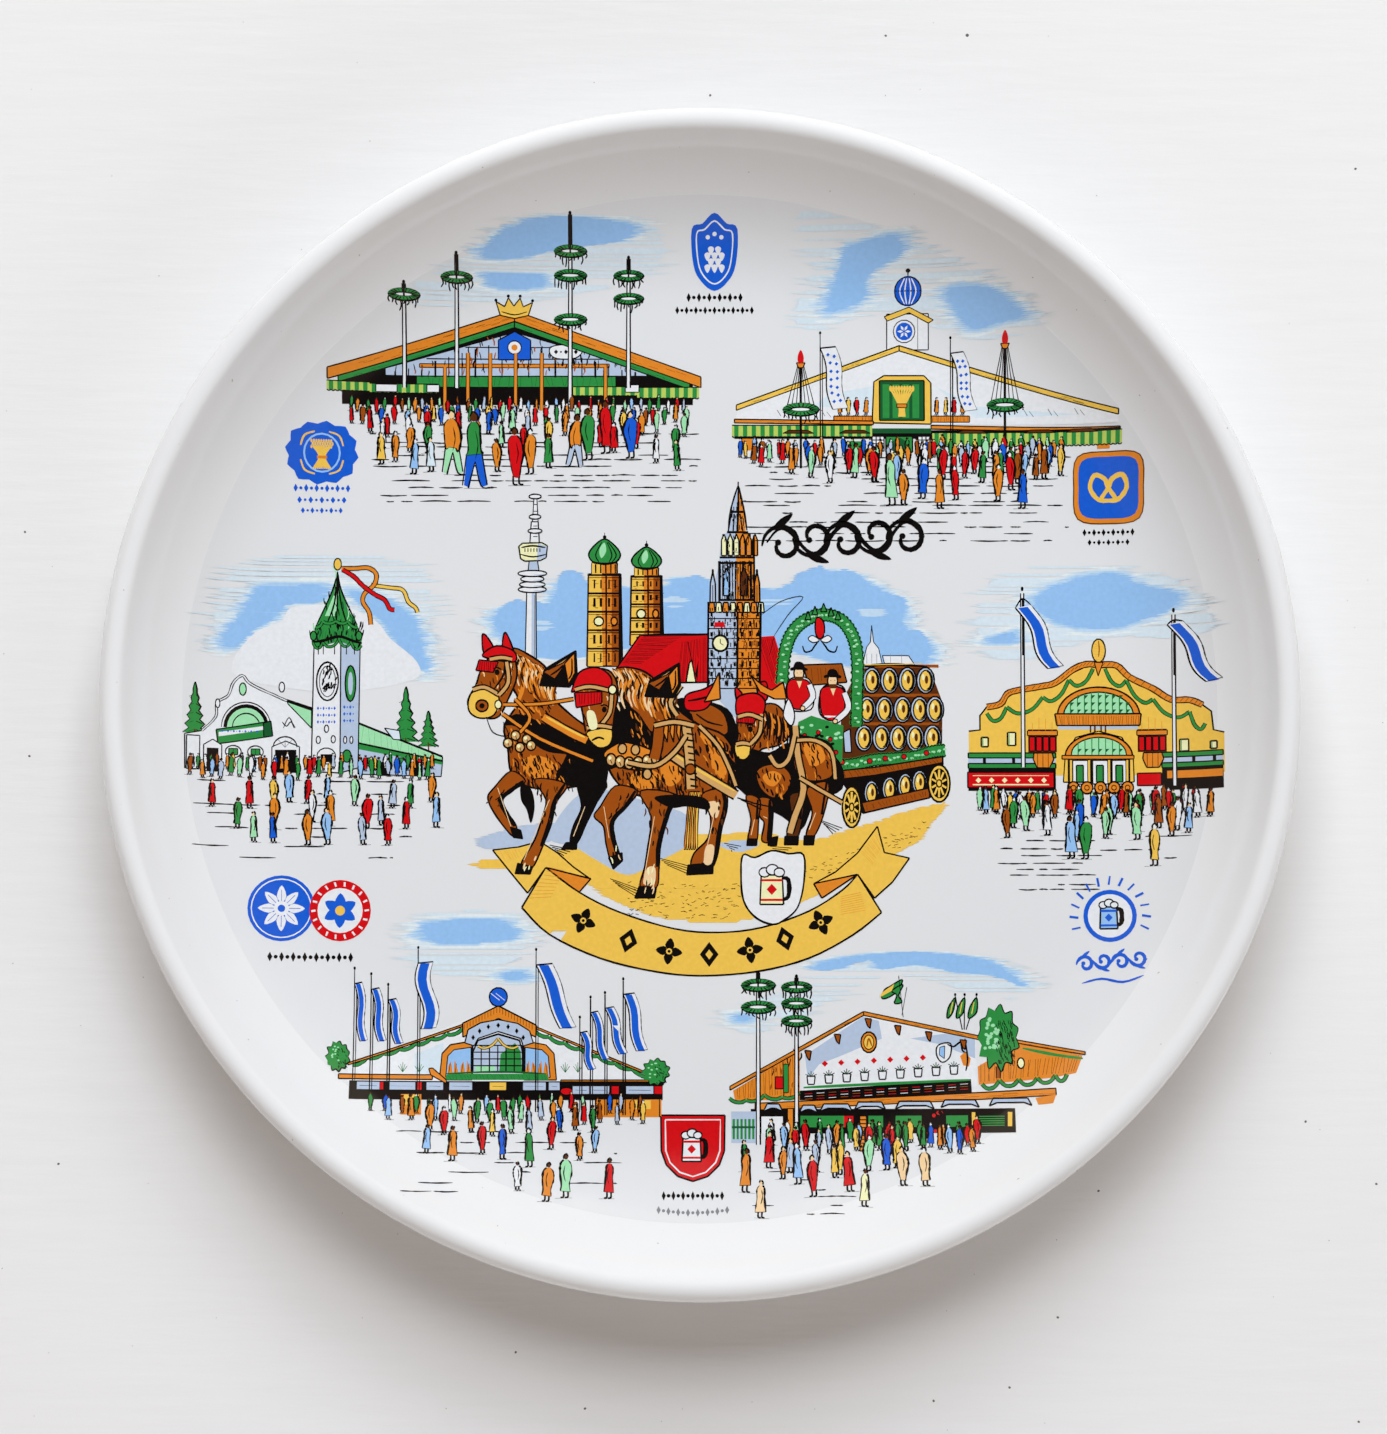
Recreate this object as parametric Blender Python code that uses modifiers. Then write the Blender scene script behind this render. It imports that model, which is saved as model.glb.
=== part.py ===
"""Souvenir plate: a coupe-shaped porcelain wall plate with a fired-on round picture transfer.

The porcelain is one turned body with a foot ring, pierced twice for a hanging wire.
On its well lies the transfer: a round film of clear flux, and on that the separate islands of
enamel colour that the firing leaves: a centre picture, a banner, a flourish, six festival
scenes and six badges. Metres, +Z up, +Y towards the top of the picture, and the origin at the
centre of the foot's resting plane.
"""

import math

import bmesh
import bpy
from mathutils import Matrix, Vector

# Driving dimensions of the porcelain body.
PLATE_RADIUS = 0.095
PLATE_HEIGHT = 0.022
WALL_THICKNESS = 0.0042
FLOOR_TOP = 0.0077
FLAT_RADIUS = 0.060
LIP_SLOPE = math.radians(55.0)
FOOT_RADIUS = 0.056
FOOT_WIDTH = 0.0040
FOOT_ROUNDING = 0.0008
HANG_HOLE_RADIUS = 0.0008
HANG_HOLE_HEIGHT = 0.0017
HANG_HOLE_SPREAD = math.radians(16.0)

# Driving dimensions of the transfer.
FILM_RADIUS = 0.0826
PRINT_RADIUS = 0.0820
SHEET_THICKNESS = 0.0001
SHEET_GAP = 0.0003

# How finely the round shapes are divided.
TURN_STEPS = 96
WALL_STEPS = 11
FLAT_STEPS = 3
LIP_STEPS = 9
CORNER_STEPS = 3
MERGE_DISTANCE = 0.00001

# Worked out from the driving dimensions.
LIP_RADIUS = WALL_THICKNESS / 2
LIP_CENTRE = (PLATE_RADIUS - LIP_RADIUS, PLATE_HEIGHT - LIP_RADIUS)
WALL_TOP = (
    LIP_CENTRE[0] - LIP_RADIUS * math.sin(LIP_SLOPE),
    LIP_CENTRE[1] + LIP_RADIUS * math.cos(LIP_SLOPE),
)
WALL_RUN = WALL_TOP[0] - FLAT_RADIUS
WALL_RISE = WALL_TOP[1] - FLOOR_TOP
WALL_POWER = math.tan(LIP_SLOPE) * WALL_RUN / WALL_RISE
FLOOR_UNDERSIDE = FLOOR_TOP - WALL_THICKNESS

PORCELAIN = ("porcelain", (0.86, 0.86, 0.85), 0.12)
FLUX = ("clear_flux", (0.88, 0.89, 0.89), 0.10)
CENTRE_ENAMEL = ("enamel_brown", (0.42, 0.19, 0.05), 0.18)
BANNER_ENAMEL = ("enamel_yellow", (0.80, 0.58, 0.20), 0.18)
BLACK_ENAMEL = ("enamel_black", (0.02, 0.02, 0.02), 0.18)
SCENE_ENAMEL = ("enamel_green", (0.08, 0.30, 0.12), 0.18)
BLUE_ENAMEL = ("enamel_blue", (0.02, 0.15, 0.60), 0.18)
RED_ENAMEL = ("enamel_red", (0.60, 0.01, 0.01), 0.18)

# Each island of enamel: its name, its colour, and its outline in millimetres on the picture.
MM = 0.001
ISLANDS = (
    ("print_centre_picture", CENTRE_ENAMEL, (
        (-39, 6), (-36, 16), (-30, 35), (-25, 36), (-18, 28.5), (-8, 29), (4, 36.5), (8, 27),
        (17, 21), (30, 20), (38, 12), (41, -8), (37.5, -14), (29.5, -15.8), (23, -21.8),
        (14, -29.6), (0, -33.6), (-13, -30.6), (-21.5, -24.5), (-26.5, -20), (-34, -20),
        (-39, -12))),
    ("print_banner", BANNER_ENAMEL, (
        (-33.5, -22), (-27, -22.4), (-23.5, -26), (-14, -32.7), (0, -35.8), (15, -32.4),
        (21.6, -28), (27.8, -19.8), (33.5, -23.5), (28.5, -31.5), (17, -39), (0, -42.4),
        (-16, -39.5), (-28.5, -31.5))),
    ("print_flourish", BLACK_ENAMEL, (
        (9.5, 29), (12, 32.4), (22, 32), (35, 29), (35.5, 25.5), (22, 23.8), (12, 24.6))),
    ("print_scene_north_west", SCENE_ENAMEL, (
        (-62, 53), (-50, 66), (-36, 75), (-20, 82), (-9, 82), (-7, 66), (-1, 56), (0, 40),
        (-10, 33), (-24, 38), (-40, 35.5), (-52, 37.5), (-53.5, 47))),
    ("print_scene_north_east", SCENE_ENAMEL, (
        (4.5, 48), (12, 60), (13.5, 82), (31, 77), (48, 66), (60, 56), (68.5, 47), (66, 44.2),
        (59, 43.6), (56.8, 38), (55, 31), (40, 28.5), (35, 31.5), (24, 34.5), (8, 38.5))),
    ("print_scene_west", SCENE_ENAMEL, (
        (-84, -4), (-83, 6), (-77, 19), (-68, 26.5), (-46, 28), (-42.5, 16), (-42, -2), (-40.5, -20),
        (-54, -24.5), (-70, -24), (-79, -16))),
    ("print_scene_east", SCENE_ENAMEL, (
        (43, -16), (42.5, 5), (44, 22), (56, 25), (70, 23), (79, 20), (84, 4), (83, -12),
        (76, -22), (62, -26.5), (48, -26), (44.5, -20))),
    ("print_scene_south_west", SCENE_ENAMEL, (
        (-61, -57), (-58, -47), (-48, -42), (-43, -33), (-32, -36.5), (-22, -42.5),
        (-10, -46), (-5, -57), (-8, -64), (-9.8, -78), (-20, -82), (-32, -77), (-45, -71),
        (-56, -64))),
    ("print_scene_south_east", SCENE_ENAMEL, (
        (4.5, -60), (4, -50), (6, -44.2), (16.5, -41.6), (20, -39.5), (30, -37.5), (46, -40),
        (56, -46), (61, -54), (56, -63), (44, -71.5), (28, -79), (9, -83), (6, -76))),
    ("print_badge_north", BLUE_ENAMEL, (
        (-5.5, 65), (-3, 70), (-3.5, 80.5), (2, 81.6), (7, 80.5), (7.5, 70), (10, 65),
        (2.5, 63))),
    ("print_badge_north_west", BLUE_ENAMEL, (
        (-67.5, 32), (-67.5, 40), (-66.5, 46.5), (-61.5, 47.2), (-56, 45.5), (-55.5, 38),
        (-56, 32), (-61, 31))),
    ("print_badge_north_east", BLUE_ENAMEL, (
        (59, 28), (59.8, 36), (61, 40.8), (65.5, 41.8), (70, 40.5), (71.5, 35), (71.5, 28),
        (65, 26))),
    ("print_badge_south_west", RED_ENAMEL, (
        (-73, -32), (-70, -27), (-64, -26.4), (-57.5, -26.2), (-51, -30), (-51.5, -35),
        (-54, -40), (-62, -41.5), (-71, -40))),
    ("print_badge_south_east", BLUE_ENAMEL, (
        (58, -39), (58.8, -31), (65, -28.6), (71.2, -31), (71.8, -40), (67, -44.5),
        (61, -44))),
    ("print_badge_south", RED_ENAMEL, (
        (-7.4, -79), (-6, -71), (-6.2, -64.5), (-1, -63.8), (3.4, -64.5), (3.4, -71),
        (5, -78), (-1.5, -81))),
)


def well_height(radius):
    """Height of the well's surface: flat, then a power curve that meets the lip on its tangent."""
    share = max(0.0, (radius - FLAT_RADIUS) / WALL_RUN)
    return FLOOR_TOP + WALL_RISE * share**WALL_POWER


def well_slope(radius):
    """Angle of the well's surface above the horizontal."""
    share = max(0.0, (radius - FLAT_RADIUS) / WALL_RUN)
    return math.atan(WALL_RISE / WALL_RUN * WALL_POWER * share ** (WALL_POWER - 1.0))


def arc(centre, radius, start, end, steps):
    """Points on an arc, with its angles measured from +radius towards +Z."""
    points = []
    for i in range(steps + 1):
        angle = start + (end - start) * i / steps
        points.append((centre[0] + radius * math.cos(angle), centre[1] + radius * math.sin(angle)))
    return points


def well_radii(reach):
    """Radii at which the well is divided, out to reach: few on the flat, more on the curve."""
    flat = [FLAT_RADIUS * i / FLAT_STEPS for i in range(FLAT_STEPS + 1)]
    curve = [FLAT_RADIUS + WALL_RUN * i / WALL_STEPS for i in range(1, WALL_STEPS)]
    return [r for r in flat + curve if r < reach - MERGE_DISTANCE] + [reach]


def foot_profile():
    """The foot ring's section, from its outer root down, across its resting face and up inside."""
    outer = FOOT_RADIUS - FOOT_ROUNDING
    inner = FOOT_RADIUS - FOOT_WIDTH + FOOT_ROUNDING
    root = FOOT_RADIUS + FOOT_ROUNDING
    points = arc((root, FLOOR_UNDERSIDE - FOOT_ROUNDING), FOOT_ROUNDING,
                 math.pi / 2, math.pi, CORNER_STEPS)
    points += arc((outer, FOOT_ROUNDING), FOOT_ROUNDING, 0.0, -math.pi / 2, CORNER_STEPS)
    points += arc((inner, FOOT_ROUNDING), FOOT_ROUNDING, -math.pi / 2, -math.pi, CORNER_STEPS)
    root = FOOT_RADIUS - FOOT_WIDTH - FOOT_ROUNDING
    points += arc((root, FLOOR_UNDERSIDE - FOOT_ROUNDING), FOOT_ROUNDING,
                  0.0, math.pi / 2, CORNER_STEPS)
    return points


def body_profile():
    """The porcelain's section, from the middle of the well out, over the lip and back under."""
    inside = [(r, well_height(r)) for r in well_radii(WALL_TOP[0])]
    lip_start = math.pi / 2 + LIP_SLOPE
    lip = arc(LIP_CENTRE, LIP_RADIUS, lip_start, lip_start - math.pi, LIP_STEPS)
    underside = []
    for radius in reversed(well_radii(WALL_TOP[0])[FLAT_STEPS + 1:-1]):
        slope = well_slope(radius)
        underside.append((radius + WALL_THICKNESS * math.sin(slope),
                          well_height(radius) - WALL_THICKNESS * math.cos(slope)))
    return inside + lip[1:] + underside + foot_profile() + [(0.0, FLOOR_UNDERSIDE)]


def sheet_profile(reach, lift):
    """The section of a thin sheet that follows the well at a height of lift above it."""
    radii = well_radii(reach)
    top = [(r, well_height(r) + lift + SHEET_THICKNESS) for r in radii]
    bottom = [(r, well_height(r) + lift) for r in reversed(radii)]
    return top + bottom


def enamel(name, colour, roughness):
    """A plain glossy material."""
    material = bpy.data.materials.get(name)
    if material is None:
        material = bpy.data.materials.new(name)
        material.use_nodes = True
        shader = material.node_tree.nodes["Principled BSDF"]
        shader.inputs["Base Color"].default_value = (*colour, 1.0)
        shader.inputs["Roughness"].default_value = roughness
    return material


def turned(name, profile, finish, collection):
    """A body of revolution about Z, from a profile of (radius, height) points."""
    mesh = bpy.data.meshes.new(name)
    vertices = [(radius, 0.0, height) for radius, height in profile]
    mesh.from_pydata(vertices, [(i, i + 1) for i in range(len(profile) - 1)], [])
    mesh.materials.append(enamel(*finish))
    body = bpy.data.objects.new(name, mesh)
    collection.objects.link(body)
    screw = body.modifiers.new("Turn", "SCREW")
    screw.axis = "Z"
    screw.steps = screw.render_steps = TURN_STEPS
    screw.use_merge_vertices = True
    screw.merge_threshold = MERGE_DISTANCE
    screw.use_smooth_shade = True
    return body


def hidden_cutter(obj):
    """Marks a helper, which shapes another object and isn't part of this one."""
    obj.hide_render = True
    obj.display_type = "WIRE"
    return obj


def cut(target, cutter, operation):
    """Adds a Boolean that cuts target with cutter."""
    boolean = target.modifiers.new("Cut " + cutter.name, "BOOLEAN")
    boolean.operation = operation
    boolean.object = cutter
    return boolean


def hang_hole_cutter(name, bearing, collection):
    """A pin that pierces the foot ring along its radius, at an angle from +Y."""
    direction = Vector((math.sin(bearing), math.cos(bearing), 0.0))
    mesh = bpy.data.meshes.new(name)
    shape = bmesh.new()
    bmesh.ops.create_cone(shape, cap_ends=True, segments=12, radius1=HANG_HOLE_RADIUS,
                          radius2=HANG_HOLE_RADIUS, depth=3 * FOOT_WIDTH)
    shape.to_mesh(mesh)
    shape.free()
    pin = bpy.data.objects.new(name, mesh)
    collection.objects.link(pin)
    ring_middle = FOOT_RADIUS - FOOT_WIDTH / 2
    place = Matrix.Translation(direction * ring_middle + Vector((0.0, 0.0, HANG_HOLE_HEIGHT)))
    pin.matrix_world = place @ direction.to_track_quat("Z", "Y").to_matrix().to_4x4()
    return hidden_cutter(pin)


def outline_cutter(name, outline, collection):
    """An upright prism with a smooth outline, tall enough to pass through the whole sheet."""
    curve = bpy.data.curves.new(name, "CURVE")
    curve.dimensions = "2D"
    curve.fill_mode = "BOTH"
    curve.extrude = PLATE_HEIGHT / 2
    curve.resolution_u = 3
    spline = curve.splines.new("BEZIER")
    spline.bezier_points.add(len(outline) - 1)
    spline.use_cyclic_u = True
    for point, (x, y) in zip(spline.bezier_points, outline):
        point.co = (x * MM, y * MM, 0.0)
        point.handle_left_type = point.handle_right_type = "AUTO"
    drawn = bpy.data.objects.new(name + "_outline", curve)
    collection.objects.link(drawn)
    drawn.location.z = PLATE_HEIGHT / 2
    bpy.context.view_layer.update()
    evaluated = drawn.evaluated_get(bpy.context.evaluated_depsgraph_get())
    mesh = bpy.data.meshes.new_from_object(evaluated)
    shape = bmesh.new()
    shape.from_mesh(mesh)
    bmesh.ops.remove_doubles(shape, verts=shape.verts, dist=MERGE_DISTANCE)
    bmesh.ops.recalc_face_normals(shape, faces=shape.faces)
    shape.to_mesh(mesh)
    shape.free()
    prism = bpy.data.objects.new(name, mesh)
    prism.matrix_world = drawn.matrix_world
    collection.objects.link(prism)
    bpy.data.objects.remove(drawn)
    return hidden_cutter(prism)


def plate_body(parts, cutters):
    """The porcelain, pierced through its foot ring on both sides of the picture's top."""
    body = turned("plate_body", body_profile(), PORCELAIN, parts)
    for side, name in ((-1, "hang_hole_left"), (1, "hang_hole_right")):
        cut(body, hang_hole_cutter(name, side * HANG_HOLE_SPREAD, cutters), "DIFFERENCE")


def flux_film(parts):
    """The round film of clear flux that carries the picture."""
    turned("flux_film", sheet_profile(FILM_RADIUS, SHEET_GAP), FLUX, parts)


def enamel_islands(parts, cutters):
    """The islands of colour, each cut by its outline from one sheet that follows the film."""
    lift = SHEET_GAP + SHEET_THICKNESS + SHEET_GAP
    for name, finish, outline in ISLANDS:
        island = turned(name, sheet_profile(PRINT_RADIUS, lift), finish, parts)
        cut(island, outline_cutter(name + "_cutter", outline, cutters), "INTERSECT")


def new_collection(name):
    collection = bpy.data.collections.new(name)
    bpy.context.scene.collection.children.link(collection)
    return collection


def main():
    for obj in list(bpy.data.objects):
        bpy.data.objects.remove(obj)
    parts = new_collection("Souvenir plate")
    cutters = new_collection("Cutters")
    plate_body(parts, cutters)
    flux_film(parts)
    enamel_islands(parts, cutters)


main()
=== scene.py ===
"""Looks of the souvenir plate: glazed porcelain with a fired-on picture, on a pale tabletop.

The picture is drawn here as flat shapes in millimetres, x to the right and y up from the middle of
the well. Each island of the picture is flattened into one sheet and laid on the well's surface.
"""

import math
import random

import bmesh
import bpy
from mathutils import Matrix, Vector
from mathutils.geometry import delaunay_2d_cdt, tessellate_polygon


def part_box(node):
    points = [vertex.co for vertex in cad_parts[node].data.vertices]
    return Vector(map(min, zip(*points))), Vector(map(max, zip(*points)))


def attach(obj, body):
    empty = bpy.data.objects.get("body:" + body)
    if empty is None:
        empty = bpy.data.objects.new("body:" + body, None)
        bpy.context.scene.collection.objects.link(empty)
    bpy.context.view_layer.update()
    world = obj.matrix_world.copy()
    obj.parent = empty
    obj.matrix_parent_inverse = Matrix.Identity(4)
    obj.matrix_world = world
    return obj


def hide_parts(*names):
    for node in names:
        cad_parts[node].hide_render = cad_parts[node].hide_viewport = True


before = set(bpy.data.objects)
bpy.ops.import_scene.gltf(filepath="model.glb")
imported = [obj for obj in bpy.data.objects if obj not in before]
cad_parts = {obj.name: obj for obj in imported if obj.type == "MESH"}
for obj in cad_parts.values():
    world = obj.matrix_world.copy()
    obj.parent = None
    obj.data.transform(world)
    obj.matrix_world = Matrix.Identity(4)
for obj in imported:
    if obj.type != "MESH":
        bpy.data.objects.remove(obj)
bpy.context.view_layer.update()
PLATE_LOW, PLATE_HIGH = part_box("plate_body")
FILM_LOW, FILM_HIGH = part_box("flux_film")

# The porcelain body's section, in metres.
PLATE_RADIUS = PLATE_HIGH.x
PLATE_HEIGHT = PLATE_HIGH.z
WALL_THICKNESS = 0.0042
FLOOR_TOP = 0.0077
FLAT_RADIUS = 0.060
LIP_SLOPE = math.radians(55.0)
FOOT_RADIUS = 0.056
FOOT_WIDTH = 0.0040
FOOT_ROUNDING = 0.0008
BARE_BAND = (0.00042, 0.00028)
HANG_HOLE_RADIUS = 0.0008
HANG_HOLE_HEIGHT = 0.0017
HANG_HOLE_SPREAD = math.radians(16.0)
LIP_RADIUS = WALL_THICKNESS / 2
LIP_CENTRE = (PLATE_RADIUS - LIP_RADIUS, PLATE_HEIGHT - LIP_RADIUS)
WALL_TOP = (
    LIP_CENTRE[0] - LIP_RADIUS * math.sin(LIP_SLOPE),
    LIP_CENTRE[1] + LIP_RADIUS * math.cos(LIP_SLOPE),
)
WALL_RUN = WALL_TOP[0] - FLAT_RADIUS
WALL_RISE = WALL_TOP[1] - FLOOR_TOP
WALL_POWER = math.tan(LIP_SLOPE) * WALL_RUN / WALL_RISE
FLOOR_UNDERSIDE = FLOOR_TOP - WALL_THICKNESS
TURN_STEPS = 256

# The fired transfer, in metres.
MM = 0.001
FILM_RADIUS = FILM_HIGH.x
FILM_EDGE = 0.00012
FILM_LIFT = 0.00002
PRINT_LIFT = 0.00005
BANNER_LIFT = 0.00002

# Where the transfer's middle sits on the plate, in millimetres: it was laid a little off centre.
PRINT_SHIFT = (0.4, -0.85)

# Colours of the enamels, as they look in daylight, each from 0 to 255.
COLOURS = {
    "ink": (14, 10, 10),
    "sky": (142, 184, 229),
    "pale_sky": (184, 208, 236),
    "mid_sky": (163, 197, 233),
    "wash": (204, 219, 238),
    "mist": (218, 226, 236),
    "blue": (24, 88, 200),
    "grey_blue": (172, 188, 210),
    "red": (200, 14, 20),
    "green": (44, 134, 62),
    "dark_green": (24, 84, 44),
    "light_green": (152, 214, 166),
    "lime": (176, 196, 92),
    "yellow": (232, 186, 78),
    "tan": (200, 156, 96),
    "cream": (246, 232, 178),
    "ochre": (214, 128, 38),
    "brown": (150, 74, 16),
    "dark_brown": (84, 42, 14),
    "peach": (243, 196, 150),
    "white": (220, 223, 226),
    "grey": (120, 122, 128),
}

# How much of a white surface's light the well's floor receives, and the brightest enamel.
WELL_LIGHT = 0.90
BRIGHTEST = 0.86


def linear(colour):
    """A colour from 0 to 255 as a reflectance: the light it sends back for what the well gets."""
    parts = [c / 255 for c in colour]
    light = [c / 12.92 if c < 0.04045 else ((c + 0.055) / 1.055) ** 2.4 for c in parts]
    return tuple(min(BRIGHTEST, c / WELL_LIGHT) for c in light)


# Drawing -----------------------------------------------------------------------------------------

# Slivers smaller than this, in square millimetres, aren't drawn.
SMALLEST_AREA = 1e-5


def smooth(points, closed=False, steps=4):
    """A Catmull-Rom curve through the points."""
    count = len(points)
    found = []
    for i in range(count if closed else count - 1):
        if closed:
            a, b, c, d = (points[(i + k) % count] for k in (-1, 0, 1, 2))
        else:
            a, b, c, d = (points[min(max(i + k, 0), count - 1)] for k in (-1, 0, 1, 2))
        for step in range(steps):
            t = step / steps
            found.append(tuple(
                0.5 * (2 * b[k] + (c[k] - a[k]) * t
                       + (2 * a[k] - 5 * b[k] + 4 * c[k] - d[k]) * t * t
                       + (3 * b[k] - a[k] - 3 * c[k] + d[k]) * t**3)
                for k in (0, 1)))
    return found if closed else found + [tuple(points[-1])]


def area_of(polygon):
    """Signed area: positive where the corners run anticlockwise."""
    total = 0.0
    for (ax, ay), (bx, by) in zip(polygon, polygon[1:] + polygon[:1]):
        total += ax * by - bx * ay
    return total / 2


def ellipse_points(x, y, rx, ry, count=14, start=0.0, end=math.tau):
    """Points round an ellipse, or along an arc of one."""
    last = count if end - start > 6.28 else count - 1
    angles = [start + (end - start) * i / last for i in range(count)]
    return [(x + rx * math.cos(a), y + ry * math.sin(a)) for a in angles]


class Pen:
    """Paints flat shapes in millimetres, each over the ones before it."""

    def __init__(self, seed=0):
        self.shapes = []
        self.chance = random.Random(seed)
        self.place = Matrix.Identity(3)

    def at(self, x, y, scale=1.0, flip=1, turn=0.0):
        """A pen for the same sheet that draws from its own origin."""
        other = Pen()
        other.shapes = self.shapes
        other.chance = self.chance
        move = Matrix(((1, 0, x), (0, 1, y), (0, 0, 1)))
        size = Matrix(((scale * flip, 0, 0), (0, scale, 0), (0, 0, 1)))
        other.place = self.place @ move @ Matrix.Rotation(turn, 3, "Z") @ size
        return other

    def placed(self, points):
        """The points moved from this pen's own origin to the sheet's."""
        return [tuple((self.place @ Vector((x, y, 1.0)))[:2]) for x, y in points]

    def add(self, colour, polygon):
        """One convex polygon, stored anticlockwise."""
        area = area_of(polygon)
        if abs(area) > SMALLEST_AREA:
            self.shapes.append((colour, polygon if area > 0 else polygon[::-1]))

    def fill(self, colour, points):
        """A filled shape with straight sides."""
        corners = self.placed(points)
        for triangle in tessellate_polygon([[Vector((*p, 0.0)) for p in corners]]):
            self.add(colour, [corners[i] for i in triangle])

    def blob(self, colour, points, steps=4):
        """A filled shape with a curved outline."""
        self.fill(colour, smooth(points, True, steps))

    def oval(self, colour, x, y, rx, ry=None, count=14):
        """A filled oval, round where one radius is given."""
        self.add(colour, self.placed(ellipse_points(x, y, rx, ry or rx, count)))

    def line(self, points, width=0.16, colour="ink", ends=0.45, rough=0.12, curved=True):
        """A pen stroke that swells in its middle. Its width isn't scaled with the place."""
        path = self.placed(smooth(points) if curved and len(points) > 2 else points)
        path = [p for i, p in enumerate(path) if not i or math.dist(p, path[i - 1]) > 0.02]
        if len(path) < 2:
            return
        sides = []
        for i, (x, y) in enumerate(path):
            before, after = path[max(i - 1, 0)], path[min(i + 1, len(path) - 1)]
            dx, dy = after[0] - before[0], after[1] - before[1]
            length = math.hypot(dx, dy) or 1.0
            swell = ends + (1 - ends) * math.sin(math.pi * i / (len(path) - 1)) ** 0.5
            half = width / 2 * swell * (1 + self.chance.uniform(-rough, rough))
            nx, ny = -dy / length * half, dx / length * half
            sides.append(((x + nx, y + ny), (x - nx, y - ny)))
        for (a, b), (c, d) in zip(sides, sides[1:]):
            self.add(colour, [b, d, c, a])

    def rim(self, points, width=0.16, colour="ink", curved=True):
        """A closed outline, drawn as two strokes that meet."""
        path = smooth(points, True) if curved else list(points)
        middle = len(path) // 2
        self.line(path[:middle + 1], width, colour, 0.8, curved=False)
        self.line(path[middle:] + path[:1], width, colour, 0.8, curved=False)

    def shape(self, colour, points, width=0.16, curved=False):
        """A filled shape with an ink outline."""
        (self.blob if curved else self.fill)(colour, points)
        if curved:
            self.rim(points, width)
        else:
            for a, b in zip(points, list(points[1:]) + [points[0]]):
                self.line([a, b], width, ends=0.9)

    def disc(self, colour, x, y, rx, ry=None, width=0.16, count=14):
        """A filled oval with an ink outline."""
        self.oval(colour, x, y, rx, ry, count)
        self.rim(ellipse_points(x, y, rx, ry or rx, count), width, curved=False)

    def box(self, colour, x0, y0, x1, y1, width=0.0):
        """A filled upright rectangle, outlined where a width is given."""
        corners = [(x0, y0), (x1, y0), (x1, y1), (x0, y1)]
        self.fill(colour, corners)
        if width:
            for a, b in zip(corners, corners[1:] + corners[:1]):
                self.line([a, b], width, ends=0.9)


def clipped(polygon, axis, limit, keep_above):
    """A convex polygon cut by an upright or a level line."""
    found = []
    sign = 1 if keep_above else -1
    for p, q in zip(polygon, polygon[1:] + polygon[:1]):
        before, after = sign * (p[axis] - limit), sign * (q[axis] - limit)
        if before >= 0:
            found.append(p)
        if before * after < 0:
            t = before / (before - after)
            found.append((p[0] + (q[0] - p[0]) * t, p[1] + (q[1] - p[1]) * t))
    return found


# How a sheet is cut, in millimetres: into square tiles and, where the well curves, with extra
# corners on a grid, so that the sheet follows the curve.
TILE = 4.0
GRID = 1.333
CURVED_FROM = 58.0

# In millimetres: corners this close are one corner, and one this near a straight run is left out.
SAME_CORNER = 1e-4
STRAIGHT = 0.002



def tiled(shapes):
    """The shapes cut into square tiles, so that each tile is quick to flatten."""
    tiles = {}
    for colour, polygon in shapes:
        xs, ys = [p[0] for p in polygon], [p[1] for p in polygon]
        for i in range(math.floor(min(xs) / TILE), math.floor(max(xs) / TILE) + 1):
            for j in range(math.floor(min(ys) / TILE), math.floor(max(ys) / TILE) + 1):
                piece = polygon
                for axis, cell in ((0, i), (1, j)):
                    for edge, above in ((cell, True), (cell + 1, False)):
                        if len(piece) > 2:
                            piece = clipped(piece, axis, edge * TILE, above)
                if len(piece) > 2 and area_of(piece) > SMALLEST_AREA:
                    tiles.setdefault((i, j), []).append((colour, piece))
    return tiles


def covers(polygon, x, y):
    """Whether a convex polygon that runs anticlockwise holds a point."""
    return all((bx - ax) * (y - ay) >= (by - ay) * (x - ax)
               for (ax, ay), (bx, by) in zip(polygon, polygon[1:] + polygon[:1]))


def colour_finder(flat, faces, labels, cell=0.25):
    """A function that gives the colour at a point of a flattened tile."""
    cells = {}
    for face, label in zip(faces, labels):
        if label is None:
            continue
        corners = [tuple(flat[k]) for k in face]
        xs, ys = zip(*corners)
        for i in range(math.floor(min(xs) / cell), math.floor(max(xs) / cell) + 1):
            for j in range(math.floor(min(ys) / cell), math.floor(max(ys) / cell) + 1):
                cells.setdefault((i, j), []).append((corners, label))

    def colour_at(x, y):
        nearby = cells.get((math.floor(x / cell), math.floor(y / cell)), ())
        return next((label for corners, label in nearby if covers(corners, x, y)), None)

    return colour_at


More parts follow.
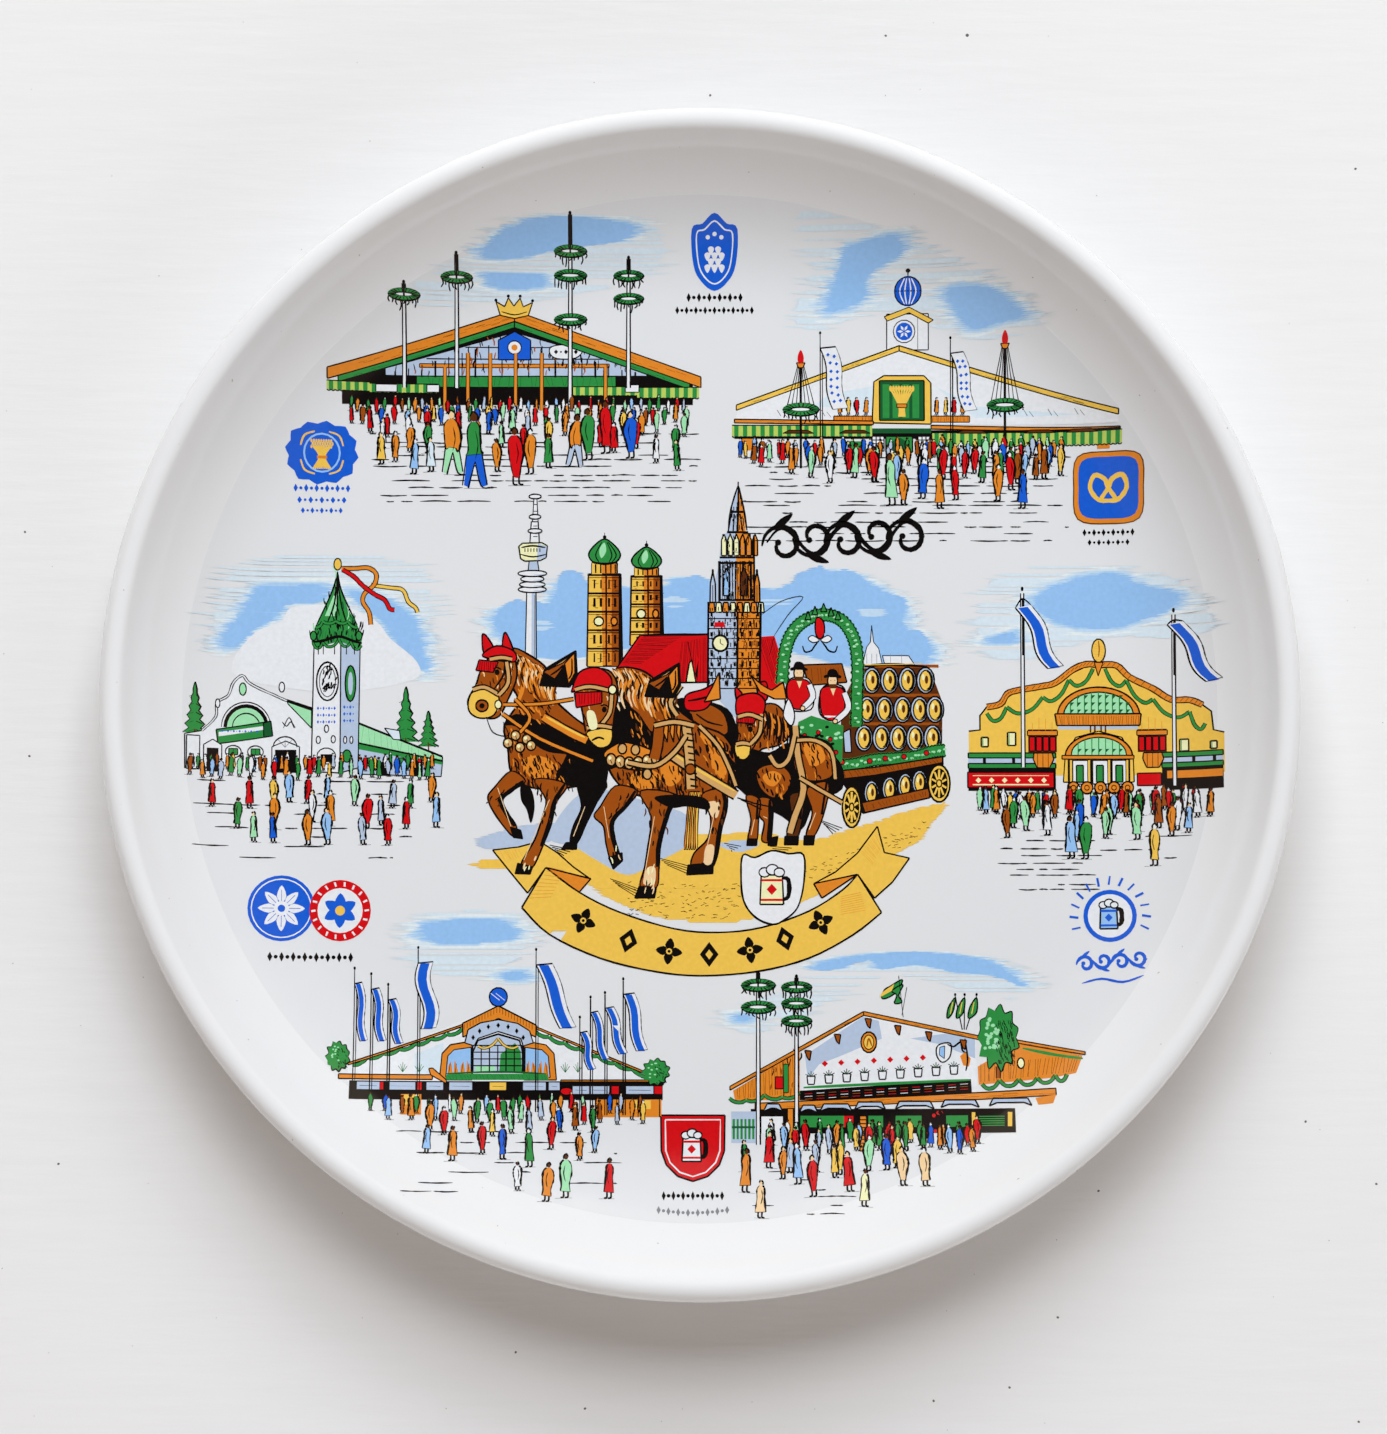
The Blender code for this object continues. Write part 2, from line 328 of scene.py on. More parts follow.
def colour_borders(flat, faces, labels, straighten):
    """The edges between different colours, without the corners along straight runs."""
    left = {}
    for face, label in zip(faces, labels):
        for a, b in zip(face, face[1:] + face[:1]):
            left[a, b] = label
    beyond = {}
    for (a, b), label in left.items():
        if left.get((b, a)) != label:
            beyond.setdefault(a, set()).add(b)
            beyond.setdefault(b, set()).add(a)
    for middle in list(beyond) if straighten else ():
        if len(beyond[middle]) != 2:
            continue
        a, c = beyond[middle]
        (ax, ay), (mx, my), (cx, cy) = flat[a], flat[middle], flat[c]
        reach = max(math.dist((ax, ay), (cx, cy)), 1e-9)
        off = abs((mx - ax) * (cy - ay) - (my - ay) * (cx - ax)) / reach
        between = (mx - ax) * (cx - mx) + (my - ay) * (cy - my) > 0
        if off < STRAIGHT and between and c not in beyond[a]:
            beyond[a] ^= {middle, c}
            beyond[c] ^= {middle, a}
            beyond[middle] = set()
    return sorted({(min(a, b), max(a, b)) for a, others in beyond.items() for b in others})


def flattened(shapes):
    """(points, triangles, colours): one sheet in which only the topmost shape shows."""
    points, index, triangles, colours = [], {}, [], []
    for (i, j), pieces in sorted(tiled(shapes).items()):
        corners, faces = [], []
        for _, piece in pieces:
            faces.append(list(range(len(corners), len(corners) + len(piece))))
            corners += [Vector(p) for p in piece]
        flat, _, found, _, _, sources = delaunay_2d_cdt(corners, [], faces, 1, SAME_CORNER, True)
        found = [list(face) for face in found]
        labels = []
        for face, source in zip(found, sources):
            x, y = (sum(flat[k][axis] for k in face) / 3 for axis in (0, 1))
            top = next((s for s in sorted(source, reverse=True) if covers(pieces[s][1], x, y)), None)
            labels.append(None if top is None else pieces[top][0])
        curved = math.hypot(abs(i + 0.5) + 0.5, abs(j + 0.5) + 0.5) * TILE > CURVED_FROM
        edges = colour_borders(flat, found, labels, not curved)
        kept = sorted({k for edge in edges for k in edge})
        if not kept:
            continue
        spot = {k: place for place, k in enumerate(kept)}
        corners = [flat[k] for k in kept]
        if curved:
            steps = range(1, round(TILE / GRID))
            corners += [Vector((i * TILE + a * GRID, j * TILE + b * GRID))
                        for a in steps for b in steps]
        colour_at = colour_finder(flat, found, labels)
        lines = [(spot[a], spot[b]) for a, b in edges]
        sheet, _, parts, _, _, _ = delaunay_2d_cdt(corners, lines, [], 0, SAME_CORNER, False)
        for face in parts:
            colour = colour_at(*(sum(sheet[k][axis] for k in face) / 3 for axis in (0, 1)))
            if colour is None:
                continue
            ids = []
            for k in face:
                key = (round(sheet[k].x, 4), round(sheet[k].y, 4))
                if key not in index:
                    index[key] = len(points)
                    points.append(key)
                ids.append(index[key])
            if len(set(ids)) == 3:
                triangles.append(ids)
                colours.append(colour)
    return points, triangles, colours


# The body's section ------------------------------------------------------------------------------


def well_height(radius):
    """Height of the well's surface: flat, then a power curve that meets the lip on its tangent."""
    share = max(0.0, (radius - FLAT_RADIUS) / WALL_RUN)
    return FLOOR_TOP + WALL_RISE * share**WALL_POWER


def well_slope(radius):
    """Angle of the well's surface above the horizontal."""
    share = max(0.0, (radius - FLAT_RADIUS) / WALL_RUN)
    return math.atan(WALL_RISE / WALL_RUN * WALL_POWER * share ** (WALL_POWER - 1.0))


def arc(centre, radius, start, end, steps):
    """Points on an arc, with its angles measured from +radius towards +Z."""
    found = []
    for i in range(steps + 1):
        angle = start + (end - start) * i / steps
        found.append((centre[0] + radius * math.cos(angle), centre[1] + radius * math.sin(angle)))
    return found


def well_radii(reach, steps=48):
    """Radii at which the well is divided: few on the flat, more on the curve."""
    flat = [0.0, 0.02, 0.04, 0.055]
    curve = [FLAT_RADIUS + WALL_RUN * i / steps for i in range(steps)]
    return [r for r in flat + curve if r < reach - 1e-6] + [reach]


def foot_profile():
    """The foot ring's section, from its outer root down, across its resting face and up inside."""
    inner_wall = FOOT_RADIUS - FOOT_WIDTH
    root = (FOOT_RADIUS + FOOT_ROUNDING, FLOOR_UNDERSIDE - FOOT_ROUNDING)
    inner_root = (inner_wall - FOOT_ROUNDING, FLOOR_UNDERSIDE - FOOT_ROUNDING)
    outer_edge = (FOOT_RADIUS - FOOT_ROUNDING, FOOT_ROUNDING)
    inner_edge = (inner_wall + FOOT_ROUNDING, FOOT_ROUNDING)
    quarter = math.pi / 2
    return (arc(root, FOOT_ROUNDING, quarter, 2 * quarter, 6)
            + arc(outer_edge, FOOT_ROUNDING, 0.0, -quarter, 6)
            + arc(inner_edge, FOOT_ROUNDING, -quarter, -2 * quarter, 6)
            + arc(inner_root, FOOT_ROUNDING, 0.0, quarter, 6))


def body_profile():
    """The porcelain's section, from the middle of the well out, over the lip and back under."""
    radii = well_radii(WALL_TOP[0])
    inside = [(r, well_height(r)) for r in radii]
    lip_start = math.pi / 2 + LIP_SLOPE
    lip = arc(LIP_CENTRE, LIP_RADIUS, lip_start, lip_start - math.pi, 24)
    underside = []
    for radius in reversed([r for r in radii[:-1] if r > FLAT_RADIUS]):
        slope = well_slope(radius)
        underside.append((radius + WALL_THICKNESS * math.sin(slope),
                          well_height(radius) - WALL_THICKNESS * math.cos(slope)))
    return inside + lip[1:] + underside + foot_profile() + [(0.02, FLOOR_UNDERSIDE)]


# Meshes ------------------------------------------------------------------------------------------


def new_object(name, mesh, slot_name, *nodes):
    """Links a piece of the plate, which rides on the root body and stands for CAD nodes."""
    piece = bpy.data.objects.new(name, mesh)
    bpy.context.scene.collection.objects.link(piece)
    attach(piece, "root")
    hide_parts(*nodes)
    return piece


def revolved(name, profile, capped):
    """A mesh turned about Z, from a profile of (radius, height) points that may start at r = 0."""
    shape = bmesh.new()
    rings = []
    for radius, height in profile:
        if radius < 1e-7:
            rings.append([shape.verts.new((0.0, 0.0, height))])
            continue
        ring = []
        for k in range(TURN_STEPS):
            angle = math.tau * k / TURN_STEPS
            ring.append(shape.verts.new((radius * math.cos(angle), radius * math.sin(angle),
                                         height)))
        rings.append(ring)
    for one, two in zip(rings, rings[1:]):
        for k in range(TURN_STEPS):
            n = (k + 1) % TURN_STEPS
            if len(one) == 1:
                shape.faces.new((one[0], two[k], two[n]))
            else:
                shape.faces.new((one[k], two[k], two[n], one[n]))
    if capped:
        centre = shape.verts.new((0.0, 0.0, profile[-1][1]))
        for k in range(TURN_STEPS):
            shape.faces.new((rings[-1][k], centre, rings[-1][(k + 1) % TURN_STEPS]))
    for face in shape.faces:
        face.smooth = True
    mesh = bpy.data.meshes.new(name)
    shape.to_mesh(mesh)
    shape.free()
    return mesh


def pierce(piece, bearing):
    """Cuts a hanging hole through the foot ring along its radius, at an angle from +Y."""
    direction = Vector((math.sin(bearing), math.cos(bearing), 0.0))
    mesh = bpy.data.meshes.new("pin")
    shape = bmesh.new()
    bmesh.ops.create_cone(shape, cap_ends=True, segments=24, radius1=HANG_HOLE_RADIUS,
                          radius2=HANG_HOLE_RADIUS, depth=3 * FOOT_WIDTH)
    middle = direction * (FOOT_RADIUS - FOOT_WIDTH / 2) + Vector((0, 0, HANG_HOLE_HEIGHT))
    turn = direction.to_track_quat("Z", "Y").to_matrix().to_4x4()
    bmesh.ops.transform(shape, matrix=Matrix.Translation(middle) @ turn, verts=shape.verts)
    shape.to_mesh(mesh)
    shape.free()
    pin = bpy.data.objects.new("pin", mesh)
    bpy.context.scene.collection.objects.link(pin)
    cut = piece.modifiers.new("Hanging hole", "BOOLEAN")
    cut.operation = "DIFFERENCE"
    cut.object = pin
    bpy.context.view_layer.update()
    evaluated = piece.evaluated_get(bpy.context.evaluated_depsgraph_get())
    cut_mesh = bpy.data.meshes.new_from_object(evaluated)
    piece.modifiers.clear()
    piece.data = cut_mesh
    bpy.data.objects.remove(pin)


def porcelain_body():
    """The plate itself, with its two hanging holes."""
    mesh = revolved("porcelain", body_profile(), True)
    mesh.materials.append(porcelain())
    piece = new_object("porcelain", mesh, "porcelain", "plate_body")
    for side in (-1, 1):
        pierce(piece, side * HANG_HOLE_SPREAD)


def film():
    """The clear film: it follows the well, and its edge rounds down into the glaze."""
    profile = [(r, well_height(r) + FILM_LIFT) for r in well_radii(FILM_RADIUS - FILM_EDGE)]
    for share in (0.35, 0.7, 1.0):
        radius = FILM_RADIUS - FILM_EDGE * (1 - share)
        profile.append((radius, well_height(radius) + FILM_LIFT * (1 - 2 * share * share)))
    mesh = revolved("flux", profile, False)
    mesh.materials.append(flux())
    new_object("flux", mesh, "clear_flux", "flux_film")


def printed(name, pen, slot_name, lift=0.0):
    """Flattens an island's shapes and lays them on the well, each colour its own material."""
    shifted = [(colour, [(x + PRINT_SHIFT[0], y + PRINT_SHIFT[1]) for x, y in polygon])
               for colour, polygon in pen.shapes]
    points, triangles, colours = flattened(shifted)
    vertices, normals = [], []
    for x, y in points:
        radius = math.hypot(x, y) * MM
        vertices.append((x * MM, y * MM, well_height(radius) + PRINT_LIFT + lift))
        slope = well_slope(radius)
        inward = -math.sin(slope) / max(radius, 1e-9) * MM
        normals.append((x * inward, y * inward, math.cos(slope)))
    mesh = bpy.data.meshes.new(name)
    mesh.from_pydata(vertices, [], triangles)
    used = sorted(set(colours))
    for colour in used:
        mesh.materials.append(enamel(colour))
    mesh.polygons.foreach_set("material_index", [used.index(c) for c in colours])
    mesh.polygons.foreach_set("use_smooth", [True] * len(triangles))
    mesh.normals_split_custom_set_from_vertices(normals)
    new_object(name, mesh, slot_name, "print_" + name)
    print("island", name, len(pen.shapes), "shapes", len(triangles), "triangles")


# Materials ---------------------------------------------------------------------------------------


def node(tree, kind, **inputs):
    """Adds a node and sets its inputs by name, with _ for a space."""
    made = tree.nodes.new(kind)
    for name, value in inputs.items():
        made.inputs[name.replace("_", " ")].default_value = value
    return made


def ramp(tree, source, low, high):
    """Spreads a value from low...high over 0...1."""
    spread = node(tree, "ShaderNodeMapRange", From_Min=low, From_Max=high)
    tree.links.new(source, spread.inputs["Value"])
    return spread.outputs["Result"]


def mixed(tree, factor, one, two):
    """A colour between one and two, which are colours or sockets."""
    mix = tree.nodes.new("ShaderNodeMix")
    mix.data_type = "RGBA"
    tree.links.new(factor, mix.inputs["Factor"])
    for name, value in (("A", one), ("B", two)):
        socket = [s for s in mix.inputs if s.name == name and s.type == "RGBA"][0]
        if isinstance(value, tuple):
            socket.default_value = (*value, 1.0)
        else:
            tree.links.new(value, socket)
    return [s for s in mix.outputs if s.type == "RGBA"][0]


def glossy(name, roughness, coat=0.0):
    """A new material with a Principled shader, and the place of each point on the plate."""
    material = bpy.data.materials.new(name)
    material.use_nodes = True
    tree = material.node_tree
    shader = tree.nodes["Principled BSDF"]
    shader.inputs["Roughness"].default_value = roughness
    shader.inputs["IOR"].default_value = 1.5
    shader.inputs["Coat Weight"].default_value = coat
    shader.inputs["Coat Roughness"].default_value = 0.04
    place = tree.nodes.new("ShaderNodeTexCoord").outputs["Object"]
    return material, tree, shader, place


def noise(tree, place, scale, detail=2.0, stretch=None):
    """A noise pattern; its scale is how many features there are in a metre."""
    if stretch:
        squeeze = node(tree, "ShaderNodeMapping", Scale=stretch)
        tree.links.new(place, squeeze.inputs["Vector"])
        place = squeeze.outputs["Vector"]
    made = node(tree, "ShaderNodeTexNoise", Scale=scale, Detail=detail)
    tree.links.new(place, made.inputs["Vector"])
    return made.outputs["Fac"]


def bumped(tree, shader, height, distance, strength=1.0):
    """Gives a shader a fine relief; distance is its depth in metres."""
    bump = node(tree, "ShaderNodeBump", Distance=distance, Strength=strength)
    tree.links.new(height, bump.inputs["Height"])
    tree.links.new(bump.outputs["Normal"], shader.inputs["Normal"])


def porcelain():
    """White glaze with a faint orange peel and a few iron specks; the foot's band is bare clay."""
    material, tree, shader, place = glossy("porcelain", 0.09, 0.25)
    cloud = noise(tree, place, 30.0)
    white = mixed(tree, cloud, (0.80, 0.815, 0.825), (0.835, 0.845, 0.85))
    speck = ramp(tree, noise(tree, place, 1500.0, 0.0), 0.885, 0.90)
    white = mixed(tree, speck, white, (0.55, 0.50, 0.45))
    parts = tree.nodes.new("ShaderNodeSeparateXYZ")
    tree.links.new(place, parts.inputs["Vector"])
    bare = ramp(tree, parts.outputs["Z"], *BARE_BAND)
    clay = mixed(tree, noise(tree, place, 4000.0, 4.0), (0.60, 0.57, 0.52), (0.74, 0.71, 0.66))
    tree.links.new(mixed(tree, bare, white, clay), shader.inputs["Base Color"])
    rough = node(tree, "ShaderNodeMapRange", To_Min=0.09, To_Max=0.75)
    tree.links.new(bare, rough.inputs["Value"])
    tree.links.new(rough.outputs["Result"], shader.inputs["Roughness"])
    bumped(tree, shader, noise(tree, place, 320.0, 1.0), 0.00002)
    return material


def flux():
    """The film over the glaze: almost the same white, a touch smoother and cooler."""
    material, tree, shader, place = glossy("clear_flux", 0.07, 0.3)
    white = mixed(tree, noise(tree, place, 45.0), (0.745, 0.764, 0.778), (0.770, 0.785, 0.797))
    tree.links.new(white, shader.inputs["Base Color"])
    bumped(tree, shader, noise(tree, place, 420.0, 1.0), 0.00001)
    return material


def enamel(colour):
    """A fired enamel, slightly uneven in depth where it was printed through a mesh."""
    name = "fired_" + colour
    if name in bpy.data.materials:
        return bpy.data.materials[name]
    material, tree, shader, place = glossy(name, 0.16, 0.5)
    base = linear(COLOURS[colour])
    thin = tuple(min(1.0, c * 1.10 + 0.003) for c in base)
    thick = tuple(c * 0.92 for c in base)
    depth = noise(tree, place, 1400.0, 3.0)
    tree.links.new(mixed(tree, depth, thick, thin), shader.inputs["Base Color"])
    bumped(tree, shader, noise(tree, place, 2600.0, 2.0), 0.000004)
    return material


def tabletop():
    """White painted board with very fine level brush marks and a few dark specks."""
    material, tree, shader, place = glossy("tabletop", 0.62)
    streaks = noise(tree, place, 260.0, 6.0, (0.22, 1.6, 1.0))
    cloud = noise(tree, place, 7.0)
    board = mixed(tree, streaks, (0.80, 0.80, 0.80), (0.87, 0.87, 0.868))
    board = mixed(tree, cloud, board, (0.86, 0.858, 0.85))
    speck = ramp(tree, noise(tree, place, 900.0, 0.0), 0.885, 0.90)
    board = mixed(tree, speck, board, (0.12, 0.11, 0.10))
    tree.links.new(board, shader.inputs["Base Color"])
    bumped(tree, shader, streaks, 0.0002, 0.5)
    return material


# Figures -----------------------------------------------------------------------------------------

COATS = ("green", "red", "ochre", "grey_blue", "yellow", "blue", "white", "brown", "light_green",
        "sky", "ochre", "red", "green")

# Half outlines of coats in heights of the figure: right side from the neck down, left side up.
CUTS = ([(0.05, 0.86), (0.12, 0.77), (0.13, 0.55), (0.10, 0.3), (0.12, 0.15), (-0.10, 0.13),
        (-0.08, 0.32), (-0.13, 0.56), (-0.11, 0.76), (-0.04, 0.86)],
        [(0.04, 0.86), (0.11, 0.76), (0.15, 0.56), (0.10, 0.34), (0.06, 0.12), (-0.05, 0.14),
        (-0.10, 0.4), (-0.12, 0.6), (-0.12, 0.77), (-0.05, 0.86)],
        [(0.04, 0.86), (0.09, 0.77), (0.10, 0.5), (0.14, 0.16), (-0.13, 0.14), (-0.09, 0.5),
        (-0.10, 0.74), (-0.04, 0.86)],)


def person(pen, x, y, height, coat, legs=None):
    """A standing figure in a long coat, seen from afar, with its feet at (x, y)."""
    far = height < 4.0
    own = pen.at(x, y, height, pen.chance.choice((-1, 1)), pen.chance.uniform(-0.06, 0.06))
    ink = 0.2 if far else 0.26
    wide = pen.chance.uniform(0.8, 1.12)
    cut = [(cx * wide,
            cy if cy > 0.2 or not legs else cy + 0.28) for cx, cy in pen.chance.choice(CUTS)]
    if legs:
        own.fill(legs, [(-0.14, 0.03), (-0.09, 0.5), (0.1, 0.5), (0.17, 0.03), (0.09, 0.0),
                (0.01, 0.34), (-0.07, 0.0)])
        for side in (-1, 1):
            own.line([(side * 0.1, 0.44), (side * 0.16, 0.03)], ink, ends=0.8)
            own.line([(0.01, 0.34), (side * 0.08, 0.02), (side * 0.14 + 0.06, -0.01)], ink)
    else:
        for foot in (-0.05, 0.05):
            own.line([(foot, 0.16), (foot, 0.02), (foot + 0.07, 0.0)], ink * 1.2, ends=0.8)
    own.line([(-0.14, -0.01), (0.24, -0.02)], 0.14, ends=0.3)
    own.fill(coat, cut)
    head = pen.chance.choice(("dark_brown", "white", "peach", "dark_brown"))
    own.oval(head, 0.0, 0.925, 0.05, 0.062, 8)
    half = len(cut) // 2
    own.line(cut[:half], ink * 1.35, ends=0.5, rough=0.4)
    own.line(cut[half:], ink * 0.85, ends=0.3, rough=0.5)
    own.line([cut[half - 1], cut[half]], ink * 0.7, ends=0.5)
    if not far:
        own.line([(0.02, 0.74), (0.05, 0.55), (0.01, 0.36)], 0.15, ends=0.2, rough=0.4)
    own.line([(-0.05, 0.93), (-0.01, 0.995), (0.05, 0.95), (0.05, 0.88)], ink * 1.1, ends=0.7)


def crowd(pen, far_row, near_row, rows, heights, thin=0.0):
    """Rows of figures. A row is (left, right, ground); heights are those of the far and near ones."""
    for row in range(rows):
        share = row / max(rows - 1, 1)
        left, right, y = (a + (b - a) * share for a, b in zip(far_row, near_row))
        height = heights[0] + (heights[1] - heights[0]) * share
        x = left + pen.chance.uniform(0, 0.4) * height
        while x < right:
            person(pen, x, y + pen.chance.uniform(-0.12, 0.12) * height,
                    height * pen.chance.uniform(0.9, 1.12), pen.chance.choice(COATS))
            x += height * pen.chance.uniform(0.32, 0.62) * (1 + thin * pen.chance.random())


def ground(pen, left, right, low, high, rows, density=0.7):
    """Level broken strokes, as an ink drawing shows paving."""
    for row in range(rows):
        y = high + (low - high) * (row + pen.chance.uniform(-0.25, 0.25)) / max(rows - 1, 1)
        x = left + pen.chance.uniform(0, 6)
        end = right - pen.chance.uniform(0, 6)
        while x < end:
            length = min(pen.chance.uniform(1.0, 6.5), end - x)
            if pen.chance.random() < density and length > 0.4:
                rise = pen.chance.uniform(-0.1, 0.1)
                pen.line([(x, y), (x + length / 2, y + rise), (x + length, y)], 0.2, ends=0.3,
                        rough=0.4)
            x += length + pen.chance.uniform(0.2, 1.2)


def brushed(pen, colour, outline, reach=2.2, strip=0.34, cover=1.0):
    """A patch laid on with a dry brush: level strips with ragged pointed ends."""
    edge = smooth(outline, True)
    low, high = min(p[1] for p in edge), max(p[1] for p in edge)
    y = low + strip / 2
    while y < high:
        crossings = []
        for (ax, ay), (bx, by) in zip(edge, edge[1:] + edge[:1]):
            if (ay > y) != (by > y):
                crossings.append(ax + (y - ay) / (by - ay) * (bx - ax))
        crossings.sort()
        for left, right in zip(crossings[::2], crossings[1::2]):
            if pen.chance.random() > cover:
                continue
            half = strip * pen.chance.uniform(0.45, 0.8)
            start = left - reach * pen.chance.random() ** 2
            end = right + reach * pen.chance.random() ** 2
            inset = max(0.1, min(0.6, (right - left) / 3))
            pen.fill(colour, [(start, y), (left + inset, y - half), (right - inset, y - half),
                    (end, y + half * 0.3), (right - inset, y + half), (left + inset, y + half)])
        y += strip


def sky(pen, outline, reach=2.0):
    """A patch of sky that fades at its edges through paler and paler tints."""
    middle_x = sum(p[0] for p in outline) / len(outline)
    middle_y = sum(p[1] for p in outline) / len(outline)
    half = max(math.dist(p, (middle_x, middle_y)) for p in outline)
    for colour, grown, cover in (("mist", 2.2, 0.6), ("wash", 1.5, 0.75), ("pale_sky", 0.8, 0.85),
            ("mid_sky", 0.2, 0.9), ("sky", -0.5, 1.0)):
        size = max(0.3, 1 + grown / half)
        wider = [(middle_x + (x - middle_x) * size,
                middle_y + (y - middle_y) * size) for x, y in outline]
        brushed(pen, colour, wider, reach * (1.2 + grown * 0.4), 0.3, cover)


def strap(pen, points, width, colour, ink=0.16):
    """A stroke of colour with ink along both sides: a ribbon, a beam, a strap or a pole."""
    pen.line(points, width + 2 * ink, "ink", 0.95, rough=0.06)
    pen.line(points, width, colour, 0.95, rough=0.04)


def hatch(pen, one, two, count, width=0.15, colour="ink"):
    """Strokes that run from points along one line to points along another."""
    for k in range(count):
        t = (k + pen.chance.uniform(0.2, 0.8)) / count
        u = min(1.0, max(0.0, t + pen.chance.uniform(-0.5, 0.5) / count))
        a = [one[0][i] + (one[1][i] - one[0][i]) * t for i in (0, 1)]
        b = [two[0][i] + (two[1][i] - two[0][i]) * u for i in (0, 1)]
        pen.line([a, b], width, colour, 0.2)


def fur(pen, outline, count, lean, length, colours=("ink", "ink", "ink", "ochre"), width=0.3):
    """Short curved strokes scattered over a patch, all leaning about the same way."""
    xs, ys = [p[0] for p in outline], [p[1] for p in outline]
    for k in range(count):
        x, y = pen.chance.uniform(min(xs), max(xs)), pen.chance.uniform(min(ys), max(ys))
        inside = False
        for (ax, ay), (bx, by) in zip(outline, outline[1:] + outline[:1]):
            if (ay > y) != (by > y) and x < ax + (y - ay) / (by - ay) * (bx - ax):
                inside = not inside
        if not inside:
            continue
        angle = math.radians(lean + pen.chance.uniform(-16, 16))
        reach = length * pen.chance.uniform(0.5, 1.0)
        dx, dy = reach * math.cos(angle), reach * math.sin(angle)
        bow = pen.chance.uniform(-0.15, 0.15)
        pen.line([(x, y), (x + dx / 2 - dy * bow, y + dy / 2 + dx * bow), (x + dx, y + dy)],
                width * pen.chance.uniform(0.6, 1.1), colours[k % len(colours)], 0.15)


def wreath(pen, x, y, half_width):
    """A ring of leaves seen from a little below, with short ribbons hanging from it."""
    own = pen.at(x, y)
    ry = half_width * 0.34
    for k in range(9):
        bx = half_width * (k / 4 - 1) * 0.95
        drop = own.chance.uniform(0.5, 1.7)
        low = -ry * math.sqrt(1 - (bx / half_width) ** 2)
        own.line([(bx, low), (bx + own.chance.uniform(-0.3, 0.3), low - drop * 0.5),
                (bx + own.chance.uniform(-0.2, 0.2), low - drop)], 0.24, ends=0.5)
    own.oval("ink", 0.05, -0.05, half_width + 0.14, ry + 0.2, 16)
    own.oval("green", -0.05, 0.05, half_width, ry, 16)
    own.oval("ink", 0, 0.06, half_width * 0.62, ry * 0.42, 12)
    own.oval("white", 0, 0.0, half_width * 0.5, ry * 0.24, 12)
    for k in range(21):
        angle = math.tau * k / 21 + 0.2
        c, s = math.cos(angle), math.sin(angle)
        own.line([(half_width * 0.6 * c, ry * 0.45 * s), (half_width * c, ry * 1.1 * s)], 0.26,
                "ink" if k % 3 else "dark_green", ends=0.7)


def maypole(pen, x, base, top, rings, half_width=2.5):
    """A pole with leafy rings."""
    pen.box("white", x - 0.3, base, x + 0.3, top - 0.5)
    pen.line([(x - 0.32, base), (x - 0.24, top)], 0.22, ends=0.9)
    pen.line([(x + 0.32, base), (x + 0.24, top)], 0.3, ends=0.8)
    for _ in range(9):
        y = base + (top - base) * pen.chance.uniform(0.05, 0.95)
        pen.line([(x + 0.2, y), (x + 0.24, y - 0.9)], 0.24, ends=0.4)
    for y in rings:
        wreath(pen, x, y, half_width)
    pen.line([(x, rings[0] - 0.3), (x, top)], 0.6, ends=0.5)
    pen.oval("ink", x, top + 0.2, 0.26, 0.34, 8)


def striped(pen, x0, y0, x1, y1, one="lime", two="green", width=0.7):
    """A straight awning with upright stripes and a scalloped lower edge."""
    pen.box(one, x0, y0, x1, y1)
    count = max(1, round(abs(x1 - x0) / width / 2))
    for k in range(count):
        x = x0 + (x1 - x0) * (k + 0.5) / count
        pen.box(two, x - width / 2, y0, x + width / 2, y1)
    pen.line([(x0, y1), (x1, y1)], 0.2, ends=0.9)
    for k in range(count * 2):
        a, b = (x0 + (x1 - x0) * (k + e) / (count * 2) for e in (0, 1))
        pen.line([(a, y0), ((a + b) / 2, y0 - 0.18), (b, y0)], 0.2, ends=0.8)


def streamer(pen, top, bottom, width, bend=0.8, dots=False, pole=None):
    """A long narrow flag hanging from (x, y) to (x, y), half blue and half white, or dotted."""
    if pole:
        pen.line([(top[0] - width / 2, pole), (top[0] - width / 2, top[1] + 2.2)], 0.2, ends=0.9,
                rough=0.3)
        pen.line([(top[0] - width / 2 + 0.35, pole), (top[0] - width / 2 + 0.35, top[1])], 0.2,
                ends=0.9, rough=0.4)
    left, middle, right = [], [], []
    for k in range(9):
        t = k / 8
        x = top[0] + (bottom[0] - top[0]) * t + bend * math.sin(math.tau * t) * 0.6
        y = top[1] + (bottom[1] - top[1]) * t
        left.append((x - width / 2, y))
        middle.append((x + width * 0.26, y))
        right.append((x + width / 2, y + 0.25))
    pen.fill("white", left + right[::-1])
    if dots:
        for k in range(1, 8):
            for side in (0.3, 0.7):
                x = left[k][0] + width * side
                y = left[k][1] + pen.chance.uniform(-0.2, 0.2)
                pen.fill("blue", [(x - 0.3, y), (x, y - 0.3), (x + 0.3, y + 0.05), (x, y + 0.35)])
    else:
        pen.fill("blue", [(x + width * 0.16, y) for x, y in left] + middle[::-1])
    pen.line(left, 0.22, ends=0.8)
    pen.line(right, 0.12, ends=0.5, rough=0.5)
    pen.line([left[0], right[0]], 0.3, ends=0.8)
    pen.line([left[-1], right[-1]], 0.2)
    pen.oval("ink", top[0] - width / 2, top[1] + 2.5, 0.2, 0.28, 8)


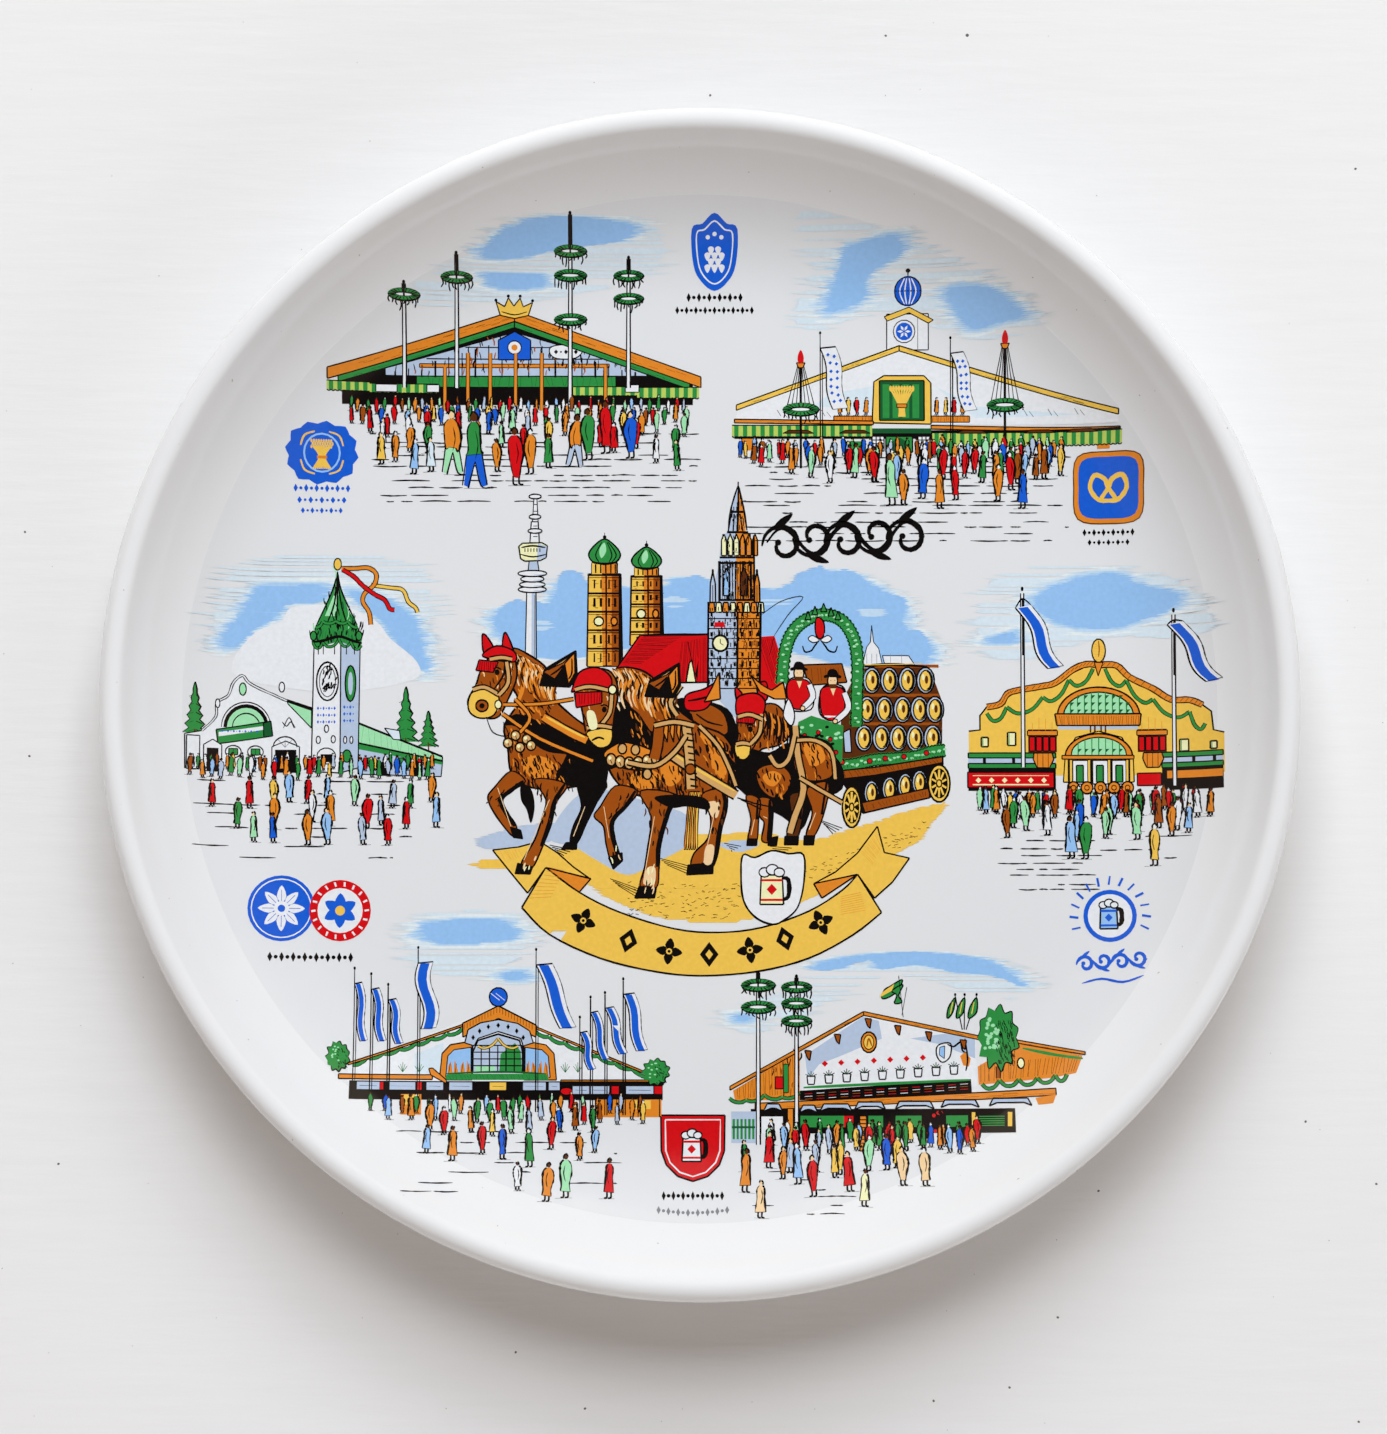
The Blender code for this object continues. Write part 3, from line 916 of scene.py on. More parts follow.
def fir(pen, x, base, top, half):
    """A fir tree with a jagged outline, darker on its right."""
    steps = 6
    left, right = [], []
    for k in range(steps):
        y = base + (top - base) * (k + 0.15) / steps
        reach = half * (1 - k / steps)
        left += [(x - reach, y), (x - reach * 0.5, y + (top - base) / steps * 0.55)]
        right += [(x + reach, y), (x + reach * 0.5, y + (top - base) / steps * 0.55)]
    edge = left + [(x, top)] + right[::-1]
    pen.fill("green", edge)
    pen.line(right[:] + [(x, top)], 0.28, ends=0.9, curved=False)
    pen.line(left + [(x, top)], 0.17, ends=0.9, curved=False)
    pen.line([(x + 0.1, base - 0.6), (x, base + 0.8)], 0.5, "dark_brown")
    for k in range(5):
        y = base + (top - base) * (k + 0.5) / 6
        pen.line([(x + half * 0.1, y), (x + half * (0.7 - k * 0.1), y - 0.4)], 0.3)
        pen.line([(x - half * 0.5, y - 0.3), (x - half * 0.1, y)], 0.2, "dark_green")


def bush(pen, x, y, rx, ry, dark="ink"):
    """A round leafy crown with a scalloped edge and short shading strokes."""
    edge = []
    for k in range(22):
        angle = math.tau * k / 22
        swell = 1.12 if k % 2 else 0.92
        swell += pen.chance.uniform(-0.06, 0.06)
        edge.append((x + rx * swell * math.cos(angle), y + ry * swell * math.sin(angle)))
    pen.blob("green", edge, 2)
    for k in range(max(4, round(rx * ry * 2.5))):
        bx, by = x + rx * pen.chance.uniform(-0.7, 0.1), y + ry * pen.chance.uniform(-0.5, 0.7)
        pen.oval("light_green", bx, by, rx * 0.1, ry * 0.06, 6)
    for k in range(max(6, round(rx * ry * 7))):
        bx, by = x + rx * pen.chance.uniform(-0.1, 0.85), y + ry * pen.chance.uniform(-0.85, 0.6)
        pen.line([(bx, by), (bx + 0.15, by - ry * 0.14)], 0.24, dark)
    pen.line(edge[:7], 0.2)
    pen.line(edge[14:] + edge[:1], 0.26)
    pen.line(edge[7:12], 0.15)


def swags(pen, points, drop, colour="green", width=0.55):
    """A garland hung in loops between points."""
    for (ax, ay), (bx, by) in zip(points, points[1:]):
        loop = [(ax, ay), ((3 * ax + bx) / 4, (3 * ay + by) / 4 - drop * 0.8),
                ((ax + bx) / 2, (ay + by) / 2 - drop), ((ax + 3 * bx) / 4,
                (ay + 3 * by) / 4 - drop * 0.8), (bx, by)]
        strap(pen, loop, width, colour, 0.12)


def roof_edge(pen, points, thick, colour="ochre", marks=18):
    """A sloping roof edge of an even thickness, with short grain marks."""
    for (ax, ay), (bx, by) in zip(points, points[1:]):
        pen.shape(colour, [(ax, ay), (bx, by), (bx, by - thick), (ax, ay - thick)], 0.22)
        for _ in range(marks):
            t = pen.chance.uniform(0.03, 0.95)
            x, y = ax + (bx - ax) * t, ay + (by - ay) * t - thick * pen.chance.uniform(0.3, 0.8)
            pen.line([(x, y), (x + (bx - ax) * 0.05, y + (by - ay) * 0.05)], 0.12, ends=0.3)


def lattice(pen, x0, y0, x1, y1, columns, rows, width=0.17):
    """Level and upright glazing bars over a window."""
    for k in range(columns + 1):
        x = x0 + (x1 - x0) * k / columns
        pen.line([(x, y0), (x, y1)], width, ends=0.9)
    for k in range(rows + 1):
        y = y0 + (y1 - y0) * k / rows
        pen.line([(x0, y), (x1, y)], width, ends=0.9)


def beads(pen, colour, left, right, y, height, count, bow=0.0):
    """A row of small lozenges with dots between them; bow lifts its ends."""
    step = (right - left) / count
    for k in range(count):
        x = left + step * (k + 0.5)
        lift = y + bow * ((2 * k + 1) / count - 1) ** 2
        if k % 2:
            pen.oval(colour, x, lift, height * 0.2, height * 0.2, 8)
        else:
            pen.fill(colour, [(x - step * 0.42, lift), (x, lift - height / 2),
                    (x + step * 0.42, lift), (x, lift + height / 2)])


def vine(pen, colour, start, end, waves, height, width):
    """A wavy stem with a curl in each bend."""
    (ax, ay), (bx, by) = start, end
    length = math.dist(start, end)
    own = pen.at(ax, ay, 1.0, 1, math.atan2(by - ay, bx - ax))
    count = 12 * waves
    stem = [(length * k / count,
            height / 4 * math.sin(math.pi * waves * k / count)) for k in range(count + 1)]
    own.line(stem, width * 0.8, colour, 0.3)
    bend = length / waves
    for k in range(waves):
        side = 1 if k % 2 == 0 else -1
        curl = []
        for step in range(15):
            angle = math.pi * (1.0 + step / 6.5)
            reach = height * 0.42 * (1 - step / 19)
            curl.append((bend * (k + 0.52) + reach * math.cos(angle) * 0.95,
                    -side * (height * 0.06 + reach * math.sin(angle))))
        own.line(curl, width, colour, 0.25)
        own.oval(colour, curl[-1][0], curl[-1][1], width * 0.6, width * 0.6, 10)
        leaf = own.at(bend * (k + 0.55), side * height * 0.36, height / 4, 1, side * 0.5)
        leaf.blob(colour, [(-0.9, 0.0), (0.0, 0.35), (1.0, 0.2), (0.1, -0.2)], 3)


# The six scenes ----------------------------------------------------------------------------------


def scene_north_west():
    """A long festival tent with a crown on its ridge and four leafy poles."""
    pen = Pen(11)
    brushed(pen, "wash", [(-46, 69), (-36, 74.5), (-24, 80), (-8, 79), (-7.5, 72), (-20, 68),
            (-36, 66), (-46, 66)], 4.0, 0.3, 0.5)
    sky(pen, [(-36, 73.5), (-32, 77.5), (-24, 79.9), (-11, 79), (-13, 76.4), (-22.7, 75),
            (-29.7, 73.4)])
    sky(pen, [(-35.5, 70.5), (-34, 71.1), (-26, 71), (-25.4, 69), (-33, 68.6)])
    ridge, left, right = (-30.3, 65.2), (-60.3, 55.4), (-0.2, 54.4)
    pen.fill("ink", [(-58, 54.3), (-30.3, 63), (-1.5, 53.5), (-1.5, 49.8), (-58, 49.8)])
    pen.fill("grey_blue", [(-51, 55.6), (-30.3, 61.6), (-9, 55.4), (-9, 54.6), (-51, 54.6)])
    pen.fill("green", [(-46, 54.4), (-14, 54.4), (-14, 52.8), (-46, 52.8)])
    pen.box("ochre", -45.6, 55.9, -15, 56.5, 0.16)
    for k in range(19):
        x = -49.5 + k * 2.15
        height = 55.2 + max(0.0, 5.6 - abs(x + 30.3) * 0.3)
        pen.line([(x, 54.3), (x, height)], 0.34 if k % 3 == 0 else 0.2, ends=0.9)
    for y in (57.3, 59.2):
        reach = (61.6 - y) * 3.3
        pen.line([(-30.3 - reach, y), (-30.3 + reach, y)], 0.22, ends=0.9)
    hatch(pen, ((-45, 54.4), (-14, 54.4)), ((-45, 52.9), (-14, 52.9)), 26, 0.17)
    fur(pen, [(-52, 54.4), (-30.3, 61.8), (-8, 54.4)], 220, 88, 1.5, ("ink", "ink", "brown"), 0.24)
    pen.shape("blue", [(-32.9, 57.2), (-32.9, 60.4), (-30.3, 61.8), (-27.7, 60.4), (-27.7, 57.2)],
            0.22)
    pen.disc("white", -30.3, 59.2, 1.1, width=0.2)
    pen.oval("ochre", -30.3, 59.2, 0.5)
    pen.shape("white", [(-24.6, 58.3), (-24.2, 59.4), (-21, 59.7), (-19.3, 58.9), (-20.4, 57.5),
            (-23.4, 57.4)], 0.2, curved=True)
    beads(pen, "ink", -24, -20, 58.5, 0.8, 5)
    roof_edge(pen, [(-58.6, 54.2), (-30.3, 63.4), (-2, 53.3)], 0.95, "green", 12)
    roof_edge(pen, [left, ridge, right], 1.75, "ochre", 26)
    striped(pen, -60.4, 52.0, -53.6, 53.4)
    striped(pen, -53.6, 51.8, -42.6, 53.2)
    striped(pen, -20.8, 51.4, -10.5, 52.8)
    striped(pen, -10.5, 51.0, -0.5, 52.7)
    for x0, x1 in ((-52.6, -49.2), (-44.4, -42.4), (-12.4, -10.2)):
        pen.box("white", x0, 51.9, x1, 53.1, 0.18)
    for x in (-41.5, -37.8, -34.2, -30.1, -25.9, -15.6):
        top = 58.3 if abs(x + 30) < 9 else 56.0
        strap(pen, [(x, 48.9), (x, top)], 0.45, "ochre", 0.13)
    pen.shape("yellow", [(-32.6, 64.4), (-33.3, 66.6), (-31.9, 65.8), (-31.3, 67.2), (-30.4, 65.9),
            (-29.4, 67.2), (-28.9, 65.8), (-27.4, 66.5), (-28.1, 64.4), (-30.3, 63.9)], 0.22)
    pen.line([(-32.4, 65), (-30.3, 64.5), (-28.3, 65)], 0.2)
    for x, y in ((-33.3, 66.8), (-31.3, 67.5), (-29.4, 67.5), (-27.4, 66.8)):
        pen.oval("ink", x, y, 0.26, 0.26, 8)
    maypole(pen, -48.0, 52.6, 68.8, (67.2,))
    maypole(pen, -39.6, 52.6, 73.6, (70.2,))
    maypole(pen, -21.3, 50.0, 80.2, (74.7, 70.9, 63.8), 2.6)
    maypole(pen, -11.9, 52.6, 73.6, (70.9, 67.2), 2.4)
    ground(pen, -54, 1.4, 34.2, 45.0, 11)
    crowd(pen, (-57.5, -2, 48.6), (-57, -1.5, 46.8), 2, (2.5, 3.0), 0.3)
    crowd(pen, (-54, -2, 45.0), (-52, -3, 42.6), 2, (3.8, 4.6), 1.6)
    for x, y, height, coat in ((-51.6, 40.2, 5.2, "yellow"), (-49.4, 40.6, 5.0, "ochre"),
            (-46.4, 38.6, 5.8, "sky"), (-43.6, 39.0, 5.6, "wash"), (-33.0, 39.0, 5.4, "ochre"),
            (-24.8, 39.6, 5.6, "green"), (-4.0, 39.2, 5.0, "green"), (-7.4, 40.4, 4.6, "white")):
        person(pen, x, y, height, coat)
    person(pen, -40.2, 38.6, 10.4, "ochre", "light_green")
    person(pen, -36.6, 36.4, 12.4, "green", "blue")
    person(pen, -29.9, 36.8, 9.4, "red")
    person(pen, -27.6, 38.6, 7.4, "ochre")
    person(pen, -20.6, 39.8, 8.6, "ochre", "grey_blue")
    person(pen, -18.2, 40.9, 8.4, "green")
    person(pen, -15.3, 42.0, 8.6, "red")
    person(pen, -11.4, 41.2, 7.6, "blue")
    return pen


def flame_cone(pen, x, ring, top, base):
    """A pole whose guy lines fan out to a leafy ring, with a flame at its top."""
    pen.line([(x, base), (x, top - 1.5)], 0.42, ends=0.9)
    for k in range(-3, 4):
        pen.line([(x + k * 0.12, top - 1.2), (x + k * 0.75, ring + 0.4)], 0.15, ends=0.9)
        pen.line([(x + k * 0.5, (top + ring) / 2 - 1), (x + k * 0.75, ring)], 0.2, ends=0.5)
    wreath(pen, x, ring, 2.9)
    pen.shape("ochre", [(x - 0.7, top - 1.2), (x + 0.7, top - 1.2), (x + 0.35, top - 2),
            (x - 0.35, top - 2)], 0.2)
    pen.blob("red", [(x - 0.4, top - 1.1), (x - 0.45, top), (x, top + 0.9), (x + 0.45, top),
            (x + 0.4, top - 1.1)])


def scene_north_east():
    """A broad white tent with a tower, a golden window and dotted banners."""
    pen = Pen(12)
    brushed(pen, "wash", [(15.3, 79.8), (19.9, 80.4), (32.2, 76.5), (44, 71.2), (52.4, 64.7),
            (53.7, 62.1), (44, 60.4), (29.6, 64.7), (17.9, 62.1), (14.7, 64.7), (17.9, 71.9)], 4.0,
            0.3, 0.5)
    sky(pen, [(22.8, 74.9), (25.1, 75.8), (30.9, 77), (32.8, 74.5), (27, 70.9), (26.1, 66.7),
            (19.9, 64.8), (21.2, 69.9)])
    sky(pen, [(39.4, 68.6), (46.2, 68.4), (52.1, 63.9), (47.9, 62.7), (43.3, 61.9), (40.1, 65.4)])
    peak, left, right = (31.8, 59.5), (5.9, 49.3), (66.8, 48.2)
    pen.fill("white", [left, peak, right, (66.8, 46.4), (5.2, 47)])
    pen.fill("wash", [(17.9, 49.6), (20.5, 51.6), (27.7, 52.9), (27.7, 49)])
    pen.fill("wash", [(37.5, 52.9), (44, 49.6), (60.9, 48), (44, 47.7)])
    pen.box("white", 29.8, 58.8, 36.5, 64.6, 0.2)
    pen.line([(34.8, 64.4), (34.8, 58.9)], 0.18)
    pen.shape("yellow", [(29.4, 64.2), (33.4, 65.7), (37.3, 63.6), (36.5, 63.1), (33.4, 64.8),
            (29.9, 63.5)], 0.18)
    pen.disc("white", 32.6, 61.8, 1.75, 1.85, 0.18)
    pen.oval("blue", 32.6, 61.8, 1.35, 1.45)
    for k in range(6):
        own = pen.at(32.6, 61.8, 1.0, 1, math.tau * k / 6)
        own.fill("white", [(0.15, 0.0), (0.6, 0.22), (1.1, 0.0), (0.6, -0.22)])
    pen.disc("blue", 33.2, 68.2, 2.15, 2.3, 0.22, 18)
    for k in (-1.1, -0.4, 0.4, 1.1):
        pen.line([(33.2 + k * 0.5, 70.2), (33.2 + k * 1.2, 68.2), (33.2 + k * 0.5, 66.2)], 0.22,
                "white", 0.7)
    for k in range(9):
        pen.oval("ink", 31.3 + k * 0.48, 68.25, 0.12, 0.14, 6)
    pen.line([(33.2, 70.4), (33.2, 71.3)], 0.4)
    pen.oval("ink", 33.2, 71.4, 0.4, 0.35, 8)
    for x in (21.2, 36.8):
        pen.box("ochre", x, 47, x + 6.3, 48, 0.18)
        hatch(pen, ((x, 48.2), (x + 6.2, 48.2)), ((x, 47), (x + 6.2, 47)), 16, 0.2)
        for k in range(4):
            person(pen, x + 1.0 + k * 1.4, 48.2, 2.9, ("ochre", "yellow", "red", "ochre")[k])
    pen.shape("yellow", [(27.4, 46.9), (27.7, 53.6), (29.3, 54.6), (35.8, 54.6), (36.9, 53.4),
            (36.9, 46.7)], 0.25)
    pen.box("dark_green", 28.6, 47.3, 35.8, 53.8, 0.25)
    for k in range(4):
        pen.box("green", 29.1 + k * 1.6, 47.7, 29.1 + k * 1.6 + 1.1, 53.2)
    sheaf = pen.at(32.2, 49.6, 1.0)
    for k in range(-4, 5):
        sheaf.line([(k * 0.12, -1.7), (k * 0.1, 0), (k * 0.42, 2.6)], 0.34, "yellow", 0.7)
        sheaf.oval("yellow", k * 0.45, 2.9, 0.24, 0.5, 8)
    sheaf.box("ochre", -0.8, -0.2, 0.8, 0.4, 0.16)
    for x in (12.1, 19.2, 46.6, 51.8, 55.7, 59.9):
        pen.line([(x, 49), (x + 0.6, 48)], 0.2)
        pen.line([(x + 0.9, 48.7), (x + 1.6, 47.8)], 0.16)
    for x0, x1 in ((6.1, 8.1), (63.5, 65.5)):
        pen.box("ochre", x0, 42.4, x1, 44.4)
    roof_edge(pen, [(5.5, 49.8), (31.8, 59.5), (66.8, 48.5)], 0.85, "yellow", 16)
    roof_edge(pen, [(5.2, 47.5), (27.6, 47.2)], 0.6, "ochre", 6)
    roof_edge(pen, [(36.9, 46.5), (67.1, 45.8)], 0.6, "ochre", 6)
    pen.box("ink", 5.2, 44.3, 67.1, 45.7)
    striped(pen, 4.8, 44.7, 27.4, 46.5)
    striped(pen, 37.1, 43.2, 67.4, 45.3)
    for x in (13, 22.1, 41, 51.9, 58.6):
        pen.shape("dark_brown", [(x, 45.2), (x + 1, 45.7), (x + 4, 45.7), (x + 5, 45.2)], 0.16)
    pen.box("dark_green", 27.4, 45.2, 36.9, 46)
    pen.box("green", 29.6, 42.1, 33.9, 44.7, 0.25)
    pen.fill("dark_green", [(30.3, 42.1), (30.3, 43.7), (31.9, 44.5), (33.2, 43.7), (33.2, 42.1)])
    for x in (27.4, 34.8):
        pen.box("white", x, 42.3, x + 1.9, 44.7)
        lattice(pen, x, 42.3, x + 1.9, 44.7, 3, 4, 0.2)
    pen.box("green", 22.6, 42.4, 26.4, 43.9)
    flame_cone(pen, 15.9, 49.1, 57.9, 39.5)
    flame_cone(pen, 48.8, 49.8, 60.8, 40.5)
    streamer(pen, (20.3, 59.1), (22.3, 49.1), 2.5, 0.6, True, 40.5)
    streamer(pen, (41.1, 58.2), (43.3, 48.8), 2.1, 0.6, True, 40.5)
    ground(pen, 6, 60, 27.6, 41.0, 13)
    crowd(pen, (5.5, 58, 41.4), (8, 56, 40.2), 2, (3.0, 3.6))
    crowd(pen, (14, 58, 38.2), (20, 56, 37.4), 2, (4.6, 5.2), 0.9)
    for x, y, height, coat in ((30.6, 33.5, 8.5, "light_green"), (32.4, 33.6, 5.8, "ochre"),
            (35.5, 34.6, 6.6, "blue"), (38.2, 33.0, 6.4, "ochre"), (40.9, 34.4, 5.6, "red"),
            (47.6, 34.2, 6.0, "ochre"), (49.7, 36.0, 6.2, "red"), (51.6, 33.0, 6.4, "blue"),
            (27.8, 37.3, 5.8, "red")):
        person(pen, x, y, height, coat)
    return pen


def scene_west():
    """A white hall with a curved gable, a clock tower with a green spire, and firs."""
    pen = Pen(13)
    brushed(pen, "wash", [(-78, 12.3), (-76.1, 21.8), (-67.6, 25.2), (-46.6, 24.2), (-43.3, 15.6),
            (-44.7, 5.1), (-51.4, 12.3), (-61.8, 15.6), (-71.8, 8.9)], 5.0, 0.3, 0.5)
    sky(pen, [(-77.3, 11.3), (-74.9, 10.2), (-71.8, 13.2), (-68.5, 15.1), (-66.6, 17.3),
            (-60.9, 17.8), (-59.5, 20.4), (-66.1, 20.6), (-71.4, 20.1), (-73.7, 16.6)])
    sky(pen, [(-57.1, 19.5), (-52.8, 19.2), (-47.1, 16.1), (-44.7, 11.3), (-44.2, 6.6),
            (-46.6, 8.4), (-50, 12.3), (-51, 14.2), (-54.2, 16.6)])
    pen.blob("white", [(-75.2, 8), (-71.8, 12.7), (-67.6, 14.6), (-66.1, 16.8), (-61.8, 17.3),
            (-57.1, 17), (-52.3, 14.6), (-50, 11.8), (-45.7, 8), (-46.6, 5.1), (-59, 3.2),
            (-73.3, 5.1)])
    fir(pen, -81, -3.9, 4.5, 1.81)
    fir(pen, -47.5, -5, 4.1, 2.19)
    fir(pen, -43.9, -5.7, 0.2, 1.71)
    pen.shape("grey_blue", [(-55.1, -5), (-41.6, -8.2), (-41.8, -10.4), (-55.1, -10)], 0.2)
    pen.shape("light_green", [(-55.1, -1.8), (-41.6, -7.2), (-41.6, -8.3), (-55.1, -5.4)], 0.25)
    pen.fill("green", [(-55.1, -5), (-41.6, -7.7), (-41.6, -8.5), (-55.1, -6)])
    hatch(pen, ((-54.7, -2.2), (-42.4, -7.2)), ((-54.7, -5), (-42.4, -7.8)), 14, 0.16, "green")
    pen.line([(-55.1, -1.8), (-41.6, -7.2)], 0.4, ends=0.9)
    pen.line([(-55.1, -5), (-41.6, -7.9)], 0.36, ends=0.9)
    pen.shape("wash", [(-50.9, -2.6), (-48.5, -3), (-48.3, -4.5), (-49.5, -4.4)], 0.2)
    for x in (-54.2, -49.1):
        pen.box("green", x, -8.7, x + 1.4, -7.4, 0.2)
    for x in (-51.5, -46.3):
        pen.shape("ink", [(x, -10.2), (x, -8.3), (x + 0.7, -7.8), (x + 1.5, -8.3),
                (x + 1.5, -10.2)], 0.2)
    gable = [(-82.4, -9.5), (-82.5, -3.9), (-79.9, -3.3), (-77.8, -1), (-77.6, 1.3), (-75.9, 2.5),
            (-75.1, 4.6), (-73.7, 5.8), (-72.7, 4.7), (-70.9, 3.7), (-68.6, 2.7), (-66.6, 1.8),
            (-62.6, 0.4), (-62.6, -9.7)]
    pen.fill("white", gable)
    pen.shape("light_green", [(-66.6, 2), (-62.6, 0.7), (-62.6, -2.6), (-66.4, 1.3)], 0.2)
    pen.line(gable[2:13], 0.5, "ink", 0.8)
    pen.line(gable[2:12], 0.2, "white", 0.8)
    pen.line([gable[0], gable[1]], 0.22, ends=0.9)
    pen.line([gable[1], gable[2]], 0.22, ends=0.9)
    pen.box("white", -82.2, -9.5, -80.2, -4.1, 0.2)
    pen.disc("white", -77.5, 1.2, 0.35, 0.7, 0.2)
    pen.disc("white", -67.4, 4, 0.45, 0.8, 0.2)
    pen.disc("light_green", -73.6, 3.6, 0.55, 1.0, 0.22)
    fan = ellipse_points(-73, -2.6, 3.6, 3.8, 13, 0.0, math.pi)
    pen.fill("ink", fan)
    for k in range(1, 12, 2):
        own = [fan[k - 1], fan[k], fan[k + 1], (-73, -2.4)]
        pen.fill("light_green",
                [(-73 + (x + 73) * 0.84, -2.6 + (y + 2.6) * 0.84) for x, y in own])
    pen.line(ellipse_points(-73, -2.6, 2.2, 2.3, 9, 0.0, math.pi), 0.22)
    pen.line(ellipse_points(-73, -2.6, 3.9, 4.1, 13, 0.0, math.pi), 0.2)
    pen.shape("green", [(-77.7, -3), (-69.1, -1.5), (-68.8, -3.9), (-77.4, -5.3)], 0.25)
    pen.fill("white", [(-77.3, -3.4), (-70.3, -2.3), (-70.3, -2.9), (-77.3, -4.1)])
    beads(pen, "blue", -77, -70.6, -3.2, 0.4, 14)
    pen.shape("dark_green", [(-70.3, -1.8), (-69.1, -1.5), (-68.8, -3.9), (-70.2, -4.1)], 0.2)
    for x in (-75, -71.5):
        pen.disc("white", x, -6.5, 1.25, 1.0, 0.22)
        pen.box("green", x - 0.7, -7, x + 0.7, -6, 0.18)
        pen.line([(x, -7), (x, -6)], 0.16)
    for x0, x1, top in ((-79.1, -77.3, -6), (-68.4, -65, -6.1)):
        pen.shape("white", [(x0 - 0.5, -9.7), (x0 - 0.5, top + 0.5), ((x0 + x1) / 2, top + 1.4),
                (x1 + 0.5, top + 0.5), (x1 + 0.5, -9.7)], 0.2)
        pen.box("ink", x0, -9.8, x1, top)
    pen.line(ellipse_points(-66.8, -5.7, 1.9, 1.7, 9, 0.0, math.pi), 0.25)
    for k in range(3):
        pen.line([(-66.8, -5.7), (-66.8 + (k - 1) * 1.1, -4.5)], 0.16)
    pen.line([(-67.3, -1.6), (-66.6, -2.3), (-65.9, -1.6), (-65.2, -2.6)], 0.22)
    pen.line([(-67.1, -2.6), (-66.2, -0.9), (-65.4, -2.6)], 0.2)
    shaft = [(-62.3, 10.8), (-58, 11.5), (-58, -9.8), (-62.6, -9.6)]
    pen.shape("white", shaft, 0.22)
    pen.shape("grey_blue", [(-58, 11.5), (-54.9, 10.7), (-55.1, -9), (-58, -9.8)], 0.22)
    pen.disc("white", -60.1, 4.95, 1.75, 3.1, 0.3, 20)
    pen.rim(ellipse_points(-60.1, 4.95, 1.3, 2.5, 16), 0.16, curved=False)
    fur(pen, ellipse_points(-60.1, 4.95, 1.2, 2.4, 12), 40, 70, 1.0, ("ink",), 0.3)
    pen.disc("green", -56.4, 4.6, 0.85, 2.9, 0.28, 16)
    pen.oval("grey_blue", -56.4, 4.6, 0.4, 1.9, 12)
    for row in range(3):
        beads(pen, "blue", -61.8, -58.7, 0.6 - row * 1.1, 0.62, 7)
        beads(pen, "blue", -57.6, -55.7, 0.8 - row * 1.1, 0.62, 4)
    for x, y, rx in ((-60.2, -2.7, 0.35), (-61.5, -4.5, 0.35), (-59.1, -4.4, 0.35),
            (-57.2, -4.5, 0.25), (-56.2, -4.5, 0.25)):
        pen.disc("white", x, y, rx, 0.6, 0.2, 10)
    pen.disc("white", -60.2, -7.1, 1.5, 1.3, 0.22)
    pen.box("ink", -61.1, -8.1, -59.3, -6.8)
    pen.disc("green", -56.9, -7.1, 0.7, 1.0, 0.22)
    spire = [(-58.6, 22.9), (-59.4, 19.7), (-61.1, 15.7), (-62.1, 13.9), (-62.7, 11.5),
            (-62.3, 10.2), (-58.3, 11.4), (-54.8, 10.2), (-54.6, 11.8), (-55.4, 14.2),
            (-56.9, 16.6), (-58, 19.9)]
    pen.fill("green", spire)
    pen.fill("light_green", [(-58.6, 21.8), (-59.2, 18.9), (-60.6, 15.5), (-58.9, 15.5),
            (-58.4, 18.9)])
    for a, b, c in (((-58.6, 22.7), (-59.5, 19.4), (-62, 13.9)), ((-58.6, 22.7), (-57.9, 19.4),
            (-55.4, 14.1)), ((-58.6, 21.8), (-58.6, 17.5), (-58.8, 14.2)),
            ((-58.6, 21.8), (-59.1, 17.5), (-60.2, 14.4)), ((-58.6, 21.8), (-58, 17.5),
            (-57.1, 14.4))):
        pen.line([a, b, c], 0.26, ends=0.6)
    fur(pen, spire, 70, 95, 2.2, ("ink", "dark_green", "ink", "light_green"), 0.26)
    fur(pen, [(-62.6, 13.7), (-54.7, 13.7), (-54.7, 10.3), (-58.5, 11.4), (-62.3, 10.3)], 40, 85,
            1.6, ("ink",), 0.3)
    swags(pen, [(-62.1, 13.7), (-60.9, 14.6), (-58.8, 14.7), (-56.9, 14.6), (-55.3, 13.7)], 0.35,
            "green", 0.35)
    hatch(pen, ((-62, 13.2), (-55.2, 13.2)), ((-62.4, 11.5), (-54.7, 11.3)), 15, 0.26, "dark_green")
    pen.line([(-62.7, 11.3), (-60.9, 11.5), (-58.3, 12.2), (-56.1, 11.5), (-54.6, 11.1)], 0.5)
    swags(pen, [(-62.5, 11.2), (-60.9, 11.2), (-58.3, 11.7), (-56.4, 11.3), (-54.7, 10.8)], 0.9,
            "green", 0.28)
    for x in (-62.4, -55.1):
        pen.disc("green", x, 12.3, 0.5, 0.75, 0.22)
    for x in (-61.6, -60.8, -59, -57.1, -55.8):
        pen.line([(x, 10.7), (x, 9.3)], 0.34)
    strap(pen, [(-53.2, 20.5), (-50.2, 20.1), (-48.1, 19.7), (-47.2, 17.8), (-46.1, 16.9),
            (-45.7, 16.1)], 0.45, "yellow")
    strap(pen, [(-58, 23.2), (-55.9, 23.2), (-53.7, 23.3), (-52.4, 22.3), (-52.7, 20.6),
            (-54.2, 19.2), (-54.5, 17.8), (-53.5, 16.1), (-53.2, 14.1)], 0.5, "ochre")
    strap(pen, [(-57.8, 23), (-56, 21.9), (-54.5, 20.4), (-52.6, 19), (-51, 18.1), (-50.2, 16.7),
            (-49.4, 16.5)], 0.5, "red")
    pen.disc("yellow", -58.6, 23.9, 0.6, 0.95, 0.22)
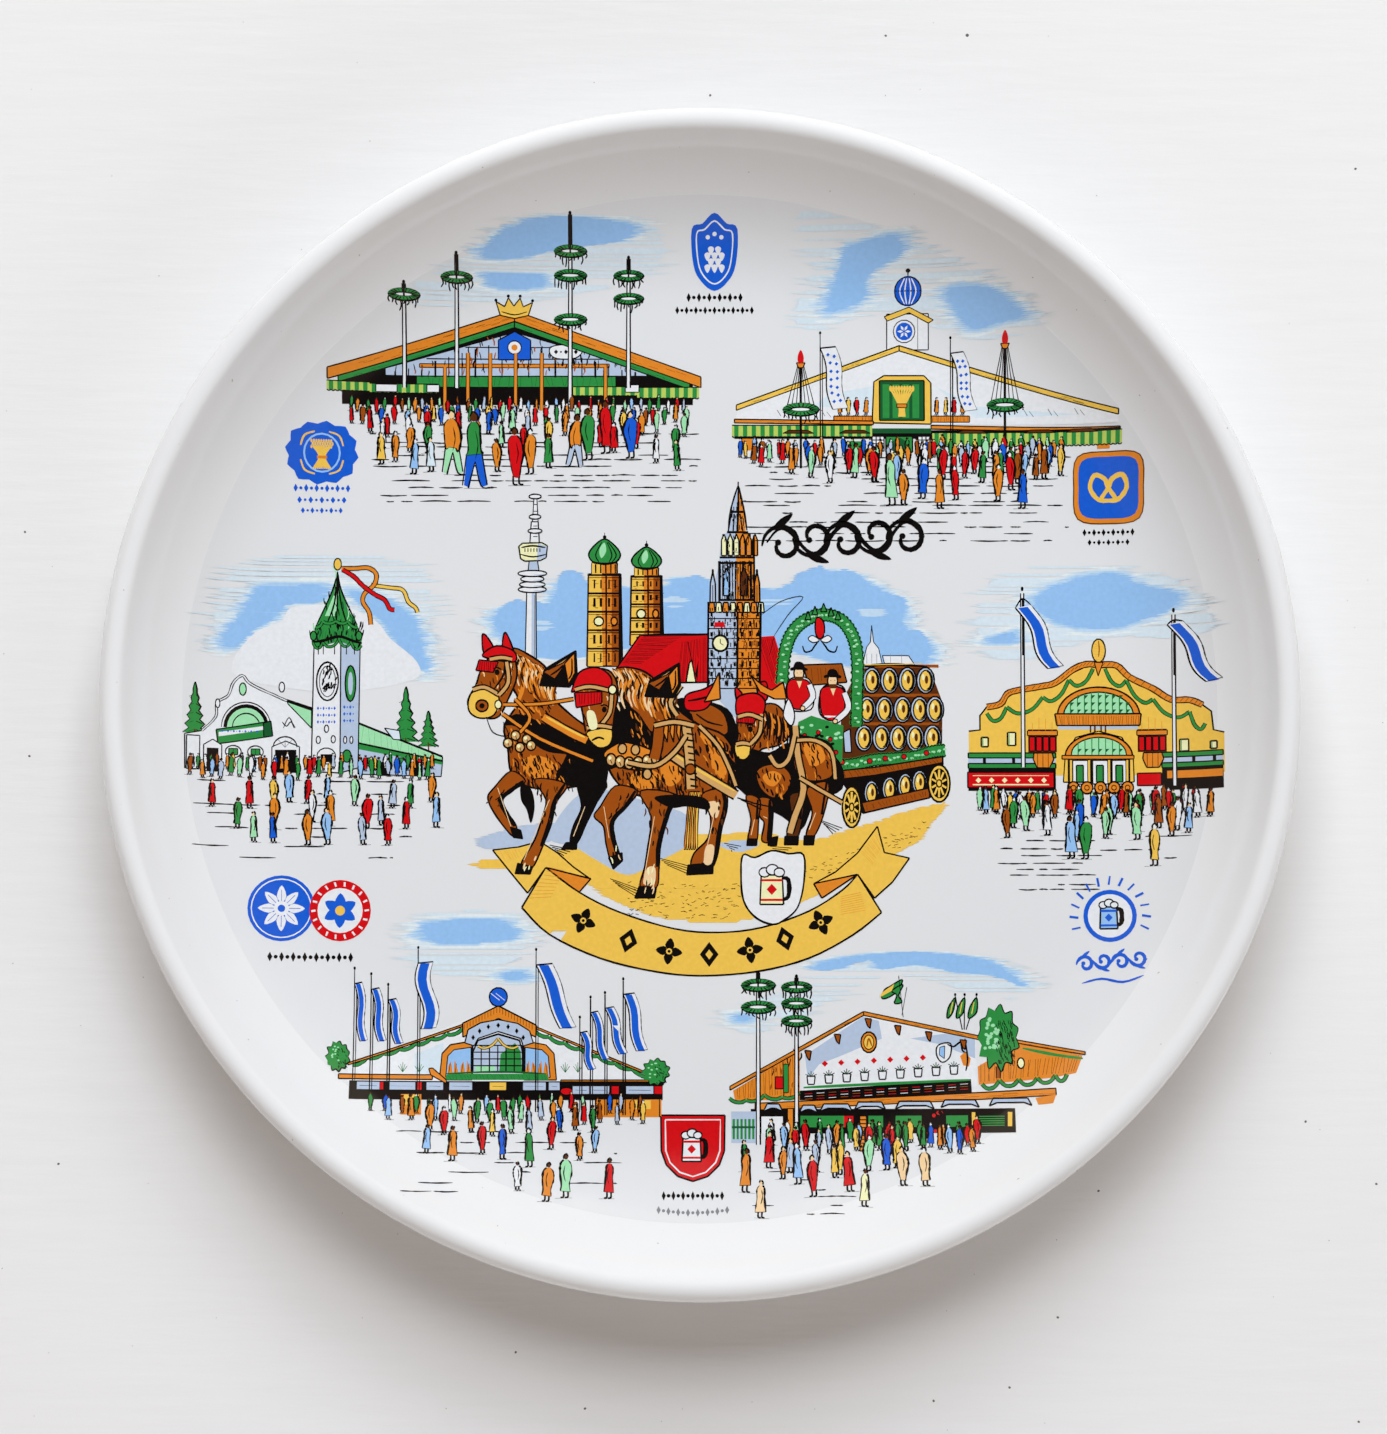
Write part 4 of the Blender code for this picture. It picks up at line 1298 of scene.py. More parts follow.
    ground(pen, -82, -44, -23.6, -11.5, 8, 0.3)
    crowd(pen, (-81.5, -42.5, -9.4), (-82, -42.5, -10.6), 2, (2.6, 3.2))
    crowd(pen, (-79.5, -41.5, -15.0), (-76, -42.5, -18.2), 2, (4.8, 5.2), 1.3)
    crowd(pen, (-73, -46, -21.2), (-73, -48, -21.6), 1, (5.4, 5.4), 1.2)
    return pen


def scene_east():
    """A yellow hall with a curved gable under garlands, and two streaming flags."""
    pen = Pen(14)
    brushed(pen, "wash", [(44.1, 16.1), (47.5, 21.8), (58.9, 24.2), (72.2, 22.8), (78.9, 18.5),
            (81.7, 13.7), (76.9, 11.8), (65.5, 12.2), (53.2, 8.9), (45.6, 9.4)], 4.0, 0.3, 0.5)
    sky(pen, [(53.2, 18.8), (59.8, 21.7), (66.5, 22.5), (71.2, 20.4), (76.5, 19), (75.9, 16.6),
            (69.3, 14.2), (63.6, 13.2), (57.4, 14.2), (53.6, 16.1)])
    sky(pen, [(45.8, 11.8), (50.3, 13.1), (50.6, 11.3), (46.5, 11)])
    wall = [(42.7, -3.1), (44.5, -2.9), (44.5, -0.6), (45.6, 0.8), (47.8, 1.3), (48.9, 2.9),
            (50.6, 3.5), (54.1, 4.1), (56.6, 4.7), (59.4, 6.8), (61.6, 7.7), (63.6, 7.6),
            (66.4, 7.5), (68.5, 5.6), (72.2, 3.7), (75, 1.9), (77.9, 1.7), (79.9, 0.8),
            (81.2, -0.3), (81.5, -3.3), (83.1, -3.8), (83.1, -10.2), (42.7, -10.2)]
    pen.fill("yellow", wall)
    pen.line(wall[:5], 0.28, ends=0.9, curved=False)
    pen.line(wall[17:21], 0.28, ends=0.9, curved=False)
    swags(pen, [(45.6, -0.2), (48.8, 0.8), (54.6, 2.4), (58.8, 5.2), (62.7, 7)], 1.7, "green", 0.42)
    swags(pen, [(64.6, 7), (68, 5.1), (72.2, 2), (77.9, -0.2), (80.3, -2.2)], 1.7, "green", 0.42)
    strap(pen, wall[3:18], 0.75, "ochre", 0.2)
    rope = smooth(wall[3:18], steps=7)
    for x, y in rope[::2]:
        pen.line([(x - 0.25, y - 0.25), (x + 0.25, y + 0.3)], 0.16)
    pen.disc("yellow", 63.6, 9.9, 1.1, 1.9, 0.25)
    hatch(pen, ((62.7, 11.3), (62.7, 8.4)), ((64.5, 10.7), (64.5, 8.2)), 7, 0.16, "ochre")
    pen.line([(63.6, 11.5), (63.7, 10.2), (63.6, 8.9)], 0.2, "brown")
    pen.shape("ochre", [(62.9, 8), (64.3, 8), (63.5, 5.8)], 0.2)
    arch = ellipse_points(63.5, -0.7, 6.6, 4.7, 15, 0.0, math.pi)
    pen.fill("ochre", arch)
    pen.line(arch, 0.28, ends=0.9)
    inner = ellipse_points(63.5, -0.7, 5.6, 3.9, 15, 0.0, math.pi)
    pen.fill("light_green", inner)
    pen.line(inner, 0.24, ends=0.9)
    for k in range(1, 10):
        x = 63.5 - 5.6 + k * 1.12
        height = 3.9 * math.sqrt(max(0.0, 1 - ((x - 63.5) / 5.6) ** 2))
        pen.line([(x, -0.7), (x, -0.7 + height)], 0.2, "green", 0.9)
        for j in range(3):
            if 0.5 + j * 1.1 < height:
                pen.fill("dark_green", [(x, -0.7 + 0.4 + j * 1.15),
                        (x + 0.62, -0.7 + 1.1 + j * 1.15), (x, -0.7 + 1.1 + j * 1.15)])
    pen.shape("ochre", [(56.5, -0.3), (70.3, -0.3), (70.1, -2.2), (56.8, -2.2)], 0.28)
    hatch(pen, ((56.6, -0.6), (70.1, -0.6)), ((56.8, -2.1), (70, -2.1)), 34, 0.26)
    pen.box("grey_blue", 57, -2.8, 69.8, -2.3)
    for x in (62.2, 62.9, 63.9, 64.6):
        pen.line([(x, -2.3), (x, -3.3)], 0.3, "dark_brown", 0.9)
    pen.shape("yellow", [(57.8, -11.3), (58.1, -7.3), (59.8, -4.1), (63.5, -3.1), (67.2, -4.1),
            (69, -7.3), (69.1, -11.3)], 0.22)
    arch = ellipse_points(63.5, -7.3, 5.4, 3.8, 15, 0.0, math.pi)
    pen.fill("ochre", arch)
    pen.line(arch, 0.28, ends=0.9)
    inner = ellipse_points(63.5, -6.9, 4.4, 2.8, 13, 0.0, math.pi)
    pen.fill("light_green", inner)
    pen.line(inner, 0.22, ends=0.9)
    for k in range(1, 8):
        x = 63.5 - 4.4 + k * 1.1
        height = 2.8 * math.sqrt(max(0.0, 1 - ((x - 63.5) / 4.4) ** 2))
        pen.line([(x, -6.9), (x, -6.9 + height)], 0.18, "green", 0.9)
        pen.fill("dark_green", [(x, -6.9 + 0.3), (x + 0.6, -6.9 + 0.95), (x, -6.9 + 0.95)])
    pen.box("ochre", 57.6, -7.6, 69.1, -7, 0.22)
    pen.box("ink", 58.5, -11.7, 68.5, -7.7)
    for x in (59.4, 62.6, 65.7):
        pen.box("white", x, -11.5, x + 2.3, -7.9)
        pen.box("green", x + 0.5, -11.3, x + 1.6, -8.6, 0.25)
    for x in (59, 61.9, 65.1, 68):
        pen.box("yellow", x - 0.2, -11.5, x + 0.25, -7.7, 0.15)
    for left, right in ((42.6, 56.6), (73.5, 82.9)):
        pen.box("green", left, -7.4, right, -6.6, 0.25)
        pen.box("grey_blue", left, -8.2, right, -7.5)
        pen.box("green", left, -9.1, right, -8.3, 0.25)
        pen.box("ink", left, -12.7, right, -9.2)
        for k in range(3):
            x = left + (right - left) * (k + 0.5) / 3
            pen.box("ink", x, -8.2, x + 0.5, -7.5)
    pen.box("ochre", 74.3, -10.8, 82.8, -9.6)
    pen.box("red", 42.5, -12.2, 56.3, -9.7, 0.25)
    pen.box("cream", 43.3, -11.8, 55.5, -11.6)
    pen.box("cream", 43.3, -10.3, 55.5, -10.2)
    for k in range(6):
        own = pen.at(44.2 + k * 2.1, -11)
        own.fill("cream", [(-0.45, 0), (0, -0.45), (0.45, 0), (0, 0.45)])
    pen.box("red", 69.6, -11.9, 73.4, -9.9, 0.25)
    for x in (52.2, 69.7):
        pen.box("dark_brown", x, -6.5, x + 4.6, -2.8)
        pen.box("ochre", x - 0.1, -3.8, x + 4.7, -3, 0.2)
        for k in range(4):
            pen.box("red", x + 0.2 + k * 1.1, -6.3, x + 1.1 + k * 1.1, -4, 0.22)
        pen.shape("ochre", [(x + 0.9, -6.6), (x + 3.8, -6.6), (x + 4.1, -7.6), (x + 3.4, -9),
                (x + 1.4, -9), (x + 0.8, -7.6)], 0.25)
        for k in range(3):
            pen.line([(x + 1.5 + k * 0.85, -6.7), (x + 1.5 + k * 0.85, -8.9)], 0.2)
        for k in range(4):
            tall = (1.2, 2.1, 1.9, 1.4)[k]
            pen.line([(x + 0.7 + k * 1.05, -3), (x + 0.7 + k * 1.05, -3 + tall)], 0.26, "ochre",
                    0.3)
    for x0, y0, x1, y1 in ((44.7, -5.6, 45.8, -4.1), (48.9, -5.4, 50.2, -3.3),
            (76.3, -6.5, 77.7, -4.6), (81, -6.3, 82, -5.1)):
        pen.box("cream", x0, y0, x1, y1, 0.3)
        pen.line([(x0 + 0.25, y0), (x0 + 0.25, y1)], 0.3, "green")
    for k in range(5):
        pen.disc("ochre", 59.4 + k * 2.16, -12.2, 0.95, 0.98, 0.28)
        pen.disc("ochre", 59.4 + k * 2.16, -12.2, 0.38, 0.4, 0.16, 10)
    for x, low, top, flag in ((51.4, -8.9, 19.2, ((50.3, 16.8), (56.1, 7))),
            (75.5, -12, 15.5, ((74.5, 13.9), (81.1, 4.5)))):
        pen.box("white", x - 0.3, low, x + 0.3, top)
        pen.line([(x - 0.3, low), (x - 0.25, top)], 0.2, ends=0.9)
        pen.line([(x + 0.3, low), (x + 0.25, top)], 0.26, ends=0.9)
        pen.line([(x + 0.1, (low + top) / 2 + 4), (x + 0.1, top - 1)], 0.55, ends=0.6)
        pen.oval("ink", x, top + 0.7, 0.24, 0.4, 8)
        (ax, ay), (bx, by) = flag
        left, middle, right = [], [], []
        for k in range(9):
            t = k / 8
            px = ax + (bx - ax) * (t ** 1.25) + 0.9 * math.sin(t * 5.5)
            py = ay + (by - ay) * t
            left.append((px, py))
            middle.append((px + 1.95, py + 0.2))
            right.append((px + 2.5, py + 0.5))
        pen.fill("white", left + right[::-1])
        pen.fill("blue", [(px + 0.45, py) for px, py in left] + middle[::-1])
        pen.line(left, 0.28, ends=0.8)
        pen.line(right, 0.16, ends=0.5, rough=0.5)
        pen.line([left[0], (x, top - 0.9), right[0]], 0.28)
        pen.line([left[-1], right[-1]], 0.26)
    ground(pen, 45.3, 65.5, -28.6, -20.7, 8, 0.9)
    ground(pen, 59.8, 78.9, -26.7, -20.3, 5, 0.5)
    crowd(pen, (43.9, 80.8, -16.2), (43.9, 80.8, -16.7), 2, (3.9, 4.2))
    crowd(pen, (47.9, 79.8, -19.1), (47.9, 79.8, -20.3), 2, (5.0, 5.4), 1.6)
    for x, y, coat in ((59.1, -23.5, "sky"), (61.3, -23.6, "green"), (72.2, -24.8, "yellow")):
        person(pen, x, y, 6.8, coat)
    return pen


def scene_south_west():
    """A white tent with a glazed middle gable and nine streamers."""
    pen = Pen(15)
    brushed(pen, "wash", [(-47.6, -35.6), (-43.9, -32.4), (-31.2, -32.2), (-27.5, -35.6),
            (-29.4, -39.3), (-36.6, -42.5), (-44.8, -41.1)], 4.0, 0.3, 0.5)
    sky(pen, [(-44.1, -33.9), (-32.1, -33.3), (-30, -36.5), (-43, -37.1)])
    sky(pen, [(-31.9, -41.8), (-28, -41.6), (-28.4, -43), (-31.5, -42.9)])
    pen.fill("white", [(-56.2, -56.9), (-32.5, -47), (-6.9, -58.9), (-6.9, -60.3), (-56.2, -59.4)])
    pen.fill("wash", [(-45.7, -54.8), (-41.2, -53), (-41.2, -58.5), (-45.7, -58.9)])
    swags(pen, [(-55.5, -56.6), (-53.2, -55.4), (-50.7, -54.7), (-48.2, -54), (-45.7, -53.2),
            (-43.2, -52.3), (-40.7, -51.6), (-38.2, -50.8)], 0.4, "green", 0.45)
    swags(pen, [(-26.9, -50.9), (-24.4, -52), (-21.9, -53), (-19.4, -53.9), (-16.6, -55.1),
            (-13.9, -56.2), (-11.2, -57.1), (-8.2, -58.5)], 0.4, "green", 0.45)
    roof_edge(pen, [(-56.2, -56.3), (-38, -50)], 0.35, "ochre", 6)
    roof_edge(pen, [(-27, -50.2), (-6.9, -58.5)], 0.35, "ochre", 6)
    for side in (-1, 1):
        own = pen.at(-32.5, -58.9, 1.0, side)
        own.shape("ochre", [(-9.3, 0), (-8.9, 4.2), (-7.6, 5.6), (-4.1, 6.2), (-4.1, 0)], 0.24)
        own.shape("sky", [(-8.3, 0.4), (-8.0, 3.8), (-7.0, 4.8), (-4.3, 5.2), (-4.3, 0.4)], 0.18)
        for k in range(4):
            own.fill("ochre", [(-8.1 + k, 0.4), (-7.9 + k, 2.2 + k % 2), (-7.5 + k, 3 - k % 2),
                    (-7.1 + k, 0.4)])
            own.line([(-7.9 + k, 0.5), (-7.6 + k, 2.6)], 0.2)
        own.line([(-4.1, 0), (-4.1, 6.4)], 0.3, ends=0.9)
    pen.shape("ochre", [(-38.2, -49.9), (-32.5, -47.1), (-26.4, -50.2), (-26.5, -52.1),
            (-32.5, -49.1), (-38.1, -52.1)], 0.26)
    for k in range(12):
        for side in (-1, 1):
            x = -32.5 + side * (k + 0.5) * 0.47
            y = -47.4 - (k + 0.5) * 0.24
            pen.line([(x, y + 0.15), (x, y - 0.7)], 0.15)
    pen.shape("grey_blue", [(-37.8, -53), (-37.3, -50.9), (-35.3, -49.8), (-32.5, -49.3),
            (-29.4, -49.9), (-27.5, -51.1), (-26.9, -53), (-28.5, -53.5), (-28.9, -52.3),
            (-32.5, -51.2), (-35.7, -52.3), (-36.3, -53.5)], 0.24)
    for k in range(7):
        angle = math.radians(150 - k * 20)
        x, y = -32.5 + 4.6 * math.cos(angle), -54.1 + 3.9 * math.sin(angle)
        pen.fill("ink", [(x - 0.3, y), (x, y - 0.45), (x + 0.3, y), (x, y + 0.45)])
    window = [(-36.5, -57.7), (-36.5, -54.4), (-35.7, -52.6), (-32.5, -51.6), (-29.1, -52.6),
            (-28.6, -54.4), (-28.6, -57.7)]
    pen.fill("grey_blue", window)
    pen.fill("green", [(-32.3, -57.7), (-32.1, -54.8), (-29.8, -53), (-28.9, -54.4),
            (-28.7, -57.7)])
    pen.fill("light_green", [(-36.1, -57.7), (-36.1, -56.6), (-33, -56.6), (-33, -57.7)])
    lattice(pen, -36.5, -57.7, -28.6, -53.4, 6, 4, 0.22)
    pen.line(window, 0.3, ends=0.9, curved=False)
    swags(pen, [(-35.7, -53.5), (-32.5, -52.3), (-29.3, -53.5)], 0.8, "yellow", 0.25)
    pen.fill("green", [(-41, -58.9), (-40.5, -57.9), (-24.8, -57.9), (-24.4, -58.9)])
    hatch(pen, ((-40.7, -58.1), (-24.8, -58.1)), ((-40.3, -58.9), (-24.5, -58.9)), 26, 0.26,
            "dark_green")
    pen.line([(-40.7, -57.9), (-32.5, -57.6), (-24.8, -57.9)], 0.3, "dark_green")
    pen.disc("blue", -32.5, -45.7, 1.45, 1.5, 0.24)
    for k in (-0.5, 0.3):
        pen.line([(-32.5 + k - 0.7, -45.7 + 0.6), (-32.5 + k + 0.7, -45.7 - 0.5)], 0.22, "white")
    for x0, x1, y in ((-57.6, -42.9, -58.1), (-22.5, -6.2, -58.9)):
        pen.box("ochre", x0, y - 0.75, x1, y, 0.24)
    pen.box("ink", -55.9, -62.1, -6.3, -59.1)
    pen.shape("ochre", [(-43.5, -57.1), (-42.9, -57), (-40.7, -58.9), (-40.7, -59.5),
            (-43.2, -58.1)], 0.2)
    pen.box("ochre", -47.8, -64.5, -44.6, -61.2)
    pen.box("ochre", -17.1, -64.8, -6.5, -62)
    pen.box("yellow", -47.3, -62.9, -44.9, -61.3)
    pen.box("yellow", -10.7, -63.5, -8.2, -62.1)
    for k in range(4):
        pen.line([(-17 + k * 3.4, -64.8), (-17 + k * 3.4, -61.4)], 0.35)
    for left, right, colour in ((-54.7, -51.2, "grey_blue"), (-49.8, -45.6, "grey_blue"),
            (-51.1, -50.6, "red"), (-45.3, -44.6, "red"), (-43.8, -41.2, "grey_blue"),
            (-40.2, -36.6, "grey_blue"), (-33.8, -31.2, "yellow"), (-28.5, -24.9, "grey_blue"),
            (-24.4, -22.7, "grey_blue"), (-20.6, -18, "grey_blue"), (-17.7, -14.8, "grey_blue"),
            (-14.4, -13.3, "red"), (-12.1, -7.8, "grey_blue"), (-7.6, -6.4, "red")):
        drop = 0.0 if left < -22.5 else 0.6
        pen.box(colour, left, -60.5 - drop, right, -59.3 - drop)
        if colour != "red":
            pen.line([(left + 0.4, -59.9 - drop), (right - 0.4, -59.95 - drop)], 0.2, ends=0.3,
                    rough=0.6)
    pen.oval("red", -21.6, -60.7, 0.9, 0.5)
    for x in (-47.6, -45, -21.8, -19.8):
        for k in range(-2, 3):
            pen.line([(x, -57.7), (x + k * 0.35, -57.7 + 1.6 - abs(k) * 0.3)], 0.2,
                    "green" if k % 2 else "dark_green")
    bush(pen, -57.8, -55.3, 1.7, 2.3)
    bush(pen, -7.4, -57.6, 2.0, 2.0)
    streamer(pen, (-44.1, -40.3), (-43.6, -50.8), 2.4, -1.0, False, -63)
    streamer(pen, (-25.2, -40.6), (-21.4, -50.7), 2.6, 0.4, False, -64)
    for top, bottom, width, low in (((-54.8, -43.6), (-53.8, -52.8), 1.2, -61.9),
            ((-52.1, -44.5), (-50.9, -52.8), 1.3, -62.8), ((-49.4, -46.2), (-48.2, -53.2), 1.3,
            -63.5), ((-11.7, -45.3), (-9.6, -54.3), 1.8, -64.5), ((-14.8, -47.5), (-12.6, -54.8),
            1.4, -64.5), ((-17.2, -48.2), (-15.4, -55.7), 1.2, -64.3),
            ((-18.9, -51.4), (-17.5, -57.3), 1.2, -64)):
        streamer(pen, top, bottom, width, 0.5, False, low)
    ground(pen, -50, -10, -77, -67, 7, 0.35)
    crowd(pen, (-52.8, -9.1, -64.2), (-49.8, -9.1, -65.6), 2, (3.0, 3.7), 0.9)
    crowd(pen, (-43.5, -13.4, -67.3), (-43.5, -14.4, -68.8), 1, (4.2, 4.4), 1.8)
    for x, y, height, coat in ((-43.6, -70.6, 4.6, "sky"), (-39.5, -71.8, 5.6, "ochre"),
            (-34.8, -70.7, 5.2, "red"), (-31.7, -71.5, 5.6, "blue"), (-27.3, -72.7, 6.2, "green"),
            (-24, -69.9, 5.2, "red"), (-19.4, -71.6, 4.4, "ochre"), (-17.1, -70.4, 4.2, "sky"),
            (-29.2, -76.5, 4.6, "white"), (-24.6, -78.2, 6.2, "ochre"),
            (-21.6, -77.6, 7.0, "light_green"), (-14.8, -77.7, 6.4, "red")):
        person(pen, x, y, height, coat)
    return pen


def scene_south_east():
    """A timber barn with a flower balcony, a tree, leafy poles and small flags."""
    pen = Pen(16)
    brushed(pen, "wash", [(4.9, -48.1), (16.3, -43.1), (25.9, -39.9), (42.2, -39.4), (53.1, -44.5),
            (46.8, -45.8), (31.3, -42.2), (22.2, -45.4), (10.4, -50.9), (5.4, -50.9)], 4.0, 0.3,
            0.5)
    sky(pen, [(17.2, -41), (22.2, -39.4), (34, -38.5), (45.9, -39.9), (51.6, -44), (46.8, -42.3),
            (40.4, -41.7), (34, -40.5), (28.6, -41.2), (26.3, -39.8), (20.4, -41.4)])
    sky(pen, [(4.9, -48.8), (7.7, -48.4), (7.7, -49.5), (5.4, -49.7)])
    pen.fill("white", [(16.3, -54.5), (25.6, -48.1), (43.6, -51.8), (43.6, -60), (16.3, -60.9)])
    pen.fill("grey_blue", [(16.3, -55), (25.6, -48.8), (28.1, -49.5), (28.6, -52.3), (22.2, -55),
            (18.6, -56.4), (16.8, -58.7)])
    pen.fill("grey_blue", [(33.1, -52.3), (40.4, -51.3), (43.4, -52.3), (43.4, -55.5),
            (37.7, -53.2)])
    pen.fill("ochre", [(4.9, -60.6), (15.5, -54.2), (15.5, -62.1), (5.2, -62.1)])
    hatch(pen, ((5.4, -60.3), (15.4, -54.5)), ((5.4, -61.9), (15.4, -60.9)), 24, 0.24)
    fur(pen, [(10.4, -57.7), (15.5, -54.5), (15.5, -61.9), (10.4, -61.9)], 30, 88, 1.6,
            ("ink", "brown"), 0.26)
    pen.box("green", 12.9, -60.9, 13.7, -56.4, 0.15)
    pen.box("red", 11.6, -60.3, 12.9, -58.4, 0.2)
    pen.fill("ochre", [(43.8, -56.8), (50.4, -52.9), (60.2, -55.2), (59.1, -58), (55.4, -58.7),
            (43.9, -59.7)])
    hatch(pen, ((44, -56.4), (60, -55.1)), ((44, -59.3), (59.3, -57.7)), 30, 0.26)
    roof_edge(pen, [(49.7, -52.5), (60.6, -54.6)], 0.5, "ochre", 6)
    pen.line([(50.9, -53.9), (55.9, -55), (60.2, -55.7)], 0.5, "green")
    pen.disc("cream", 50.6, -56.3, 0.55, 0.85, 0.25)
    swags(pen, [(44.4, -59.6), (47.2, -59), (50.2, -58.9), (53.1, -58.7), (55.9, -58.3),
            (57.7, -58.2)], 1.0, "green", 0.42)
    pen.box("ink", 15.5, -62.1, 42.8, -60.6)
    pen.fill("ink", [(15.5, -60.6), (42.7, -58.8), (42.8, -60.6), (42.8, -62.1), (15.5, -62.1)])
    for row in range(3):
        for k in range(14):
            x = 16.3 + k * 1.9
            y = -61.1 - row * 0.42 + k * 0.115
            pen.line([(x, y), (x + 1.2, y + 0.07)], 0.2, ("red", "white", "brown")[(row + k) % 3])
    pen.line([(16.1, -60.1), (28.6, -59.5), (42.6, -58.9)], 0.5, "green")
    for k in range(9):
        x, y = 17.3 + k * 2.84, -59.6 + k * 0.2
        pen.shape("white", [(x - 0.65, y + 1.3), (x + 0.65, y + 1.3), (x + 0.5, y), (x - 0.5, y)],
                0.24)
        for j in range(-2, 3):
            pen.line([(x, y + 1.2), (x + j * 0.45, y + 2.1 - abs(j) * 0.25)], 0.3,
                    "dark_green" if j % 2 else "ink")
    pen.disc("ochre", 26.5, -52.9, 1.25, 1.65, 0.28)
    pen.disc("yellow", 26.5, -52.9, 0.8, 1.15, 0.16)
    pen.line([(26.2, -53.6), (26.5, -52.3), (27, -53.5)], 0.26, "brown")
    pen.shape("white", [(37.5, -53.4), (39.5, -53.1), (39.4, -55.2), (38.2, -56.1), (37.3, -55)],
            0.24, curved=True)
    pen.shape("sky", [(37.8, -53.7), (38.6, -53.5), (38.5, -55.5), (37.7, -54.9)], 0.14)
    pen.line([(39, -53.2), (40, -53.6), (41.1, -52.9), (41.4, -54.2), (42.2, -54.8)], 0.34)
    pen.fill("ochre", [(41, -55.1), (41.8, -54.5), (42.7, -55.5), (42.4, -56.8), (41.5, -56.6)])
    pen.line([(41.8, -52.3), (42.2, -55.5), (41.9, -57.5)], 0.3)
    for k in range(7):
        x = 19.5 + k * 2.6
        y = -56.3 + k * 0.16
        pen.fill("red", [(x - 0.5, y), (x, y - 0.5), (x + 0.5, y), (x, y + 0.5)])
    roof_edge(pen, [(4.4, -59.9), (25.7, -48), (44.1, -51.9)], 0.62, "ochre", 24)
    for x, y in ((16.8, -54.2), (21.5, -51.6), (26.4, -49.1), (31.1, -50.2), (36, -51.2),
            (41.5, -52.5)):
        pen.shape("brown", [(x - 0.5, y), (x + 0.55, y - 0.1), (x + 0.3, y - 1.6),
                (x - 0.1, y - 1.2)], 0.24)
    pen.box("ink", 7.7, -67.4, 49.5, -63.5)
    roof_edge(pen, [(8.4, -62.6), (55.9, -60.4)], 1.1, "ochre", 24)
    pen.fill("ochre", [(52.7, -61.9), (55.9, -61.4), (55.4, -62.8), (53.1, -63)])
    swags(pen, [(4.3, -61.8), (7, -62.1), (9.9, -61.3), (12.7, -61.6), (15.5, -60.9)], 0.5, "green",
            0.4)
    for left, right, top in ((9.7, 12.8, -62.7), (15.4, 18.4, -62.9), (18.7, 23.8, -62.7),
            (24.2, 29.1, -62.4), (30.7, 36.8, -62.3), (37.9, 43.9, -62.1), (45.5, 52.1, -61.9)):
        pen.shape("grey_blue", [(left, top - 1.2), (left + 0.6, top), (right - 0.6, top),
                (right, top - 1.2), (right - 1.2, top - 0.7), (left + 1.2, top - 0.7)], 0.28)
    for left, right in ((15.5, 22.6), (26.3, 28.8), (30.6, 34.9), (38.6, 42.2), (43.6, 47.9)):
        pen.box("green", left, -66.5, right, -64.5, 0.2)
    lattice(pen, 43.6, -66.4, 47.9, -64.6, 1, 5, 0.2)
    pen.box("white", 9.4, -67.4, 12.8, -64.7)
    pen.box("red", 22.5, -66.4, 24, -64.6)
    strap(pen, [(14, -63.5), (14, -69.2)], 0.8, "ochre", 0.16)
    strap(pen, [(43, -64.1), (43, -67.6)], 0.6, "yellow", 0.14)
    strap(pen, [(48.7, -64.1), (48.6, -66.4)], 0.7, "yellow", 0.14)
    pen.box("ochre", 25, -70.2, 26.1, -64.6, 0.22)
    lattice(pen, 25, -70.2, 26.1, -64.6, 1, 9, 0.2)
    pen.box("grey_blue", 4.6, -68.9, 8.5, -63.9)
    for k in range(6):
        pen.line([(5 + k * 0.62, -68.3), (5 + k * 0.62, -65.1)], 0.42, "green", 0.9)
    pen.line([(4.7, -66.4), (8.4, -66.4)], 0.4, "dark_green", 0.9)
    for k in range(26):
        x, y = 36.5 + pen.chance.uniform(-1.6, 1.6), -66 + pen.chance.uniform(-2.6, 2)
        pen.oval("ink" if k % 4 else "red", x, y, 0.3, 0.34, 6)
    strap(pen, [(47, -56.8), (47, -58.7)], 0.5, "brown", 0.14)
    bush(pen, 47, -52.2, 3.0, 4.7)
    for x0, x1, y in ((31.9, 28.6, -46.5), (32, 30.6, -47.3)):
        pen.shape("green", [(x0, y + 3.6), (x0 - 1.8, y + 2.6), (x1 + 0.4, y + 1.9), (x1, y + 0.6),
                (x1 + 1.2, y + 0.8), (x0 - 0.7, y + 1.9)], 0.24, curved=True)
    pen.fill("yellow", [(30.6, -43.6), (28.6, -45), (28.2, -45.8), (30.2, -44.7)])
    pen.line([(31.3, -42.3), (32, -48.9)], 0.24)
    pen.line([(32.6, -44.1), (31.8, -48.6)], 0.2)
    for x, lean in ((40.3, -1), (41.8, 0), (43.7, 1)):
        pen.line([(x, -45.6), (41.7 + lean * 0.3, -50.9)], 0.2, ends=0.9)
        pen.shape("green", [(x, -45.8), (x - 1.1, -47.4), (x - 1.3, -49.1),
                (x - 0.2 + lean * 0.2, -48.1)], 0.24, curved=True)
        pen.line([(x - 0.4, -46.5), (x - 0.8, -48.4)], 0.35, "yellow")
        pen.oval("ink", x, -45.3, 0.2, 0.25, 8)
    maypole(pen, 8.9, -69.2, -41.8, (-43.8, -47.3), 2.7)
    maypole(pen, 15, -68.8, -42.6, (-44.1, -46.7, -49.5), 2.4)
    ground(pen, 6, 30, -80.5, -71, 8, 0.4)
    crowd(pen, (9.9, 44.5, -69.2), (9.9, 44.5, -70.3), 2, (4.0, 4.4))
    crowd(pen, (6.5, 32.7, -73.3), (6.5, 31.3, -73.7), 1, (5.2, 5.2), 1.2)
